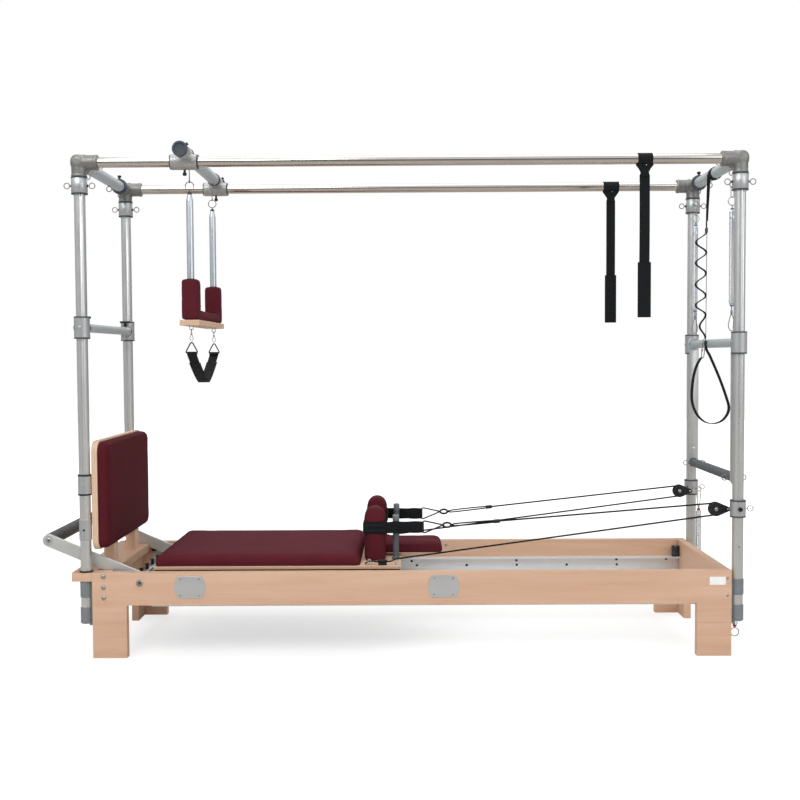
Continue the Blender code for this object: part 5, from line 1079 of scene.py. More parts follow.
def wooden_frame():
    """Side rails and end boards, with their plates, bolts, cups and feet."""
    for side, sign in SIDES:
        planed(f"{side}_side_rail", 0.0028, BEECH)
        y = sign * HALF_WIDTH
        fittings = []
        for z in (0.314, 0.272, 0.232):
            fittings += bolt(-1.176, y, z, sign)
        plates, screws = zip(*(badge_plate(x, BADGE_Z, y, sign) for x in BADGES_X))
        cup = capped([(8.5, 0.4), (8.8, 3), (11.8, 3.4), (13.3, 2), (13.5, -1)], (-1.038, y, 0.2897),
                     (0, sign, 0), 40)
        centre = capped([(5, 2.4), (6.2, 1), (6.6, 0)], (-1.038, y, 0.2897), (0, sign, 0), 24)
        feet = []
        for end in (-1, 1):
            for dx, dy in ((0.018, 0.018), (0.108, 0.018), (0.018, 0.115)):
                foot = (end * (HALF_LENGTH - dx), sign * (HALF_WIDTH - dy), 0.0)
                feet.append(capped([(9.5, 0.3), (10, 2.2), (9.5, 4.2)], foot, UP, 24))
        parts = [(fittings + [cup], ZINC), (centre, CAP), (list(plates), PLATE),
                 ([s for group_ in screws for s in group_], ZINC)]
        if sign < 0:
            label = slab(box_outline((1.136, 0.2735), (1.197, 0.3045), 0.002, 3), y - 0.0006, y + 0.0002,
                         "XZ", 0.0002)
            parts.append((label, WHITE))
        head = []
        for z in (0.3, 0.232):
            head += bolt(HALF_LENGTH - 0.016, y, z, sign, 0.0042)
        nut = bolt(0.1592, sign * INNER_Y, 0.3091, -sign, 0.0062)
        parts.append((nut + head, ZINC))
        piece(f"{side}_rail_fittings", parts, body="frame")
    planed("head_end_board", 0.0022, BEECH_ACROSS)
    planed("foot_platform", 0.0025, BEECH_ACROSS)
    screws = [dome((HALF_LENGTH, y, z), ALONG, 0.005, 0.001) for y in (-0.2, 0.2) for z in (0.232, 0.3)]
    screws += [dome((-HALF_LENGTH, y, z), (-1, 0, 0), 0.005, 0.001) for y in (-0.2, 0.2)
               for z in (0.225, 0.268)]
    piece("end_board_screws", [(screws, ZINC)], body="frame")


def tracks():
    """White channels with countersunk screws along the web, and a rubber bumper at the head end."""
    low, high = span("near_track")
    start, end = low[0], high[0]
    for side, sign in SIDES:
        wall, lip, web = (sign * (INNER_Y - 0.0003 - d) for d in (0, 0.037, 0.006))
        bottom, top, inside = TRACK_LOW, TRACK_HIGH, TRACK_LIP
        outline = [(wall, bottom), (lip, bottom), (lip, bottom + inside), (web, bottom + inside)]
        outline += [(web, top - inside), (lip, top - inside), (lip, top), (wall, top)]
        channel = slab(outline, start, end, "YZ", 0.0005, 2)
        screws, sinks = [], []
        heads = [(x, 0.219) for x in np.arange(-0.86, 1.0, 0.222)]
        heads += [(0.0047, 0.2379), (0.2485, 0.218), (0.47, 0.2394), (0.9143, 0.2419), (1.1349, 0.2427)]
        for x, z in heads:
            screws.append(capped([(4, 0), (5.2, 0.4), (5.2, 0.7)], (x, web + sign * 0.0002, z), (0, -sign, 0),
                                 20))
            sinks.append(lathe([(0.0052, -0.001), (0.0066, -0.001), (0.0066, 0.0009), (0.0052, 0.0006)],
                               (x, web + sign * 0.0002, z), (0, -sign, 0), 20))
        bx, by = 1.1727, sign * 0.3082
        profile = [(0, 0.254), (0.0155, 0.254), (0.016, 0.2555), (0.016, 0.276), (0.0145, 0.278),
                   (0.0145, 0.28), (0.016, 0.282), (0.016, 0.301), (0.0145, 0.304), (0, 0.304)]
        bumper = lathe(profile, (bx, by, 0), UP, 32)
        screw = lathe([(0, 0), (0.005, 0), (0.0045, 0.0016), (0.002, 0.002), (0, 0.0012)], (bx, by, 0.3038),
                      UP, 20)
        piece(f"{side}_white_track", [(channel, TRACK_METAL), (screws, HOLE), (sinks, PLATE),
                                      (bumper, RUBBER), (screw, ZINC)], f"{side}_track")


def spring_anchor():
    """The square spring bar between its two bracket plates, with hooking pegs and black knobs."""
    (x, z), half = SPRING_BAR, SPRING_BAR_HALF
    plate_y = INNER_Y - 0.0003
    parts = [(block((x - half, -plate_y + 0.002, z - half), (x + half, plate_y - 0.002, z + half), 0.0018),
              ACROSS_METAL)]
    plates, knobs, bolts = [], [], []
    for _, sign in SIDES:
        low, high = sorted((sign * plate_y, sign * (plate_y - 0.005)))
        outline = box_outline((x - 0.055, 0.218), (-1.008, 0.322), 0.01, 5)
        plates.append(slab(outline, low, high, "XZ", 0.0009))
        for kx, kz in ((x - 0.046, 0.3022), (x + 0.004, 0.302)):
            profile = [(0, -0.002), (0.0075, -0.002), (0.0075, 0.006), (0.0115, 0.0085), (0.0125, 0.01),
                       (0.0125, 0.0215), (0.0112, 0.024), (0, 0.024)]
            points, faces = lathe(profile, (kx, sign * (plate_y - 0.005), kz), (0, -sign, 0), 36)
            turn = np.arctan2(points[:, 2] - kz, points[:, 0] - kx)
            radius = np.hypot(points[:, 2] - kz, points[:, 0] - kx)
            grow = 1 + np.where(radius > 0.009, 0.07 * np.cos(6 * turn), 0)
            points = np.stack([kx + (points[:, 0] - kx) * grow, points[:, 1],
                               kz + (points[:, 2] - kz) * grow], -1)
            knobs.append((points, faces))
        for bx, bz in ((x - 0.045, 0.232), (-1.02, 0.232), (-1.064, 0.282), (-1.02, 0.31)):
            bolts.append(dome((bx, sign * (plate_y - 0.005), bz), (0, -sign, 0), 0.0058, 0.0028))
    heads = []
    for i in range(-2, 3):
        profile = [(0, 0.004), (0.0078, 0.004), (0.0078, 0.016), (0.0058, 0.019), (0.0058, 0.026),
                   (0.0092, 0.029), (0.0095, 0.032), (0.008, 0.034), (0, 0.034)]
        heads.append(lathe(profile, (x - 0.004, i * PEG_GAP, z), UP, 28))
    parts += [(plates, PLATE), (knobs, BLACK), (heads, SPRING_DARK), (bolts, ZINC)]
    piece("spring_hooking_bar", parts, "spring_bar")


def helix(start, end, radius, turns, thickness):
    """A close-wound spring: p = start + s * axis + r * (cos t, sin t), t = 2 pi turns s, its ends drawn in
    over one turn so that the wire closes on the axis."""
    start, end = np.array(start, float), np.array(end, float)
    axis = (end - start) / np.linalg.norm(end - start)
    side = np.cross(axis, UP if abs(axis[2]) < 0.9 else ALONG)
    side /= np.linalg.norm(side)
    other = np.cross(axis, side)
    s = np.linspace(0, 1, 12 * turns + 1)
    t = 2 * pi * turns * s
    ease = np.clip(np.minimum(s, 1 - s) * turns, 0, 1)
    r = radius * (0.25 + 0.75 * np.sin(ease * pi / 2))
    out = np.cos(t)[:, None] * side + np.sin(t)[:, None] * other
    return sweep(start + s[:, None] * (end - start) + r[:, None] * out, oval(thickness, steps=6), axis)


def dressed_springs():
    """The four carriage springs: bodies of close coils, hooks over the pegs and the anchor rod behind."""
    x0, x1, z = -1.0797, SPRING_ANCHOR, 0.262
    coils, hooks, rods = [], [], [bar((x1, -0.19, z), (x1, 0.19, z), 0.006, 0.001, 20)]
    for i in range(-2, 2):
        y = (i + 0.5) * 0.095
        coils.append(helix((x0 + 0.03, y, z), (x1 - 0.022, y, z), 0.0098, 96, 0.0024))
        hooks.append(wire(smooth_line([(x0 + 0.032, y, z), (x0 + 0.02, y, z + 0.001),
                                       (x0 + 0.008, y + 0.006, z), (x0 + 0.0035, y, z),
                                       (x0 + 0.008, y - 0.006, z), (x0 + 0.013, y - 0.001, z - 0.002)], 26),
                          0.003))
        hooks.append(wire(smooth_line([(x1 - 0.024, y, z), (x1 - 0.012, y, z + 0.008), (x1, y, z + 0.0085),
                                       (x1 + 0.0085, y, z), (x1, y, z - 0.0085), (x1 - 0.008, y, z - 0.004)],
                                      26), 0.003, up=ACROSS))
        hooks.append(capped([(5, 0), (10, 10), (10.4, 14)], (x0 + 0.022, y, z), ALONG, 24))
    hanger = block((x1 - 0.006, -0.1, z), (x1 + 0.006, 0.1, 0.2964), 0.001)
    made = piece("four_carriage_springs", [(coils, SPRING), (hooks, SPRING_DARK), (rods + [hanger], CASE)],
                 "carriage_springs", "blended")
    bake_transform(made)


# Soft pads

def rounded(half_u, half_v, corner, count=14, middle=(0.0, 0.0), along=26):
    """A rounded rectangle with evenly set points: quarter circles and straight runs."""
    corner = min(corner, half_u - 1e-4, half_v - 1e-4)
    loop = []
    for k, (u, v) in enumerate(((1, 1), (-1, 1), (-1, -1), (1, -1))):
        turn = np.radians(np.linspace(90 * k, 90 * k + 90, count))
        centre = np.array([u * (half_u - corner), v * (half_v - corner)])
        arc_ = centre + corner * np.stack([np.cos(turn), np.sin(turn)], -1)
        after = np.array([(-1, 1), (-1, -1), (1, -1), (1, 1)][k]) * (half_u - corner, half_v - corner)
        start = after + corner * np.array([cos(np.radians(90 * k + 90)), sin(np.radians(90 * k + 90))])
        run = arc_[-1] + (start - arc_[-1]) * np.linspace(0, 1, along + 2)[1:-1, None]
        loop += [arc_, run]
    return np.vstack(loop) + middle


def cushion(low, high, corner, crown, roll):
    """A stuffed slab. Sides: out by bulge * sin(pi t). Top edge: a quarter ellipse roll wide. Face: rises by
    crown * sin(pi / 2 * q) from the roll to the middle, q being the way in."""
    half_u, half_v = (high[0] - low[0]) / 2, (high[1] - low[1]) / 2
    middle = ((low[0] + high[0]) / 2, (low[1] + high[1]) / 2)
    height = high[2] - low[2] - crown
    drop = min(roll, height * 0.5)
    levels = [(0.003, 0.0), (0.0012, 0.0015)]
    levels += [(0.0022 - 0.0022 * sin(pi * t), (height - drop) * t) for t in np.linspace(0.12, 1, 7)]
    levels += [(0.0022 + roll * (1 - cos(a)), height - drop + drop * sin(a))
               for a in np.radians(np.linspace(12, 88, 8))]
    reach = min(half_u, half_v) - 0.004
    inner = roll + 0.0022
    levels += [(inner + (reach - inner) * q, height + crown * sin(pi / 2 * q))
               for q in np.linspace(0.06, 1, 14)]
    loops = []
    for inset, rise in levels:
        turn = max(corner - inset * 0.55, 0.003)
        flat = rounded(half_u - inset, half_v - inset, turn, 12, middle)
        loops.append(np.column_stack([flat, np.full(len(flat), low[2] + rise)]))
    return skin(loops)


def puffed(shape, voxel, cap, held=lambda p: p[:, 2] < p[:, 2].min() + 0.004, bound=None):
    """A pad filled by a cloth simulation: voxel remesh, pressure, no gravity, the held points pinned, and no
    point more than cap from its start."""
    scene = bpy.context.scene
    obj = remeshed("Pad", [shape], voxel, 3)
    filled = bpy.data.meshes.new_from_object(as_modified(obj))
    obj.modifiers.clear()
    obj.data = filled
    start = mesh_points(filled)
    pins = obj.vertex_groups.new(name="Held")
    pins.add([int(k) for k in np.nonzero(held(start))[0]], 1.0, "REPLACE")
    cloth = obj.modifiers.new("Cloth", "CLOTH")
    settings = cloth.settings
    settings.quality = 5
    settings.mass = 0.3
    settings.tension_stiffness = settings.compression_stiffness = 18
    settings.bending_stiffness = 2.0
    settings.use_pressure = True
    settings.uniform_pressure_force = 4.0
    settings.vertex_group_mass = "Held"
    settings.effector_weights.gravity = 0
    cloth.collision_settings.use_collision = False
    cloth.point_cache.frame_start = 1
    cloth.point_cache.frame_end = 20
    for number in range(1, 21):
        scene.frame_set(number)
    step = mesh_points(as_modified(obj).to_mesh()) - start
    far = np.linalg.norm(step, axis=1, keepdims=True)
    end = start + step * np.minimum(1, cap / np.maximum(far, 1e-9))
    if bound is not None:
        end = np.clip(end, bound[0], bound[1])
    groups = mesh_faces(filled)
    bpy.data.objects.remove(obj)
    scene.frame_set(1)
    return outward(end, groups)


def on_surface(shape, path, lift):
    """Points of a path moved to the nearest place on a shape and lifted off it, with that place's normals."""
    tree = BVHTree.FromPolygons(shape[0].tolist(), [list(map(int, f)) for g in shape[1] for f in g])
    spots, normals = [], []
    for point in path:
        spot, normal, _, _ = tree.find_nearest(Vector(point))
        spots.append(np.array(spot) + lift * np.array(normal))
        normals.append(np.array(normal))
    return np.array(spots), np.array(normals)


def seam(shape, path, width, lift):
    """A flattened thread that follows a surface."""
    spots, normals = on_surface(shape, path, lift)
    return sweep(spots, oval(width, width * 0.8, 8), normals)


def carriage_pads():
    """The mat, the headrest on its hinged base, and the two shoulder rests."""
    half, gap = CARRIAGE_HALF_WIDTH, 0.001
    top = CARRIAGE_TOP + 0.0003
    mat = cushion((CARRIAGE_LEFT + gap, -half + gap, top), (MAT_RIGHT, half - gap, MAT_TOP), 0.024, 0.008,
                  0.029)
    bound = (CARRIAGE_LEFT - gap, -half - gap, top), (MAT_RIGHT + 0.0015, half + gap, MAT_TOP + 0.002)
    shape = puffed(mat, 0.006, 0.0034, bound=bound)
    made = piece("rolled_carriage_mat", [(shape, VINYL)], "carriage_mat", sharp=80)
    low, high = np.array(HEADREST_LOW), np.array(HEADREST_HIGH)
    rest = cushion(low + (gap, gap, 0), high - gap, 0.018, 0.003, 0.017)
    shape = puffed(rest, 0.005, 0.003, bound=(low - (0, gap, 0), high + gap))
    hinge = block((-0.176, -0.07, 0.3413), (-0.136, 0.07, 0.3545), 0.0015)
    base = block((-0.184, -0.096, 0.35), (0.122, 0.096, 0.3547), 0.0012, 0.012)
    made = piece("rolled_headrest", [(shape, VINYL), (hinge, CASE), (base, PLY)], "headrest_pad", sharp=80)
    for side, sign in SIDES:
        shoulder_pad(side, sign)


def arch_loop(inset, half, height):
    """A flat-bottomed arch with evenly set points, drawn in by inset."""
    radius = half - inset
    turn = np.radians(np.linspace(0, 180, 22))
    crown = np.stack([radius * np.cos(turn), height - half + radius * np.sin(turn)], -1)
    left = np.stack([np.full(14, -radius), np.linspace(height - half, 0, 16)[1:-1]], -1)
    right = left[::-1] * (-1, 1)
    floor = np.stack([np.linspace(-radius, radius, 10), np.zeros(10)], -1)
    return np.vstack([crown, left, floor, right])


def shoulder_pad(side, sign):
    """An arch-topped block, crowned on both faces, with a sewn seam round each face."""
    x, y, half_y = SHOULDER[0], sign * SHOULDER[1], SHOULDER_HALF_Y
    half_x, height = SHOULDER_HALF_X, SHOULDER_HEIGHT
    bottom = CARRIAGE_TOP + 0.0003
    steps = [(0.036, -0.0005), (0.024, -0.0002), (0.013, 0.001), (0.007, 0.0036), (0.0032, 0.0078),
             (0.0012, 0.014), (0.0006, 0.026)]
    levels = [(i, -half_y + s) for i, s in steps] + [(0.0004, 0.0)]
    levels += [(i, half_y - s) for i, s in steps[::-1]]
    loops = []
    for inset, offset in levels:
        flat = arch_loop(inset, half_x, height)
        loops.append(np.stack([x + flat[:, 0], np.full(len(flat), y + offset), bottom + flat[:, 1]], -1))
    reach_x, reach_y = half_x + 0.0005, half_y + 0.0015
    bound = (x - reach_x, y - reach_y, bottom), (x + reach_x, y + reach_y, bottom + height + 0.005)
    shape = puffed(skin(loops), 0.005, 0.003, bound=bound)
    seams = []
    for face in (-1, 1):
        flat = arch_loop(0.0085, half_x, height)
        flat = flat[flat[:, 1] > 0.003]
        flat = flat[np.argsort(np.unwrap(np.arctan2(flat[:, 1] - 0.05, flat[:, 0])))]
        path = np.stack([x + flat[:, 0], np.full(len(flat), y + face * half_y), bottom + flat[:, 1]], -1)
        seams.append(seam(shape, path, 0.0016, -0.0001))
    made = piece(f"{side}_shoulder_pad", [(shape, VINYL), (seams, SEAM)], f"{side}_shoulder_rest", sharp=80)


# Carriage

def split(shape, axis):
    """A shape as two: the faces that look along an axis, and the rest."""
    points, faces = shape
    along, other = [], []
    for group_ in faces:
        a, b, c = points[group_[:, 0]], points[group_[:, 1]], points[group_[:, 2]]
        normal = np.cross(b - a, c - b)
        normal /= np.maximum(np.linalg.norm(normal, axis=1, keepdims=True), 1e-15)
        mask = np.abs(normal[:, axis]) > 0.9
        along.append(group_[mask])
        other.append(group_[~mask])
    keep = [[g for g in part if len(g)] for part in (along, other)]
    return (points, keep[0]), (points, keep[1])


def carriage_board():
    """The ply board over a black recessed strip, painted shade for the gap between board and rail, with its
    screws, eye screws and the cleats of the ropes.
    """
    half = CARRIAGE_HALF_WIDTH
    outline = box_outline((CARRIAGE_LEFT, -half), (CARRIAGE_RIGHT, half), 0.004, 3)
    faces, edges = split(slab(outline, CARRIAGE_UNDER + 0.0115, CARRIAGE_TOP, "XY", 0.001), 2)
    # Painted shade: the strip under the board's rim is black to stand for the shadow gap between board and
    # rail.
    inner = box_outline((CARRIAGE_LEFT + 0.004, -0.3005), (CARRIAGE_RIGHT - 0.004, 0.3005), 0.004, 3)
    shade_rebate = slab(inner, CARRIAGE_UNDER, CARRIAGE_UNDER + 0.0117, "XY", 0.0004)
    screws = [dome((x, sign * 0.2865, CARRIAGE_TOP), UP, 0.0045, 0.0008)
              for _, sign in SIDES for x in (-0.165, -0.075)]
    cleats, posts_ = [], []
    for _, sign in SIDES:
        y = sign * ROPE_CLEAT_Y
        for x in (-0.162, -0.058):
            posts_ += [bar((x, y, CARRIAGE_TOP - 0.001), (x, y, CARRIAGE_TOP + 0.01), 0.0028, 0.0004, 16)]
            posts_.append(torus((x, y, CARRIAGE_TOP + 0.0165), ACROSS, 0.0062, 0.003, 24, 8))
            posts_.append(capped([(6.2, 0), (5.5, 1.8)], (x, y, CARRIAGE_TOP), UP, 20))
        body = block((-0.128, y - 0.008, CARRIAGE_TOP + 0.0003), (-0.094, y + 0.008, CARRIAGE_TOP + 0.012),
                     0.003, 0.006)
        horn = bar((-0.13, y, CARRIAGE_TOP + 0.017), (-0.092, y, CARRIAGE_TOP + 0.017), 0.0052, 0.002, 20)
        cleats += [body, horn, block((-0.119, y - 0.005, CARRIAGE_TOP + 0.01),
                                     (-0.103, y + 0.005, CARRIAGE_TOP + 0.018), 0.002)]
    piece("carriage_ply_board", [(faces, BIRCH_ACROSS), (edges, PLY), (screws + posts_, ZINC),
                                 ([shade_rebate, *cleats], BLACK)], "carriage_platform")


def carriage_underneath():
    """The grey frame and its four wheels: tyre, disc, bearing race and a ring of holes."""
    planed("carriage_frame", 0.0008, CASE)
    for end_name, x in (("foot", WHEEL_FOOT_X), ("head", WHEEL_HEAD_X)):
        for side, sign in SIDES:
            y = sign * WHEEL_Y
            spot = (x, y, WHEEL_Z)
            tyre = mirrored([(0.015, 0.0085), (0.021, 0.009), (0.0226, 0.0078), (0.023, 0.006)])
            disc = mirrored([(0.0043, 0.006), (0.015, 0.006)])
            race = mirrored([(0.0043, 0.0088), (0.0105, 0.0088)])
            rounds = (tyre, 48, RUBBER), (disc, 40, CAP), (race, 32, ZINC)
            parts = [(lathe(rows, spot, ACROSS, steps), material) for rows, steps, material in rounds]
            marks = []
            for face in (-1, 1):
                for a in np.arange(5) * 2 * pi / 5:
                    place = (x + 0.0127 * cos(a), y + face * 0.006, WHEEL_Z + 0.0127 * sin(a))
                    marks.append(dome(place, (0, face, 0), 0.0016, 0.0005))
            piece(f"{end_name}_{side}_roller", parts + [(marks, HOLE)], f"{end_name}_{side}_wheel")


def rope_posts():
    """The two black posts on the carriage, each with a flared foot, a cap and a slot."""
    for side, sign in SIDES:
        r, h, base = ROPE_POST_RADIUS, ROPE_POST_HEIGHT, CARRIAGE_TOP + 0.0003
        body = [(0, 0), (r + 0.005, 0), (r + 0.005, 0.004), (r + 0.0035, 0.006), (r + 0.0005, 0.009),
                (r, 0.012), (r, h - 0.03), (r - 0.0006, h - 0.0295), (r - 0.0006, h - 0.0285),
                (0, h - 0.0285)]
        cap = [(0, h - 0.0285), (r - 0.0006, h - 0.0285), (r + 0.0006, h - 0.027), (r + 0.001, h - 0.016),
               (r + 0.001, h - 0.0015), (r - 0.0008, h), (0, h)]
        spot = (ROPE_POST[0], sign * ROPE_POST[1], base)
        slot_ = lathe([(0, h + 0.0003), (0.0045, h + 0.0003), (0.005, h - 0.0005), (0, h - 0.0005)], spot, UP,
                      20)
        piece(f"{side}_cord_post", [(lathe(body, spot, UP, 36), GRIP), (lathe(cap, spot, UP, 36), PAINT_DARK),
                                    (slot_, BLACK)], f"{side}_rope_post")


def webbing(path, width, thickness):
    """A band swept along a path, its width laid along X."""
    return sweep(path, strip(thickness, width, thickness * 0.45), ALONG)


def foot_loops():
    """A two-layer band round the shoulder rest, its tail past the rope post, a wire triangle and an oval
    link."""
    for side, sign in SIDES:
        x, y = SHOULDER[0], sign * SHOULDER[1]
        z = LOOP_Z

        def round_rest(gap, corner, level):
            """A closed line round the shoulder rest at a height."""
            flat = rounded(SHOULDER_HALF_X + gap, SHOULDER_HALF_Y + gap, corner, 7, (x, y), 5)
            return np.column_stack([flat, np.full(len(flat), level)])

        band = sweep(round_rest(0.0021, 0.013, z), strip(0.0024, 0.05), UP, True)
        over = sweep(round_rest(0.0044, 0.015, z), strip(0.002, 0.04), UP, True)
        wall = SHOULDER[1] + SHOULDER_HALF_Y
        line = smooth_line([(x + 0.004, sign * (wall + 0.0042), z), (x + 0.03, sign * (wall + 0.004), z),
                            (-0.09, sign * (wall - 0.002), z), (ROPE_POST[0], sign * 0.186, z),
                            (-0.02, sign * 0.1842, z), (0.01, sign * LOOP_Y, z),
                            (LOOP_END, sign * LOOP_Y, z)], 40)
        wave = 1 + 0.05 * np.sin(np.linspace(0, 5.2 * pi, 40)) * np.linspace(0, 1, 40)
        tail = sweep(line, strip(0.0034, 0.046), UP, scale=np.stack([np.ones(40), wave], -1))
        flat = smooth_line([(0.002, sign * (LOOP_Y + 0.003), z), (0.022, sign * (LOOP_Y + 0.003), z),
                            (LOOP_END + 0.0022, sign * (LOOP_Y + 0.0012), z),
                            (LOOP_END + 0.0022, sign * (LOOP_Y - 0.0012), z),
                            (0.022, sign * (LOOP_Y - 0.003), z), (0.002, sign * (LOOP_Y - 0.003), z)], 30)
        sewn = sweep(flat, strip(0.0016, 0.042), UP)
        middle = z + 0.008
        corners = [(LOOP_END + 0.001, sign * LOOP_Y, z - 0.026), (LOOP_END + 0.001, sign * LOOP_Y, z + 0.026),
                   (LOOP_APEX - 0.001, sign * LOOP_Y, middle)]
        triangle = wire(eased(corners, [0.012, 0.012, 0.01], 6, True), 0.006, True, ACROSS)
        turn = np.linspace(0, 2 * pi, 28, endpoint=False)
        half_length, rise = (0.036 - 0.0045) / 2, 0.01 - 0.001
        link = np.stack([LOOP_APEX + half_length - 0.00225 + half_length * np.cos(turn),
                         np.full(28, sign * LOOP_Y), middle + rise * np.sin(turn)], -1)
        gate = capped([(3.4, 0), (3.8, 1), (3.8, 9), (3.4, 10)],
                      (LOOP_APEX + half_length - 0.0068, sign * LOOP_Y, middle - rise), ALONG, 16)
        stitches = []
        for sx in (0.004, 0.024):
            for dy in (-0.004, 0.004):
                line = [(sx, sign * LOOP_Y + dy, z + dz) for dz in (-0.019, 0, 0.019)]
                stitches.append(thread(line, 0.001))
        for dz in (-0.0105, 0.0105):
            stitches.append(thread(round_rest(0.0054, 0.016, z + dz), 0.0018, UP, True))
        parts = [([band, over, tail, sewn], WEBBING), (stitches, SEAM_BLACK),
                 ([triangle, wire(link, 0.0082, True, ACROSS), gate], BLACK)]
        piece(f"{side}_webbing_loop", parts, f"{side}_foot_loop")


# Pulleys and ropes

def rope_touch(point, upward):
    """The angle, seen along Y, where a line from a point touches the rope's circle round the sheave."""
    dx, dz = point[0] - SHEAVE[0], point[2] - SHEAVE[2]
    away = hypot(dx, dz)
    spread = pi / 2 - asin((SHEAVE_RADIUS - 0.0008) / away)
    angle = atan2(dz, dx) % (2 * pi) - upward * spread
    return angle if upward > 0 else angle - 2 * pi


def braid(path):
    """A rope along a path."""
    return sweep(path, oval(2 * ROPE_RADIUS, steps=12), ACROSS)


def ropes():
    """Each rope is five pieces: the hitch on the carriage's loop, the run out to the sheave, the wrap on it,
    the run back to the carriage's cleat and the tail there. The two runs shorten with the carriage, the wrap
    stays."""
    wrap_radius = SHEAVE_RADIUS - 0.0008
    for side, sign in SIDES:
        start = np.array([ROPE_HITCH_X, sign * LOOP_Y, LOOP_Z + 0.008])
        end = np.array([CARRIAGE_RIGHT - 0.018, sign * ROPE_CLEAT_Y, CARRIAGE_TOP + 0.024])
        centre = np.array([SHEAVE[0], sign * SHEAVE[1], SHEAVE[2]])
        upper, lower = rope_touch(start, 1), rope_touch(end, -1)
        turn = np.linspace(upper, lower, 25)
        wrap = centre + wrap_radius * np.stack([np.cos(turn), np.zeros(25), np.sin(turn)], -1)
        far = ROPE_SPLICE_X

        def at(x):
            """The straight run's point at an x."""
            return start + (wrap[0] - start) * ((x - start[0]) / (wrap[0][0] - start[0]))

        single = np.array([at(x) for x in np.linspace(far - 0.012, wrap[0][0], 40)])
        up = np.array([0, 0, 1.0])
        strands = []
        for lift in (-1, 1):
            strand = [start + (0.0015, 0, 0) + up * lift * 0.0018]
            spread = (0.18, 0.0042), (0.24, 0.0046), (0.3, 0.004), (far, 0.003)
            strand += [at(x) + up * lift * off for x, off in spread]
            strands.append(sweep(smooth_line(strand, 30), oval(0.0056, steps=10), ACROSS))
        hitch = torus(start + np.array([0.002, 0, 0]), (0.15, 0, 1), 0.0042, 0.005, 20, 8)
        sleeve = capped([(6.2, 0), (7.8, 1.5), (7.8, 24.5), (6.2, 26)], at(far - 0.012), wrap[0] - start, 28)
        piece(f"{side}_rope_hitch", [(hitch, ROPE)], body="carriage")
        parts = [([braid(single), *strands], ROPE), (sleeve, BLACK)]
        made = piece(f"{side}_rope_out", parts, f"{side}_rope")
        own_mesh(made)
        loose = np.vstack([wrap, wrap[-1:] + (-0.0005, 0, 0)])
        piece(f"{side}_rope_wrap", [(braid(loose), ROPE)], body="frame")
        back = np.linspace(wrap[-1], end, 60)
        returning = piece(f"{side}_rope_back", [(braid(back), ROPE)], body="frame")
        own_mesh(returning)
        laid = [(u, sign * v, CARRIAGE_TOP + w) for u, v, w in ROPE_TAIL]
        tail = smooth_line([end + (0.002, 0, 0), end + (-0.012, 0, -0.004), *laid], 60)
        piece(f"{side}_rope_tail", [(sweep(tail, oval(0.0058, steps=10), (0.02, 0.05, 1)), ROPE)],
              body="carriage")


def pulleys():
    """A collar on the post, a shackle, and two drop-shaped cheeks with the grooved sheave between them."""
    sx, sy, sz = SHEAVE
    for side, sign in SIDES:
        x, y, z = POST_X, sign * POST_Y, PULLEY_Z
        bright, rings = collar(x, y, 0.529, 0.595, 0.0294, 0.0055, 0.0006)
        middle = sign * sy
        reach = PULLEY_REACH
        lean = degrees(pi / 2 - asin((PULLEY_CHEEK - PULLEY_EYE) / reach))
        outline = [*circle((sx, sz), PULLEY_CHEEK, lean, 360 - lean, 30),
                   *circle((sx + reach, sz), PULLEY_EYE, -lean, lean, 10)]
        cheeks, axles = [], []
        for face in (-1, 1):
            inner = middle + face * 0.0073
            outer = inner + face * 0.0035
            cheeks.append(slab(outline, min(inner, outer), max(inner, outer), "XZ", 0.0012))
            boss = [(0, 0), (0.0135, 0), (0.0135, 0.0008), (0.0105, 0.0016), (0, 0.0016)]
            cheeks.append(lathe(boss, (sx, outer, sz), (0, face, 0), 32))
            axles.append(lathe([(0, 0), (0.0068, 0), (0.0068, 0.0014), (0.0052, 0.0026), (0.0028, 0.0028),
                                (0, 0.002)], (sx, outer + face * 0.0012, sz), (0, face, 0), 28))
            axles.append(dome((sx + reach, outer, sz), (0, face, 0), 0.0045, 0.0016))
        axles.append(bar((sx, middle - 0.011, sz), (sx, middle + 0.011, sz), 0.0038, 0.0004, 20))
        spacer = bar((sx + reach, middle - 0.0085, sz), (sx + reach, middle + 0.0085, sz), 0.0066, 0.0006, 20)
        shackle = wire(smooth_line([(sx + reach, middle, sz), (sx + 0.052, middle + sign * 0.01, sz + 0.004),
                                    (POST_X - 0.02, sign * 0.312, z), (POST_X - 0.012, sign * 0.322, z)], 20),
                       0.0075)
        swivel = capped([(7.5, 0), (7.5, 10), (6, 12)], (POST_X - 0.0215, sign * 0.3085, z),
                        (0.75, sign * 0.66, 0), 24)
        eyes = eye((x + 0.048, y, z), ACROSS, (x + 0.0292, y, z))
        eyes += eye((LOWER_SPRING[0], sign * ARM_SPRING_Y, z), ACROSS,
                    (POST_X + 0.002, sign * (POST_Y - 0.028), z))
        eyes.append(wire([(1.2612, sign * 0.2725, z), (POST_X + 0.004, sign * 0.298, z),
                          (POST_X + 0.002, sign * 0.308, z)], 0.0048))
        knob = capped([(7.5, 0), (8.5, 2), (8.5, 8), (7, 10)], (x, y + sign * 0.0288, z), (0, sign, 0), 24)
        parts = [(cheeks + [spacer, knob], BLACK), (rings, CAP), (bright, BRIGHT),
                 (axles + eyes + [shackle, swivel], ZINC)]
        piece(f"{side}_pulley", parts, f"{side}_pulley_block")
        groove = [(0.0043, 0.007), (0.006, 0.007), (0.0075, 0.0055), (0.0175, 0.005), (0.0205, 0.007),
                  (0.0238, 0.0068), (0.0245, 0.0058), (0.022, 0.0038), (0.0196, 0.0016)]
        wheel = lathe(mirrored(groove, [(0.0194, 0)]), (sx, middle, sz), ACROSS, 48)
        dots = [dome((sx + 0.0128 * cos(a), middle + f * 0.0051, sz + 0.0128 * sin(a)), (0, f, 0), 0.0022,
                     0.0006) for f in (-1, 1) for a in np.arange(4) * pi / 2 + 0.3]
        piece(f"{side}_grooved_sheave", [(wheel, CAP), (dots, HOLE)], f"{side}_sheave")


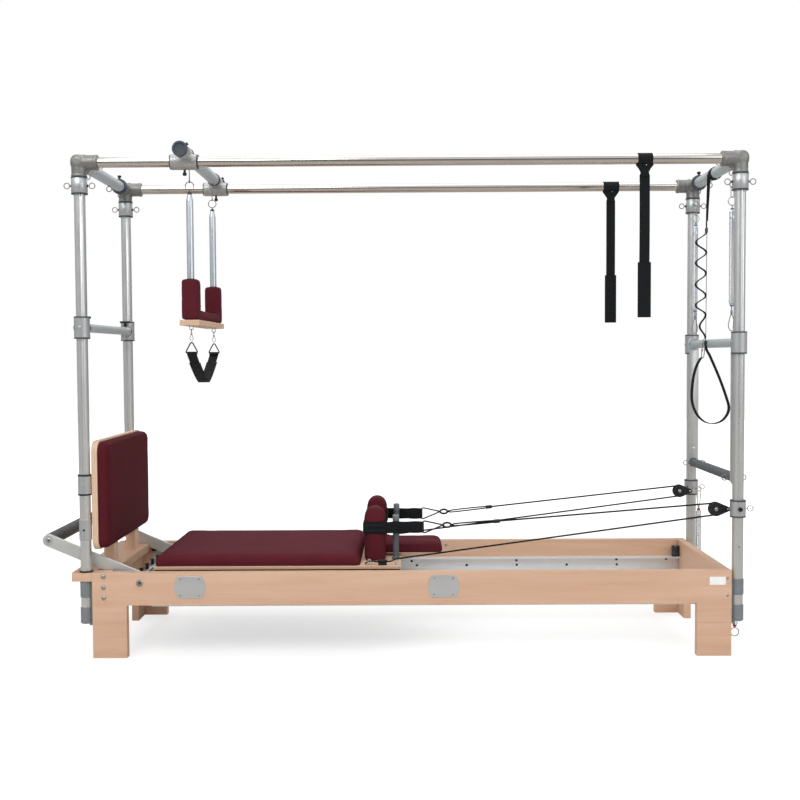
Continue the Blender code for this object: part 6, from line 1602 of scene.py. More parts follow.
# Foot end

def jumpboard():
    """A ply panel with a padded face on two beech legs."""
    left, ply, (width, height) = JUMPBOARD_LEFT, JUMPBOARD_PLY, JUMPBOARD_SIZE
    bottom, pad, corner = JUMPBOARD_BOTTOM, 0.036, 0.045
    middle = bottom + height / 2
    outline = rounded(width / 2, height / 2, corner, 12, (0.0, middle), 2)
    faces, edges = split(slab(outline, left, left + ply, "YZ", 0.0016), 0)
    legs, caps = [], []
    for _, sign in SIDES:
        low = (left + 0.002, sign * JUMPBOARD_LEG_Y - 0.03, bottom - 0.148)
        high = (left + 0.044, sign * JUMPBOARD_LEG_Y + 0.03, bottom + 0.0035)
        legs.append(block(low, high, 0.0025, 0.004))
        for dz in (0.035, 0.1):
            caps.append(dome((left, sign * JUMPBOARD_LEG_Y, bottom + dz), (-1, 0, 0), 0.0072, 0.0026))
    for y in (-0.26, 0.26):
        for z in (bottom + 0.06, bottom + height - 0.06):
            caps.append(dome((left, y, z), (-1, 0, 0), 0.0055, 0.0018))
    piece("jump_panel", [(faces, BIRCH_ACROSS), (edges, PLY_UPRIGHT), (legs, BEECH_UPRIGHT), (caps, ZINC)],
          "jumpboard_panel")
    inset = 0.001
    half_u, half_v, gap = height / 2 - inset, width / 2 - inset, 0.001
    flat = cushion((-half_u + gap, -half_v + gap, 0.0), (half_u - gap, half_v - gap, pad + 0.005),
                   corner - inset, 0.004, 0.014)
    bound = (-half_u - gap, -half_v - gap, 0), (half_u + gap, half_v + gap, pad + 0.0075)
    flat = puffed(flat, 0.006, 0.0032, bound=bound)
    points = np.stack([flat[0][:, 2] + left + ply + 0.0003, flat[0][:, 1], -flat[0][:, 0] + middle], -1)
    shape = outward(points, flat[1])
    made = piece("jump_cushion", [(shape, VINYL_DARK)], "jumpboard_pad", sharp=80)


def foot_rest_bar():
    """The footbar: two flat arms with round ends, pivot bosses and the foam-covered tube between them."""
    px, pz = FOOTBAR_PIVOT
    gx = px - FOOTBAR_REACH * cos(radians(FOOTBAR_ANGLE))
    gz = pz + FOOTBAR_REACH * sin(radians(FOOTBAR_ANGLE))
    half, lean = FOOTBAR_ARM_HALF, 180 - FOOTBAR_ANGLE
    outline = [*circle((px, pz), half, lean - 270, lean - 90, 20),
               *circle((gx, gz), half, lean - 90, lean + 90, 20)]
    arms, bosses, dark, rings = [], [], [], []
    for _, sign in SIDES:
        y = sign * FOOTBAR_Y
        arms.append(slab(outline, y - FOOTBAR_ARM_THICK / 2, y + FOOTBAR_ARM_THICK / 2, "XZ", 0.0016))
        seat = sign * (INNER_Y - 0.0056)
        bosses.append(bar((px, y, pz), (px, seat, pz), 0.013, 0.001, 32))
        bosses.append(capped([(12.5, 0), (12.5, 2), (10.5, 4), (4.5, 4), (4, 2.5)],
                             (px, y - sign * 0.0058, pz), (0, -sign, 0), 32))
        rings.append(lathe([(0.0095, 0), (0.0178, 0), (0.0178, 0.0007), (0.0165, 0.0012), (0.011, 0.0012),
                            (0.0095, 0.0007), (0.0095, 0)], (gx, y + sign * 0.0058, gz), (0, sign, 0), 40))
        bosses.append(capped([(9.5, 0), (9.5, 1.2), (7.8, 2.6), (3.4, 2.8)], (gx, y + sign * 0.0058, gz),
                             (0, sign, 0), 32))
        dark.append(capped([(3, 0), (3, 0.4)], (gx, y + sign * 0.0085, gz), (0, sign, 0), 20))
    inner = FOOTBAR_Y - 0.0062
    grip = [(0, 0), (0.0235, 0), (0.025, 0.0018), (0.025, 2 * inner - 0.0018), (0.0235, 2 * inner),
            (0, 2 * inner)]
    foam = lathe(grip, (gx, -inner, gz), ACROSS, 48)
    piece("foot_rest_bar", [(arms, ARM_METAL), (bosses, ZINC), (rings, PAINT), (dark, BLACK), (foam, GRIP)],
          "footbar")


# Trapeze

def trapeze_bridge():
    """The rolling bridge: a tube across both top rails with dark end caps, sleeves, thumb screws and eyes."""
    x, z, half = CARRIER_X, CARRIER_Z, CARRIER_HALF
    tube = bar((x, -half + 0.012, z), (x, half - 0.012, z), CARRIER_RADIUS, steps=48)
    caps, bushes, black, eyes, saddles = [], [], [], [], []
    reach, rail = 0.0535, TOP_RAIL_HEIGHT
    for _, sign in SIDES:
        y = sign * POST_Y
        profile = [(0.02, -0.0005), (0.0285, -0.0005), (0.02925, 0.001), (0.02925, 0.013), (0.028, 0.0148),
                   (0.0235, 0.0156), (0.0215, 0.015), (0.0208, 0.0112), (0.012, 0.0104), (0, 0.0104)]
        caps.append(lathe([(0, -0.0005), *profile], (x, sign * (half - 0.0157), z), (0, sign, 0), 48))
        sleeve = mirrored([(0.0192, reach - 0.0035), (0.0282, reach - 0.0035), (0.0295, reach - 0.005)])
        ring = mirrored([(0.0242, 0.03), (0.0262, 0.03), (0.0272, 0.028)])
        saddles.append(fused([lathe(sleeve, (x, y, rail), ALONG, 48), lathe(ring, (x, y, z), ACROSS, 48)],
                             0.0016, 4))
        for end in (-1, 1):
            ring_ = [(0.0192, 0), (0.0268, 0), (0.0276, 0.001), (0.0276, 0.0036), (0.0192, 0.0036),
                     (0.0192, 0)]
            bushes.append(lathe(ring_, (x + end * (reach - 0.0037), y, rail), (end, 0, 0), 44))
        bushes.append(pipe(-0.006, 0.006, CARRIER_RADIUS, 0.0285, 0.0015,
                           start=(x, y - sign * 0.046, z), axis=ACROSS))
        low = rail - 0.0295
        black += thumb_screw((x + 0.001, y, low + 0.001), DOWN, 0.0225, 0.0072)
        black += thumb_screw((x + 0.017, sign * (half - 0.03), z + 0.017), (0.7071, 0, 0.7071), 0.0112,
                             0.0058)
        hang = TRAPEZE_RING_Z + 0.0165 + 0.0068 - 0.0034 - 0.0005
        ty = sign * TRAPEZE_Y
        eyes.append(torus((x, ty, hang), ALONG, 0.0068, 0.0032, 28, 8))
        if sign < 0:
            eyes.append(bar((x, ty, hang + 0.0058), (x, ty, z - 0.012), 0.0019, 0.0002, 14))
        else:
            eyes.append(torus((x, ty, z - 0.036), ACROSS, 0.0105, 0.0036, 30, 8))
            for k in range(3):
                middle = z - 0.05 - 0.0115 * k
                facing = ALONG if k % 2 else ACROSS
                side = np.array((0.0036, 0, 0) if k % 2 == 0 else (0, 0.0036, 0))
                at = np.array((x, ty, middle))
                line = [at + side + (0, 0, 0.0045), at + (0, 0, 0.0078), at - side + (0, 0, 0.0045),
                        at - side - (0, 0, 0.0045), at - (0, 0, 0.0078), at + side - (0, 0, 0.0045)]
                eyes.append(wire(smooth_line(line, 24, True), 0.0026, True, facing))
        eyes.append(capped([(4.8, 0), (4.8, 4), (3.6, 5.5)], (x, ty, z - 0.0235), DOWN, 6))
    parts = [(tube, PAINT), (caps + bushes, CAP), (saddles, CAST_LIGHT), (black, BLACK), (eyes, HOOK_METAL)]
    piece("rolling_bridge", parts, "trapeze_carrier", sharp=50)


def trapeze_tubes():
    """The two tubes that the trapeze's board hangs on."""
    for side, sign in SIDES:
        x, y = CARRIER_X, sign * TRAPEZE_Y
        r, tip, low = TRAPEZE_TUBE_RADIUS, TRAPEZE_TIP, BOARD_TOP + 0.0003
        taper = tip - 0.0345
        body = lathe([(0, low), (r, low), (r, taper), (r - 0.0008, taper + 0.006), (0.0108, taper + 0.016),
                      (0.0092, tip - 0.011), (0.0088, tip - 0.0085), (0, tip - 0.0085)], (x, y, 0), UP, 48)
        plug = lathe([(0, tip - 0.0085), (0.0086, tip - 0.0085), (0.0086, tip - 0.0015), (0.0072, tip),
                      (0, tip)], (x, y, 0), UP, 36)
        ring_ = torus((x, y, TRAPEZE_RING_Z), ACROSS, 0.0164, 0.0037, 40, 10)
        stem = bar((x, y, tip - 0.003), (x, y, TRAPEZE_RING_Z - 0.0158), 0.0024, 0.0003, 14)
        neck = capped([(4.6, 0), (4, 3.5)], (x, y, tip - 0.0003), UP, 20)
        piece(f"{side}_trapeze_hanger", [(body, TUBE_METAL), ([plug, neck], CAP),
                                         ([ring_, stem], HOOK_METAL)], f"{side}_trapeze_tube")


def trapeze_seat():
    """The U-shaped pad: the outline in the Y-Z plane with round corners, crowned and rolled toward both
    faces."""
    half, low, top = 0.0325, BOARD_TOP + 0.0003, SEAT_PAD_TOP
    outer, inner = TRAPEZE_Y + 0.029, TRAPEZE_Y - 0.029
    seat = low + 0.036
    c = 0.014
    corners = [(-outer, low), (outer, low), (outer, top), (inner, top), (inner, seat), (-inner, seat),
               (-inner, top), (-outer, top)]
    line = eased(corners, [0.008, 0.008, c, c, 0.028, 0.028, c, c], 7, True)
    steps = []
    for a, b in zip(line, np.roll(line, -1, 0)):
        count = max(int(np.linalg.norm(b - a) / 0.006), 1)
        steps.append(a + (b - a) * (np.arange(count) / count)[:, None])
    line = np.vstack(steps)
    after, before = np.roll(line, -1, 0) - line, line - np.roll(line, 1, 0)
    out = np.stack([after[:, 1] + before[:, 1], -after[:, 0] - before[:, 0]], -1)
    out /= np.linalg.norm(out, axis=1, keepdims=True)
    area = np.sum(line[:, 0] * np.roll(line[:, 1], -1) - np.roll(line[:, 0], -1) * line[:, 1])
    out *= 1 if area > 0 else -1
    loops = []
    for inset, off in ((0.011, 0.0), (0.0062, 0.001), (0.003, 0.0036), (0.0012, 0.0075), (0.0006, 0.013),
                       (0.0, 0.0325)):
        loops.append((inset, -half + off))
    loops += [(inset, -place) for inset, place in loops[::-1][1:]]
    rings = [np.column_stack([np.full(len(line), CARRIER_X + place), line - out * inset])
             for inset, place in loops]
    shape = puffed(skin(rings), 0.004, 0.0024, held=lambda p: p[:, 2] < low + 0.004,
                   bound=((CARRIER_X - half - 0.0012, -outer - 0.001, low),
                          (CARRIER_X + half + 0.0012, outer + 0.001, top + 0.001)))
    rims = [pipe(top - 0.003, top + 0.0008, 0.0139, 0.0162, 0.0006, start=(CARRIER_X, s * TRAPEZE_Y, 0))
            for s in (-1, 1)]
    made = piece("trapeze_seat_cushion", [(shape, VINYL), (rims, SEAM)], "trapeze_pad", sharp=80)


def trapeze_plank():
    """The trapeze's wooden board, with the eyes that its sling hangs on."""
    half_x, half_y, bottom = 0.0385, 0.28, BOARD_TOP - 0.0217
    outline = box_outline((CARRIER_X - half_x, -half_y), (CARRIER_X + half_x, half_y), 0.005, 4)
    faces, edges = split(slab(outline, bottom, BOARD_TOP, "XY", 0.0016), 2)
    eyes = []
    for _, sign in SIDES:
        y = sign * TRAPEZE_Y
        eyes.append(torus((CARRIER_X, y, SLING_PIVOT + 0.008), ACROSS, 0.008, 0.003, 28, 8))
        eyes.append(capped([(8.5, 0), (8, 1.4), (4.2, 2)], (CARRIER_X, y, bottom), DOWN, 24))
    piece("trapeze_plank", [(faces, BOARD), (edges, PLY), (eyes, ZINC)], "trapeze_board")


def trapeze_webbing():
    """Snap hooks, black triangle rings and the sagging band: z = low + (top - low) * |y / Y| ^ 1.28,
    with a wider layer under its middle."""
    x, top = CARRIER_X, SLING_PIVOT
    hooks, triangles, layers = [], [], []
    for _, sign in SIDES:
        y = sign * TRAPEZE_Y
        hooks.append(torus((x, y, top + 0.003 - 0.0062), ALONG, 0.0062, 0.0024, 24, 8))
        hooks.append(capped([(2.2, 0), (3.4, 2), (3.4, 9), (2.4, 11)], (x, y, top - 0.01), DOWN, 20))
        pear = [(x, y, top - 0.019), (x + 0.005, y, top - 0.026), (x + 0.0058, y, top - 0.036),
                (x, y, top - 0.0425), (x - 0.0058, y, top - 0.036), (x - 0.005, y, top - 0.026)]
        hooks.append(wire(smooth_line(pear, 40, True), 0.0026, True, ACROSS))
        low = SLING_RING_Z - 0.02
        corners = [(x - 0.0255, y, low), (x + 0.0255, y, low), (x, y, low + 0.0475)]
        triangles.append(wire(eased(corners, [0.012, 0.012, 0.014], 7, True), 0.005, True, ACROSS))
    low, bottom = SLING_RING_Z - 0.0225, SLING_BOTTOM
    y = np.linspace(-1, 1, 61)
    line = np.stack([np.full(61, x), TRAPEZE_Y * y,
                     bottom + 0.0025 + (low - bottom - 0.004) * np.abs(y) ** 1.28], -1)
    inner = np.abs(y) < 0.8
    layers.append(webbing(line, SLING_WIDE, 0.003))
    layers.append(webbing(line[inner] + (0, 0, -0.0022), 0.045, 0.0026))
    for _, sign in SIDES:
        yy = sign * TRAPEZE_Y
        wrap = smooth_line([(x, yy - sign * 0.018, low - 0.004), (x, yy - sign * 0.004, low + 0.0015),
                            (x, yy + sign * 0.0028, low + 0.0045), (x, yy, low + 0.0075),
                            (x, yy - sign * 0.004, low + 0.005), (x, yy - sign * 0.02, low - 0.0022)], 24)
        layers.append(webbing(wrap, SLING_WIDE - 0.001, 0.002))
    parts = [(hooks, ZINC), (triangles, CASE), (layers, WEBBING)]
    piece("sling_band", parts, "trapeze_sling")


# Straps, arm springs and the daisy chain

def long_straps():
    """Webbing choked round the top rail, hanging to a padded cuff: the band bows out of its plane by
    1.2 mm * sin(pi t), and the cuff is a sewn sleeve with rounded edges."""
    x, high = STRAP_X, TOP_RAIL_HEIGHT
    for side, sign in SIDES:
        y = sign * POST_Y
        near = side == "near"
        radius = TOP_RAIL_RADIUS + 0.0024
        turn = np.radians(np.linspace(-62, 242, 40))
        wrap = np.stack([np.full(40, x), y + radius * np.cos(turn), high + radius * np.sin(turn)], -1)
        closing = [(x, y + 0.005, high - 0.024), *wrap, (x, y - 0.005, high - 0.024)]
        cinch = webbing(smooth_line(closing, 60), 0.055 if near else 0.068, 0.0026)
        knot_path = [(x, y, high - 0.016 - 0.049 * t) for t in np.linspace(0, 1, 16)]
        spread = [1.45, 1.72, 1.12, 0.77, 0.97] if near else [1.72, 1.82, 1.3, 0.82, 0.95]
        wide = np.interp(np.linspace(0, 1, 16), [0, 0.1, 0.4, 0.68, 1], spread)
        knot = sweep(knot_path, strip(0.04, 0.014, 0.005, 4), ACROSS,
                     scale=np.stack([wide, np.linspace(1.25, 0.7, 16)], -1))
        t = np.linspace(0, 1, 40)[:, None]
        band_line = np.array([x, y, high - 0.06]) + t * np.array([0, 0, STRAP_END - (high - 0.06)])
        band_line = band_line + np.sin(pi * t) * (0.0004, 0.0012 * sign, 0)
        band = sweep(band_line, strip(0.039, 0.0024), ACROSS)
        second = sweep(band_line + (0.0, 0.0026, 0), strip(0.0375, 0.002), ACROSS)
        down = np.linspace(0, 1, 30)[:, None] * np.array([0, 0, CUFF_BOTTOM - CUFF_TOP])
        cuff_line = np.array([x, y, CUFF_TOP]) + down
        swell = 1 - 0.1 * np.abs(np.linspace(-1, 1, 30)) ** 6
        cuff = sweep(cuff_line, strip(0.05, 0.0115, 0.0045, 4), ACROSS,
                     scale=np.stack([np.ones(30) * 0.995, swell], -1))
        stitches = []
        lines = (1.396,) if near else (1.45, 1.342)
        for z in (*lines, CUFF_TOP - 0.007, CUFF_BOTTOM + 0.007):
            for face in (-1, 1):
                bow = (-0.021, 0.0058), (0, 0.0059), (0.021, 0.0058)
                stitches.append(thread([(x + dx, y + face * dy, z) for dx, dy in bow], 0.001))
        if near:
            for z in (1.672, 1.662):
                line = [(x + dx, y - dy, z) for dx, dy in ((-0.017, 0.0013), (0, 0.0014), (0.017, 0.0013))]
                stitches.append(thread(line, 0.0011))
        staple = wire([(x + 0.004, y - 0.0085, high - 0.02), (x + 0.004, y - 0.0095, high - 0.0225),
                       (x + 0.004, y - 0.009, high - 0.0255)], 0.0022, up=ALONG)
        parts = [([cinch, knot, band, second, cuff], WEBBING), (stitches, SEAM_BLACK), (staple, ZINC)]
        piece(f"{side}_long_strap", parts, f"{side}_hanging_strap")


def pear_hook(x, y, top, length, half):
    """A snap hook's pear-shaped wire, hanging from its top."""
    sides = ((0.003, 0), (half, -length * 0.55), (half * 0.75, -length * 0.88))
    line = [(x + u, y, top + v) for u, v in sides] + [(x, y, top - length + 0.0006)]
    line += [(x - u, y, top + v) for u, v in sides[::-1]]
    return wire(smooth_line(line, 48, True), 0.0034, True, ACROSS)


def arm_springs():
    """Close-wound springs with dipped tips: the upper pair hang by rings, the lower by snap hooks."""
    for side, sign in SIDES:
        y = sign * ARM_SPRING_Y
        x, top, length = UPPER_SPRING
        bottom = top - length
        ring_z = top + 0.027
        coil = helix((x, y, top - 0.01), (x, y, bottom + 0.012), COIL_RADIUS, 124, COIL_WIRE)
        tip = capped([(5.8, 0), (6.6, 1), (6.6, 5), (5.8, 6.2)], (x, y, top - 0.0005), DOWN, 32)
        shoulder = capped([(5.8, 5), (7.8, 12), (9.8, 21), (11, 32), (11.3, 40)], (x, y, top - 0.0005), DOWN,
                          32)
        foot = capped([(6.6, 4), (10, 12), (11.2, 22)], (x, y, bottom + 0.0005), UP, 32)
        low_tip = lathe([(0, 0), (0.0058, 0), (0.007, 0.001), (0.007, 0.0045), (0, 0.0052)],
                        (x, y, bottom + 0.0005), UP, 32)
        stem = bar((x, y, top - 0.002), (x, y, ring_z - 0.0158), 0.0025, 0.0003, 14)
        loop = torus((x, y, ring_z), ACROSS, 0.0161, EYE_WIRE, 40, 10)
        link_top = COLLAR_TOP - COLLAR_HEIGHT / 2 - EYE_RADIUS + 0.0039
        link_low, half = ring_z + 0.0161, 0.0055
        shackle = wire(eased([(x - half, y, link_low - 0.002), (x - half, y, link_top),
                              (x + half, y, link_top), (x + half, y, link_low - 0.002)], 0.0052, 6, True),
                       0.0032, True, ACROSS)
        lower = bar((x, y, bottom + 0.002), (x, y, bottom - 0.034), 0.0024, 0.0003, 14)
        barrel = capped([(3.6, 0), (4.4, 2), (4.4, 15), (3.4, 18)], (x, y, bottom - 0.0135), DOWN, 20)
        gate = bar((x + 0.008, y, bottom - 0.05), (x + 0.006, y, bottom - 0.0845), 0.0013, 0.0002, 10)
        hook = pear_hook(x, y, bottom - 0.033, 0.061, 0.0115)
        parts = [(coil, SPRING), ([tip, low_tip], BLUE), ([shoulder, foot], TUBE_METAL),
                 ([stem, loop, shackle, lower], ZINC), ([barrel, gate, hook], HOOK_METAL)]
        piece(f"{side}_upper_coil", parts, f"{side}_upper_arm_spring")
        x, top, length = LOWER_SPRING
        bottom = top - length
        coil = helix((x, y, top - 0.01), (x, y, bottom + 0.01), COIL_RADIUS, 128, COIL_WIRE)
        tip = capped([(6, 0), (7, 1.2), (7.4, 8.5), (6.6, 10)], (x, y, top - 0.0005), DOWN, 32)
        shoulder = capped([(6.6, 9), (8.8, 16), (10.8, 26), (11.3, 36)], (x, y, top - 0.0005), DOWN, 32)
        foot = capped([(5.6, 0), (7, 1.2), (7.8, 8), (7, 9.6)], (x, y, bottom + 0.0005), UP, 32)
        taper = capped([(7, 9), (9.8, 16), (11.2, 26)], (x, y, bottom + 0.0005), UP, 32)
        hook_top = PULLEY_Z - EYE_RADIUS + 0.0039
        points = [(x - 0.003, y, top + 0.009), (x + 0.003, y, top + 0.009)]
        arc_ = ((0.0085, -0.016), (0.0072, -0.0042), (0, 0), (-0.0072, -0.0042), (-0.0085, -0.016))
        points += [(x + u, y, hook_top + v) for u, v in arc_]
        hook = wire(smooth_line(points, 56, True), 0.0034, True, ACROSS)
        stem = bar((x, y, top - 0.002), (x, y, top + 0.01), 0.0025, 0.0003, 14)
        barrel = capped([(3.6, 0), (4.4, 1.5), (4.4, 10.5), (3.4, 12)], (x, y, top + 0.0005), UP, 20)
        gate = bar((x - 0.0055, y, top + 0.02), (x - 0.0052, y, hook_top - 0.012), 0.0013, 0.0002, 10)
        drop = bar((x, y, bottom + 0.002), (x, y, bottom - 0.005), 0.0025, 0.0003, 14)
        loop = torus((x, y, bottom - 0.004 - 0.0161), ACROSS, 0.0161, EYE_WIRE, 40, 10)
        parts = [(coil, SPRING), ([tip, foot], RED), ([shoulder, taper], TUBE_METAL),
                 ([hook, stem, barrel, gate, drop, loop], ZINC)]
        piece(f"{side}_lower_coil", parts, f"{side}_lower_arm_spring")


def chain_strap():
    """The sewn chain: a straight run, waves that lie depth * sin(pi t) ^ 2 off it, a hook and a long loop."""
    x, y, high = POST_X, DAISY_Y, TOP_RAIL_HEIGHT
    (neck_x, neck_z), (foot_x, foot_z) = DAISY_NECK, DAISY_FOOT

    def run(z):
        """The straight run's x at a height."""
        return neck_x + (foot_x - neck_x) * (z - neck_z) / (foot_z - neck_z)

    radius = CROSS_RADIUS + 0.0016
    turn = np.radians(np.linspace(188, -196, 60))
    grow = 1 + 0.0022 / radius * np.linspace(0, 1, 60)
    wrap = np.stack([x + radius * grow * np.cos(turn), np.full(60, y - 0.05),
                     high + radius * grow * np.sin(turn)], -1)
    straight = [(run(z), y, z) for z in np.linspace(neck_z, foot_z + 0.004, 60)]
    entry = smooth_line([(x - radius - 0.0012, y - 0.05, high - 0.006),
                         (x - radius - 0.001, y - 0.046, high - 0.03), (1.2262, y - 0.026, high - 0.09),
                         (1.2285, y - 0.01, 1.745), (neck_x, y, neck_z)], 30)
    thin = np.stack([np.ones(30), np.linspace(1.0, 0.55, 30)], -1)
    band = strip(0.002, 0.016, 0.0009)
    edge_on, turned, wide_on = (0.24, 0.97, 0), (-0.2, 0.98, 0), (-0.38, 0.925, 0)
    layers = [sweep(wrap, strip(0.0022, 0.03, 0.0009), ACROSS),
              sweep(entry, strip(0.0024, 0.0165, 0.001), (-0.72, 0.69, 0), scale=thin),
              sweep(straight, band, edge_on)]
    start, bars = DAISY_BUCKLE - 0.005, []
    for end, depth in DAISY_WAVES:
        t = np.linspace(0, 1, 36)
        z = start + (end - start) * t
        off = depth * np.sin(pi * t) ** 2 + 0.0018
        layers.append(sweep(np.stack([run(z) - off, np.full(36, y), z], -1), strip(0.0022, 0.016, 0.0008),
                            turned))
        for dz in (-0.0035, 0.0, 0.0035):
            bow = (0.0029, -0.006), (0.003, 0), (0.0029, 0.006)
            bars.append(thread([(run(end) - dx, y + dy, end + dz) for dx, dy in bow], 0.0009, ALONG))
        start = end
    z = np.linspace(neck_z, DAISY_BUCKLE - 0.005, 10)
    layers.append(sweep(np.stack([run(z) - 0.0021, np.full(10, y), z], -1), strip(0.002, 0.0155, 0.0009),
                        ACROSS))
    at, level = run(DAISY_BUCKLE), DAISY_BUCKLE
    buckle = [block((at - 0.0058, y - 0.0105, level + dz), (at + 0.0022, y + 0.0105, level + dz + 0.005),
                    0.001) for dz in (-0.008, 0.006)]
    for _, sign in SIDES:
        side = y + sign * 0.0092
        buckle.append(block((at - 0.0052, side - 0.0013, level - 0.005),
                            (at + 0.0016, side + 0.0013, level + 0.008), 0.0006))
    drawn_in = [(min(u, LOOP_WIDE + (u - LOOP_WIDE) * LOOP_SQUEEZE), y, v) for u, v in DAISY_LOOP]
    loop = smooth_line(drawn_in, 220)
    layers.append(sweep(loop, strip(0.0036, 0.0156, 0.0014), wide_on))
    hook = wire(smooth_line([(u, y, v) for u, v in DAISY_HOOK], 60, True), 0.0038, True, ACROSS)
    sleeve = capped([(3, 0), (3.4, 1), (3.4, 12), (3, 13)], (1.2128, y, 1.162), (0.1, 0, 1), 16)
    parts = [(layers, WEBBING), (bars, SEAM_BLACK), (buckle, CAP), ([hook, sleeve], ZINC)]
    piece("sewn_chain_strap", parts, "daisy_strap")


# The picture

CAMERA_PLACE = (SHIFT - 0.0159, -4.4072, 1.1555)
CAMERA_TURN = (0.0423, -0.0058, -0.0056)  # pitch, yaw and roll in radians
FOCAL_PIXELS, PICTURE_PIXELS, SENSOR = 1070, 800, 36
FLOOR_LOW, FLOOR_HIGH = (-9, -7), (9, 14)


def camera():
    """The photograph's view, looking a little down."""
    pitch, yaw, roll = CAMERA_TURN
    look = Vector((sin(yaw) * cos(pitch), cos(yaw) * cos(pitch), -sin(pitch)))
    right = Vector((cos(yaw), -sin(yaw), 0))
    up = right.cross(look)
    right, up = cos(roll) * right + sin(roll) * up, -sin(roll) * right + cos(roll) * up
    made = bpy.data.objects.new("Camera", bpy.data.cameras.new("Camera"))
    made.data.sensor_width = SENSOR
    made.data.lens = FOCAL_PIXELS / PICTURE_PIXELS * SENSOR
    made.data.clip_end = 60
    turn = Matrix((right, up, -look)).transposed().to_4x4()
    made.matrix_world = Matrix.Translation(CAMERA_PLACE) @ turn
    bpy.context.scene.collection.objects.link(made)
    bpy.context.scene.camera = made


def lamp(name, place, aim, size, power):
    """A rectangle of light that looks at a point."""
    data = bpy.data.lights.new(name, "AREA")
    data.shape = "RECTANGLE"
    data.size, data.size_y = size
    data.energy = power
    made = bpy.data.objects.new(name, data)
    made.location = place
    made.rotation_euler = (Vector(aim) - Vector(place)).to_track_quat("-Z", "Y").to_euler()
    bpy.context.scene.collection.objects.link(made)


def ramp(tree, value, ends, stops):
    """A colour for each place of a value: grey levels or (r, g, b)."""
    made = put(tree, "ValToRGB", {0: value})
    elements = made.color_ramp.elements
    elements[0].position, elements[0].color = 0.0, (*ends[0], 1)
    elements[1].position, elements[1].color = 1.0, (*ends[1], 1)
    for position, colour in stops:
        elements.new(position).color = (*colour, 1)
    return made.outputs[0]


def studio():
    """White behind for the camera, a plain bright dome for light, and for gloss a bright ceiling over grey
    walls, with the dark end of the room, from where the picture is taken, low down in front."""
    world = bpy.data.worlds.new("Studio")
    bpy.context.scene.world = world
    world.use_nodes = True
    tree = world.node_tree
    tree.nodes.clear()
    _, depth, height = put(tree, "SeparateXYZ", {0: put(tree, "TexCoord").outputs["Generated"]}).outputs
    level = span_of(tree, height, -1, 1)
    dome_stops = (0.44, (0.6, 0.58, 0.56)), (0.5, (0.3, 0.285, 0.27)), (0.56, (0.62,) * 3), (0.68,
                                                                                             (0.92, 0.92,
                                                                                              0.93))
    wall_stops = (0.47, (0.5,) * 3), (0.52, (0.42,) * 3), (0.6, (0.62,) * 3), (0.7, (1.0,) * 3)
    sky = ramp(tree, level, ((0.62, 0.6, 0.58), (1.0,) * 3), dome_stops)
    walls = ramp(tree, level, ((0.55, 0.53, 0.51), (1.0,) * 3), wall_stops)
    seen = put(tree, "Background", {"Color": (1, 1, 1, 1), "Strength": 1.0})
    light = put(tree, "Background", {"Color": sky, "Strength": 0.8})
    facing = span_of(tree, depth, -0.7, -0.93)
    low = maths(tree, "MULTIPLY", span_of(tree, height, -0.16, -0.02), span_of(tree, height, 0.42, 0.24))
    shade = span_of(tree, maths(tree, "MULTIPLY", facing, low), 0, 1, 0.8, 0.24)
    behind = span_of(tree, depth, 0.3, 0.6)
    mid = maths(tree, "MULTIPLY", span_of(tree, height, -0.3, -0.06), span_of(tree, height, 0.9, 0.7))
    shade = maths(tree, "MULTIPLY", shade, span_of(tree, maths(tree, "MULTIPLY", behind, mid), 0, 1, 1.0,
                                                   0.4))
    gloss = put(tree, "Background", {"Color": walls, "Strength": shade})
    paths = put(tree, "LightPath").outputs
    rest = put(tree, "MixShader", {0: paths["Is Glossy Ray"], 1: light.outputs[0], 2: gloss.outputs[0]})
    mixed = put(tree, "MixShader", {0: paths["Is Camera Ray"], 1: rest.outputs[0], 2: seen.outputs[0]})
    tree.links.new(mixed.outputs[0], put(tree, "OutputWorld").inputs[0])
    lamp("Key", (SHIFT - 2.2, -3.6, 4.4), (SHIFT, 0, 0.6), (3.4, 2.4), 92)
    lamp("Fill", (SHIFT + 3.2, -3.2, 2.6), (SHIFT, 0, 0.7), (2.6, 2.6), 34)
    lamp("Top", (SHIFT, 0.6, 5.0), (SHIFT, 0, 0), (4.0, 3.0), 62)
    lamp("Back", (SHIFT, 4.2, 3.2), (SHIFT, 0, 0.8), (4.0, 1.6), 26)


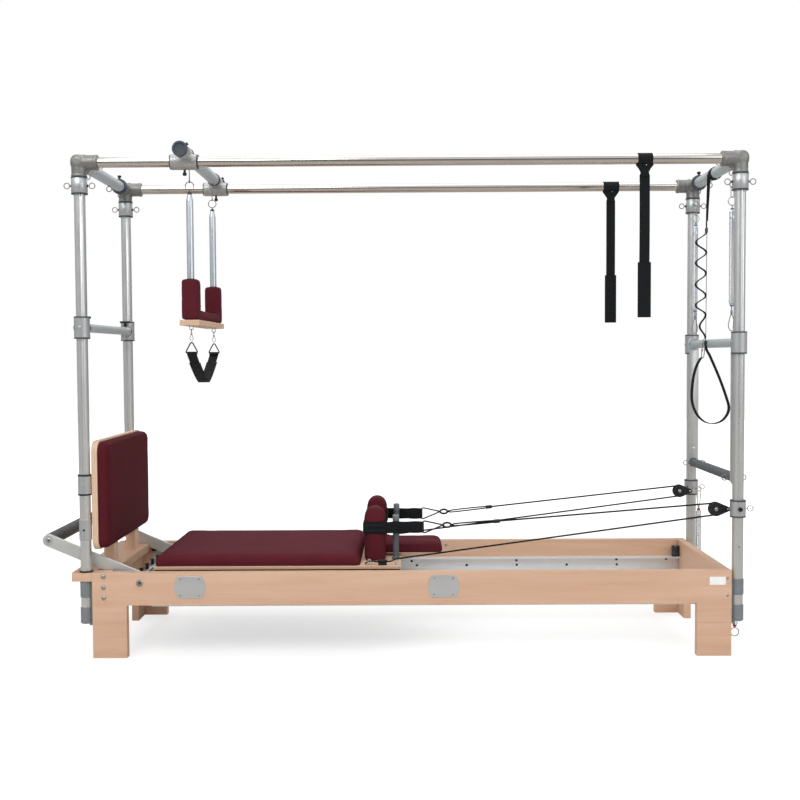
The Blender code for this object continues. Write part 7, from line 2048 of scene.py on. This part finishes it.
def floor():
    """A pale floor that the camera sees as white where nothing shades it, and a painted shadow: a soft
    rectangle under and behind the frame that the camera sees dimmer.
    """
    mesh = bpy.data.meshes.new("Floor")
    (x0, y0), (x1, y1) = FLOOR_LOW, FLOOR_HIGH
    mesh.from_pydata([(x0, y0, 0), (x1, y0, 0), (x1, y1, 0), (x0, y1, 0)], [], [(0, 1, 2, 3)])
    made = bpy.data.objects.new("Floor", mesh)
    bpy.context.scene.collection.objects.link(made)
    look = Look("Pale floor", Roughness=0.9, Specular_IOR_Level=0.1)
    grain = noise(look.tree, look.place, 3.0)
    pale = look.mix(look.range(grain, 0.3, 0.7, 0, 0.3), "f6f6f6", "f2f2f2")
    rays = put(look.tree, "LightPath").outputs["Is Camera Ray"]
    glossy = put(look.tree, "LightPath").outputs["Is Glossy Ray"]
    look.set("Base Color", look.mix(rays, look.mix(glossy, pale, "b4ada5"), "a0a0a0"))
    look.shader.inputs["Emission Color"].default_value = (1, 1, 1, 1)
    away = put(look.tree, "VectorMath", {0: look.place}, operation="LENGTH").outputs["Value"]
    spot = put(look.tree, "SeparateXYZ", {0: look.place}).outputs
    # Painted shadow: in a soft rectangle under and behind the frame the camera-ray glow is cut to 0.86,
    # whatever the lamps do.
    across = maths(look.tree, "MULTIPLY", look.range(spot[0], -1.14, -1.04), look.range(spot[0], 1.24, 1.14))
    along = maths(look.tree, "MULTIPLY", look.range(spot[1], -0.3, -0.06), look.range(spot[1], 1.6, 1.0))
    painted_shadow = look.range(maths(look.tree, "MULTIPLY", across, along), 0.0, 1.0, 1.0, 0.86)
    glow = maths(look.tree, "MULTIPLY", look.range(away, 2.0, 4.0, 0.74, 1.0), painted_shadow)
    look.set("Emission Strength", maths(look.tree, "MULTIPLY", rays, glow))
    mesh.materials.append(look.material)


def build():
    camera()
    ropes()
    wooden_frame()
    tracks()
    spring_anchor()
    dressed_springs()
    carriage_board()
    carriage_underneath()
    rope_posts()
    carriage_pads()
    foot_loops()
    pulleys()
    jumpboard()
    foot_rest_bar()
    posts()
    corner_fittings()
    top_rails()
    cross_tubes()
    foot_bar()
    head_bar()
    push_through()
    trapeze_bridge()
    trapeze_tubes()
    trapeze_seat()
    trapeze_plank()
    trapeze_webbing()
    long_straps()
    arm_springs()
    chain_strap()
    studio()
    floor()
    bpy.context.scene.view_settings.view_transform = "Standard"


build()
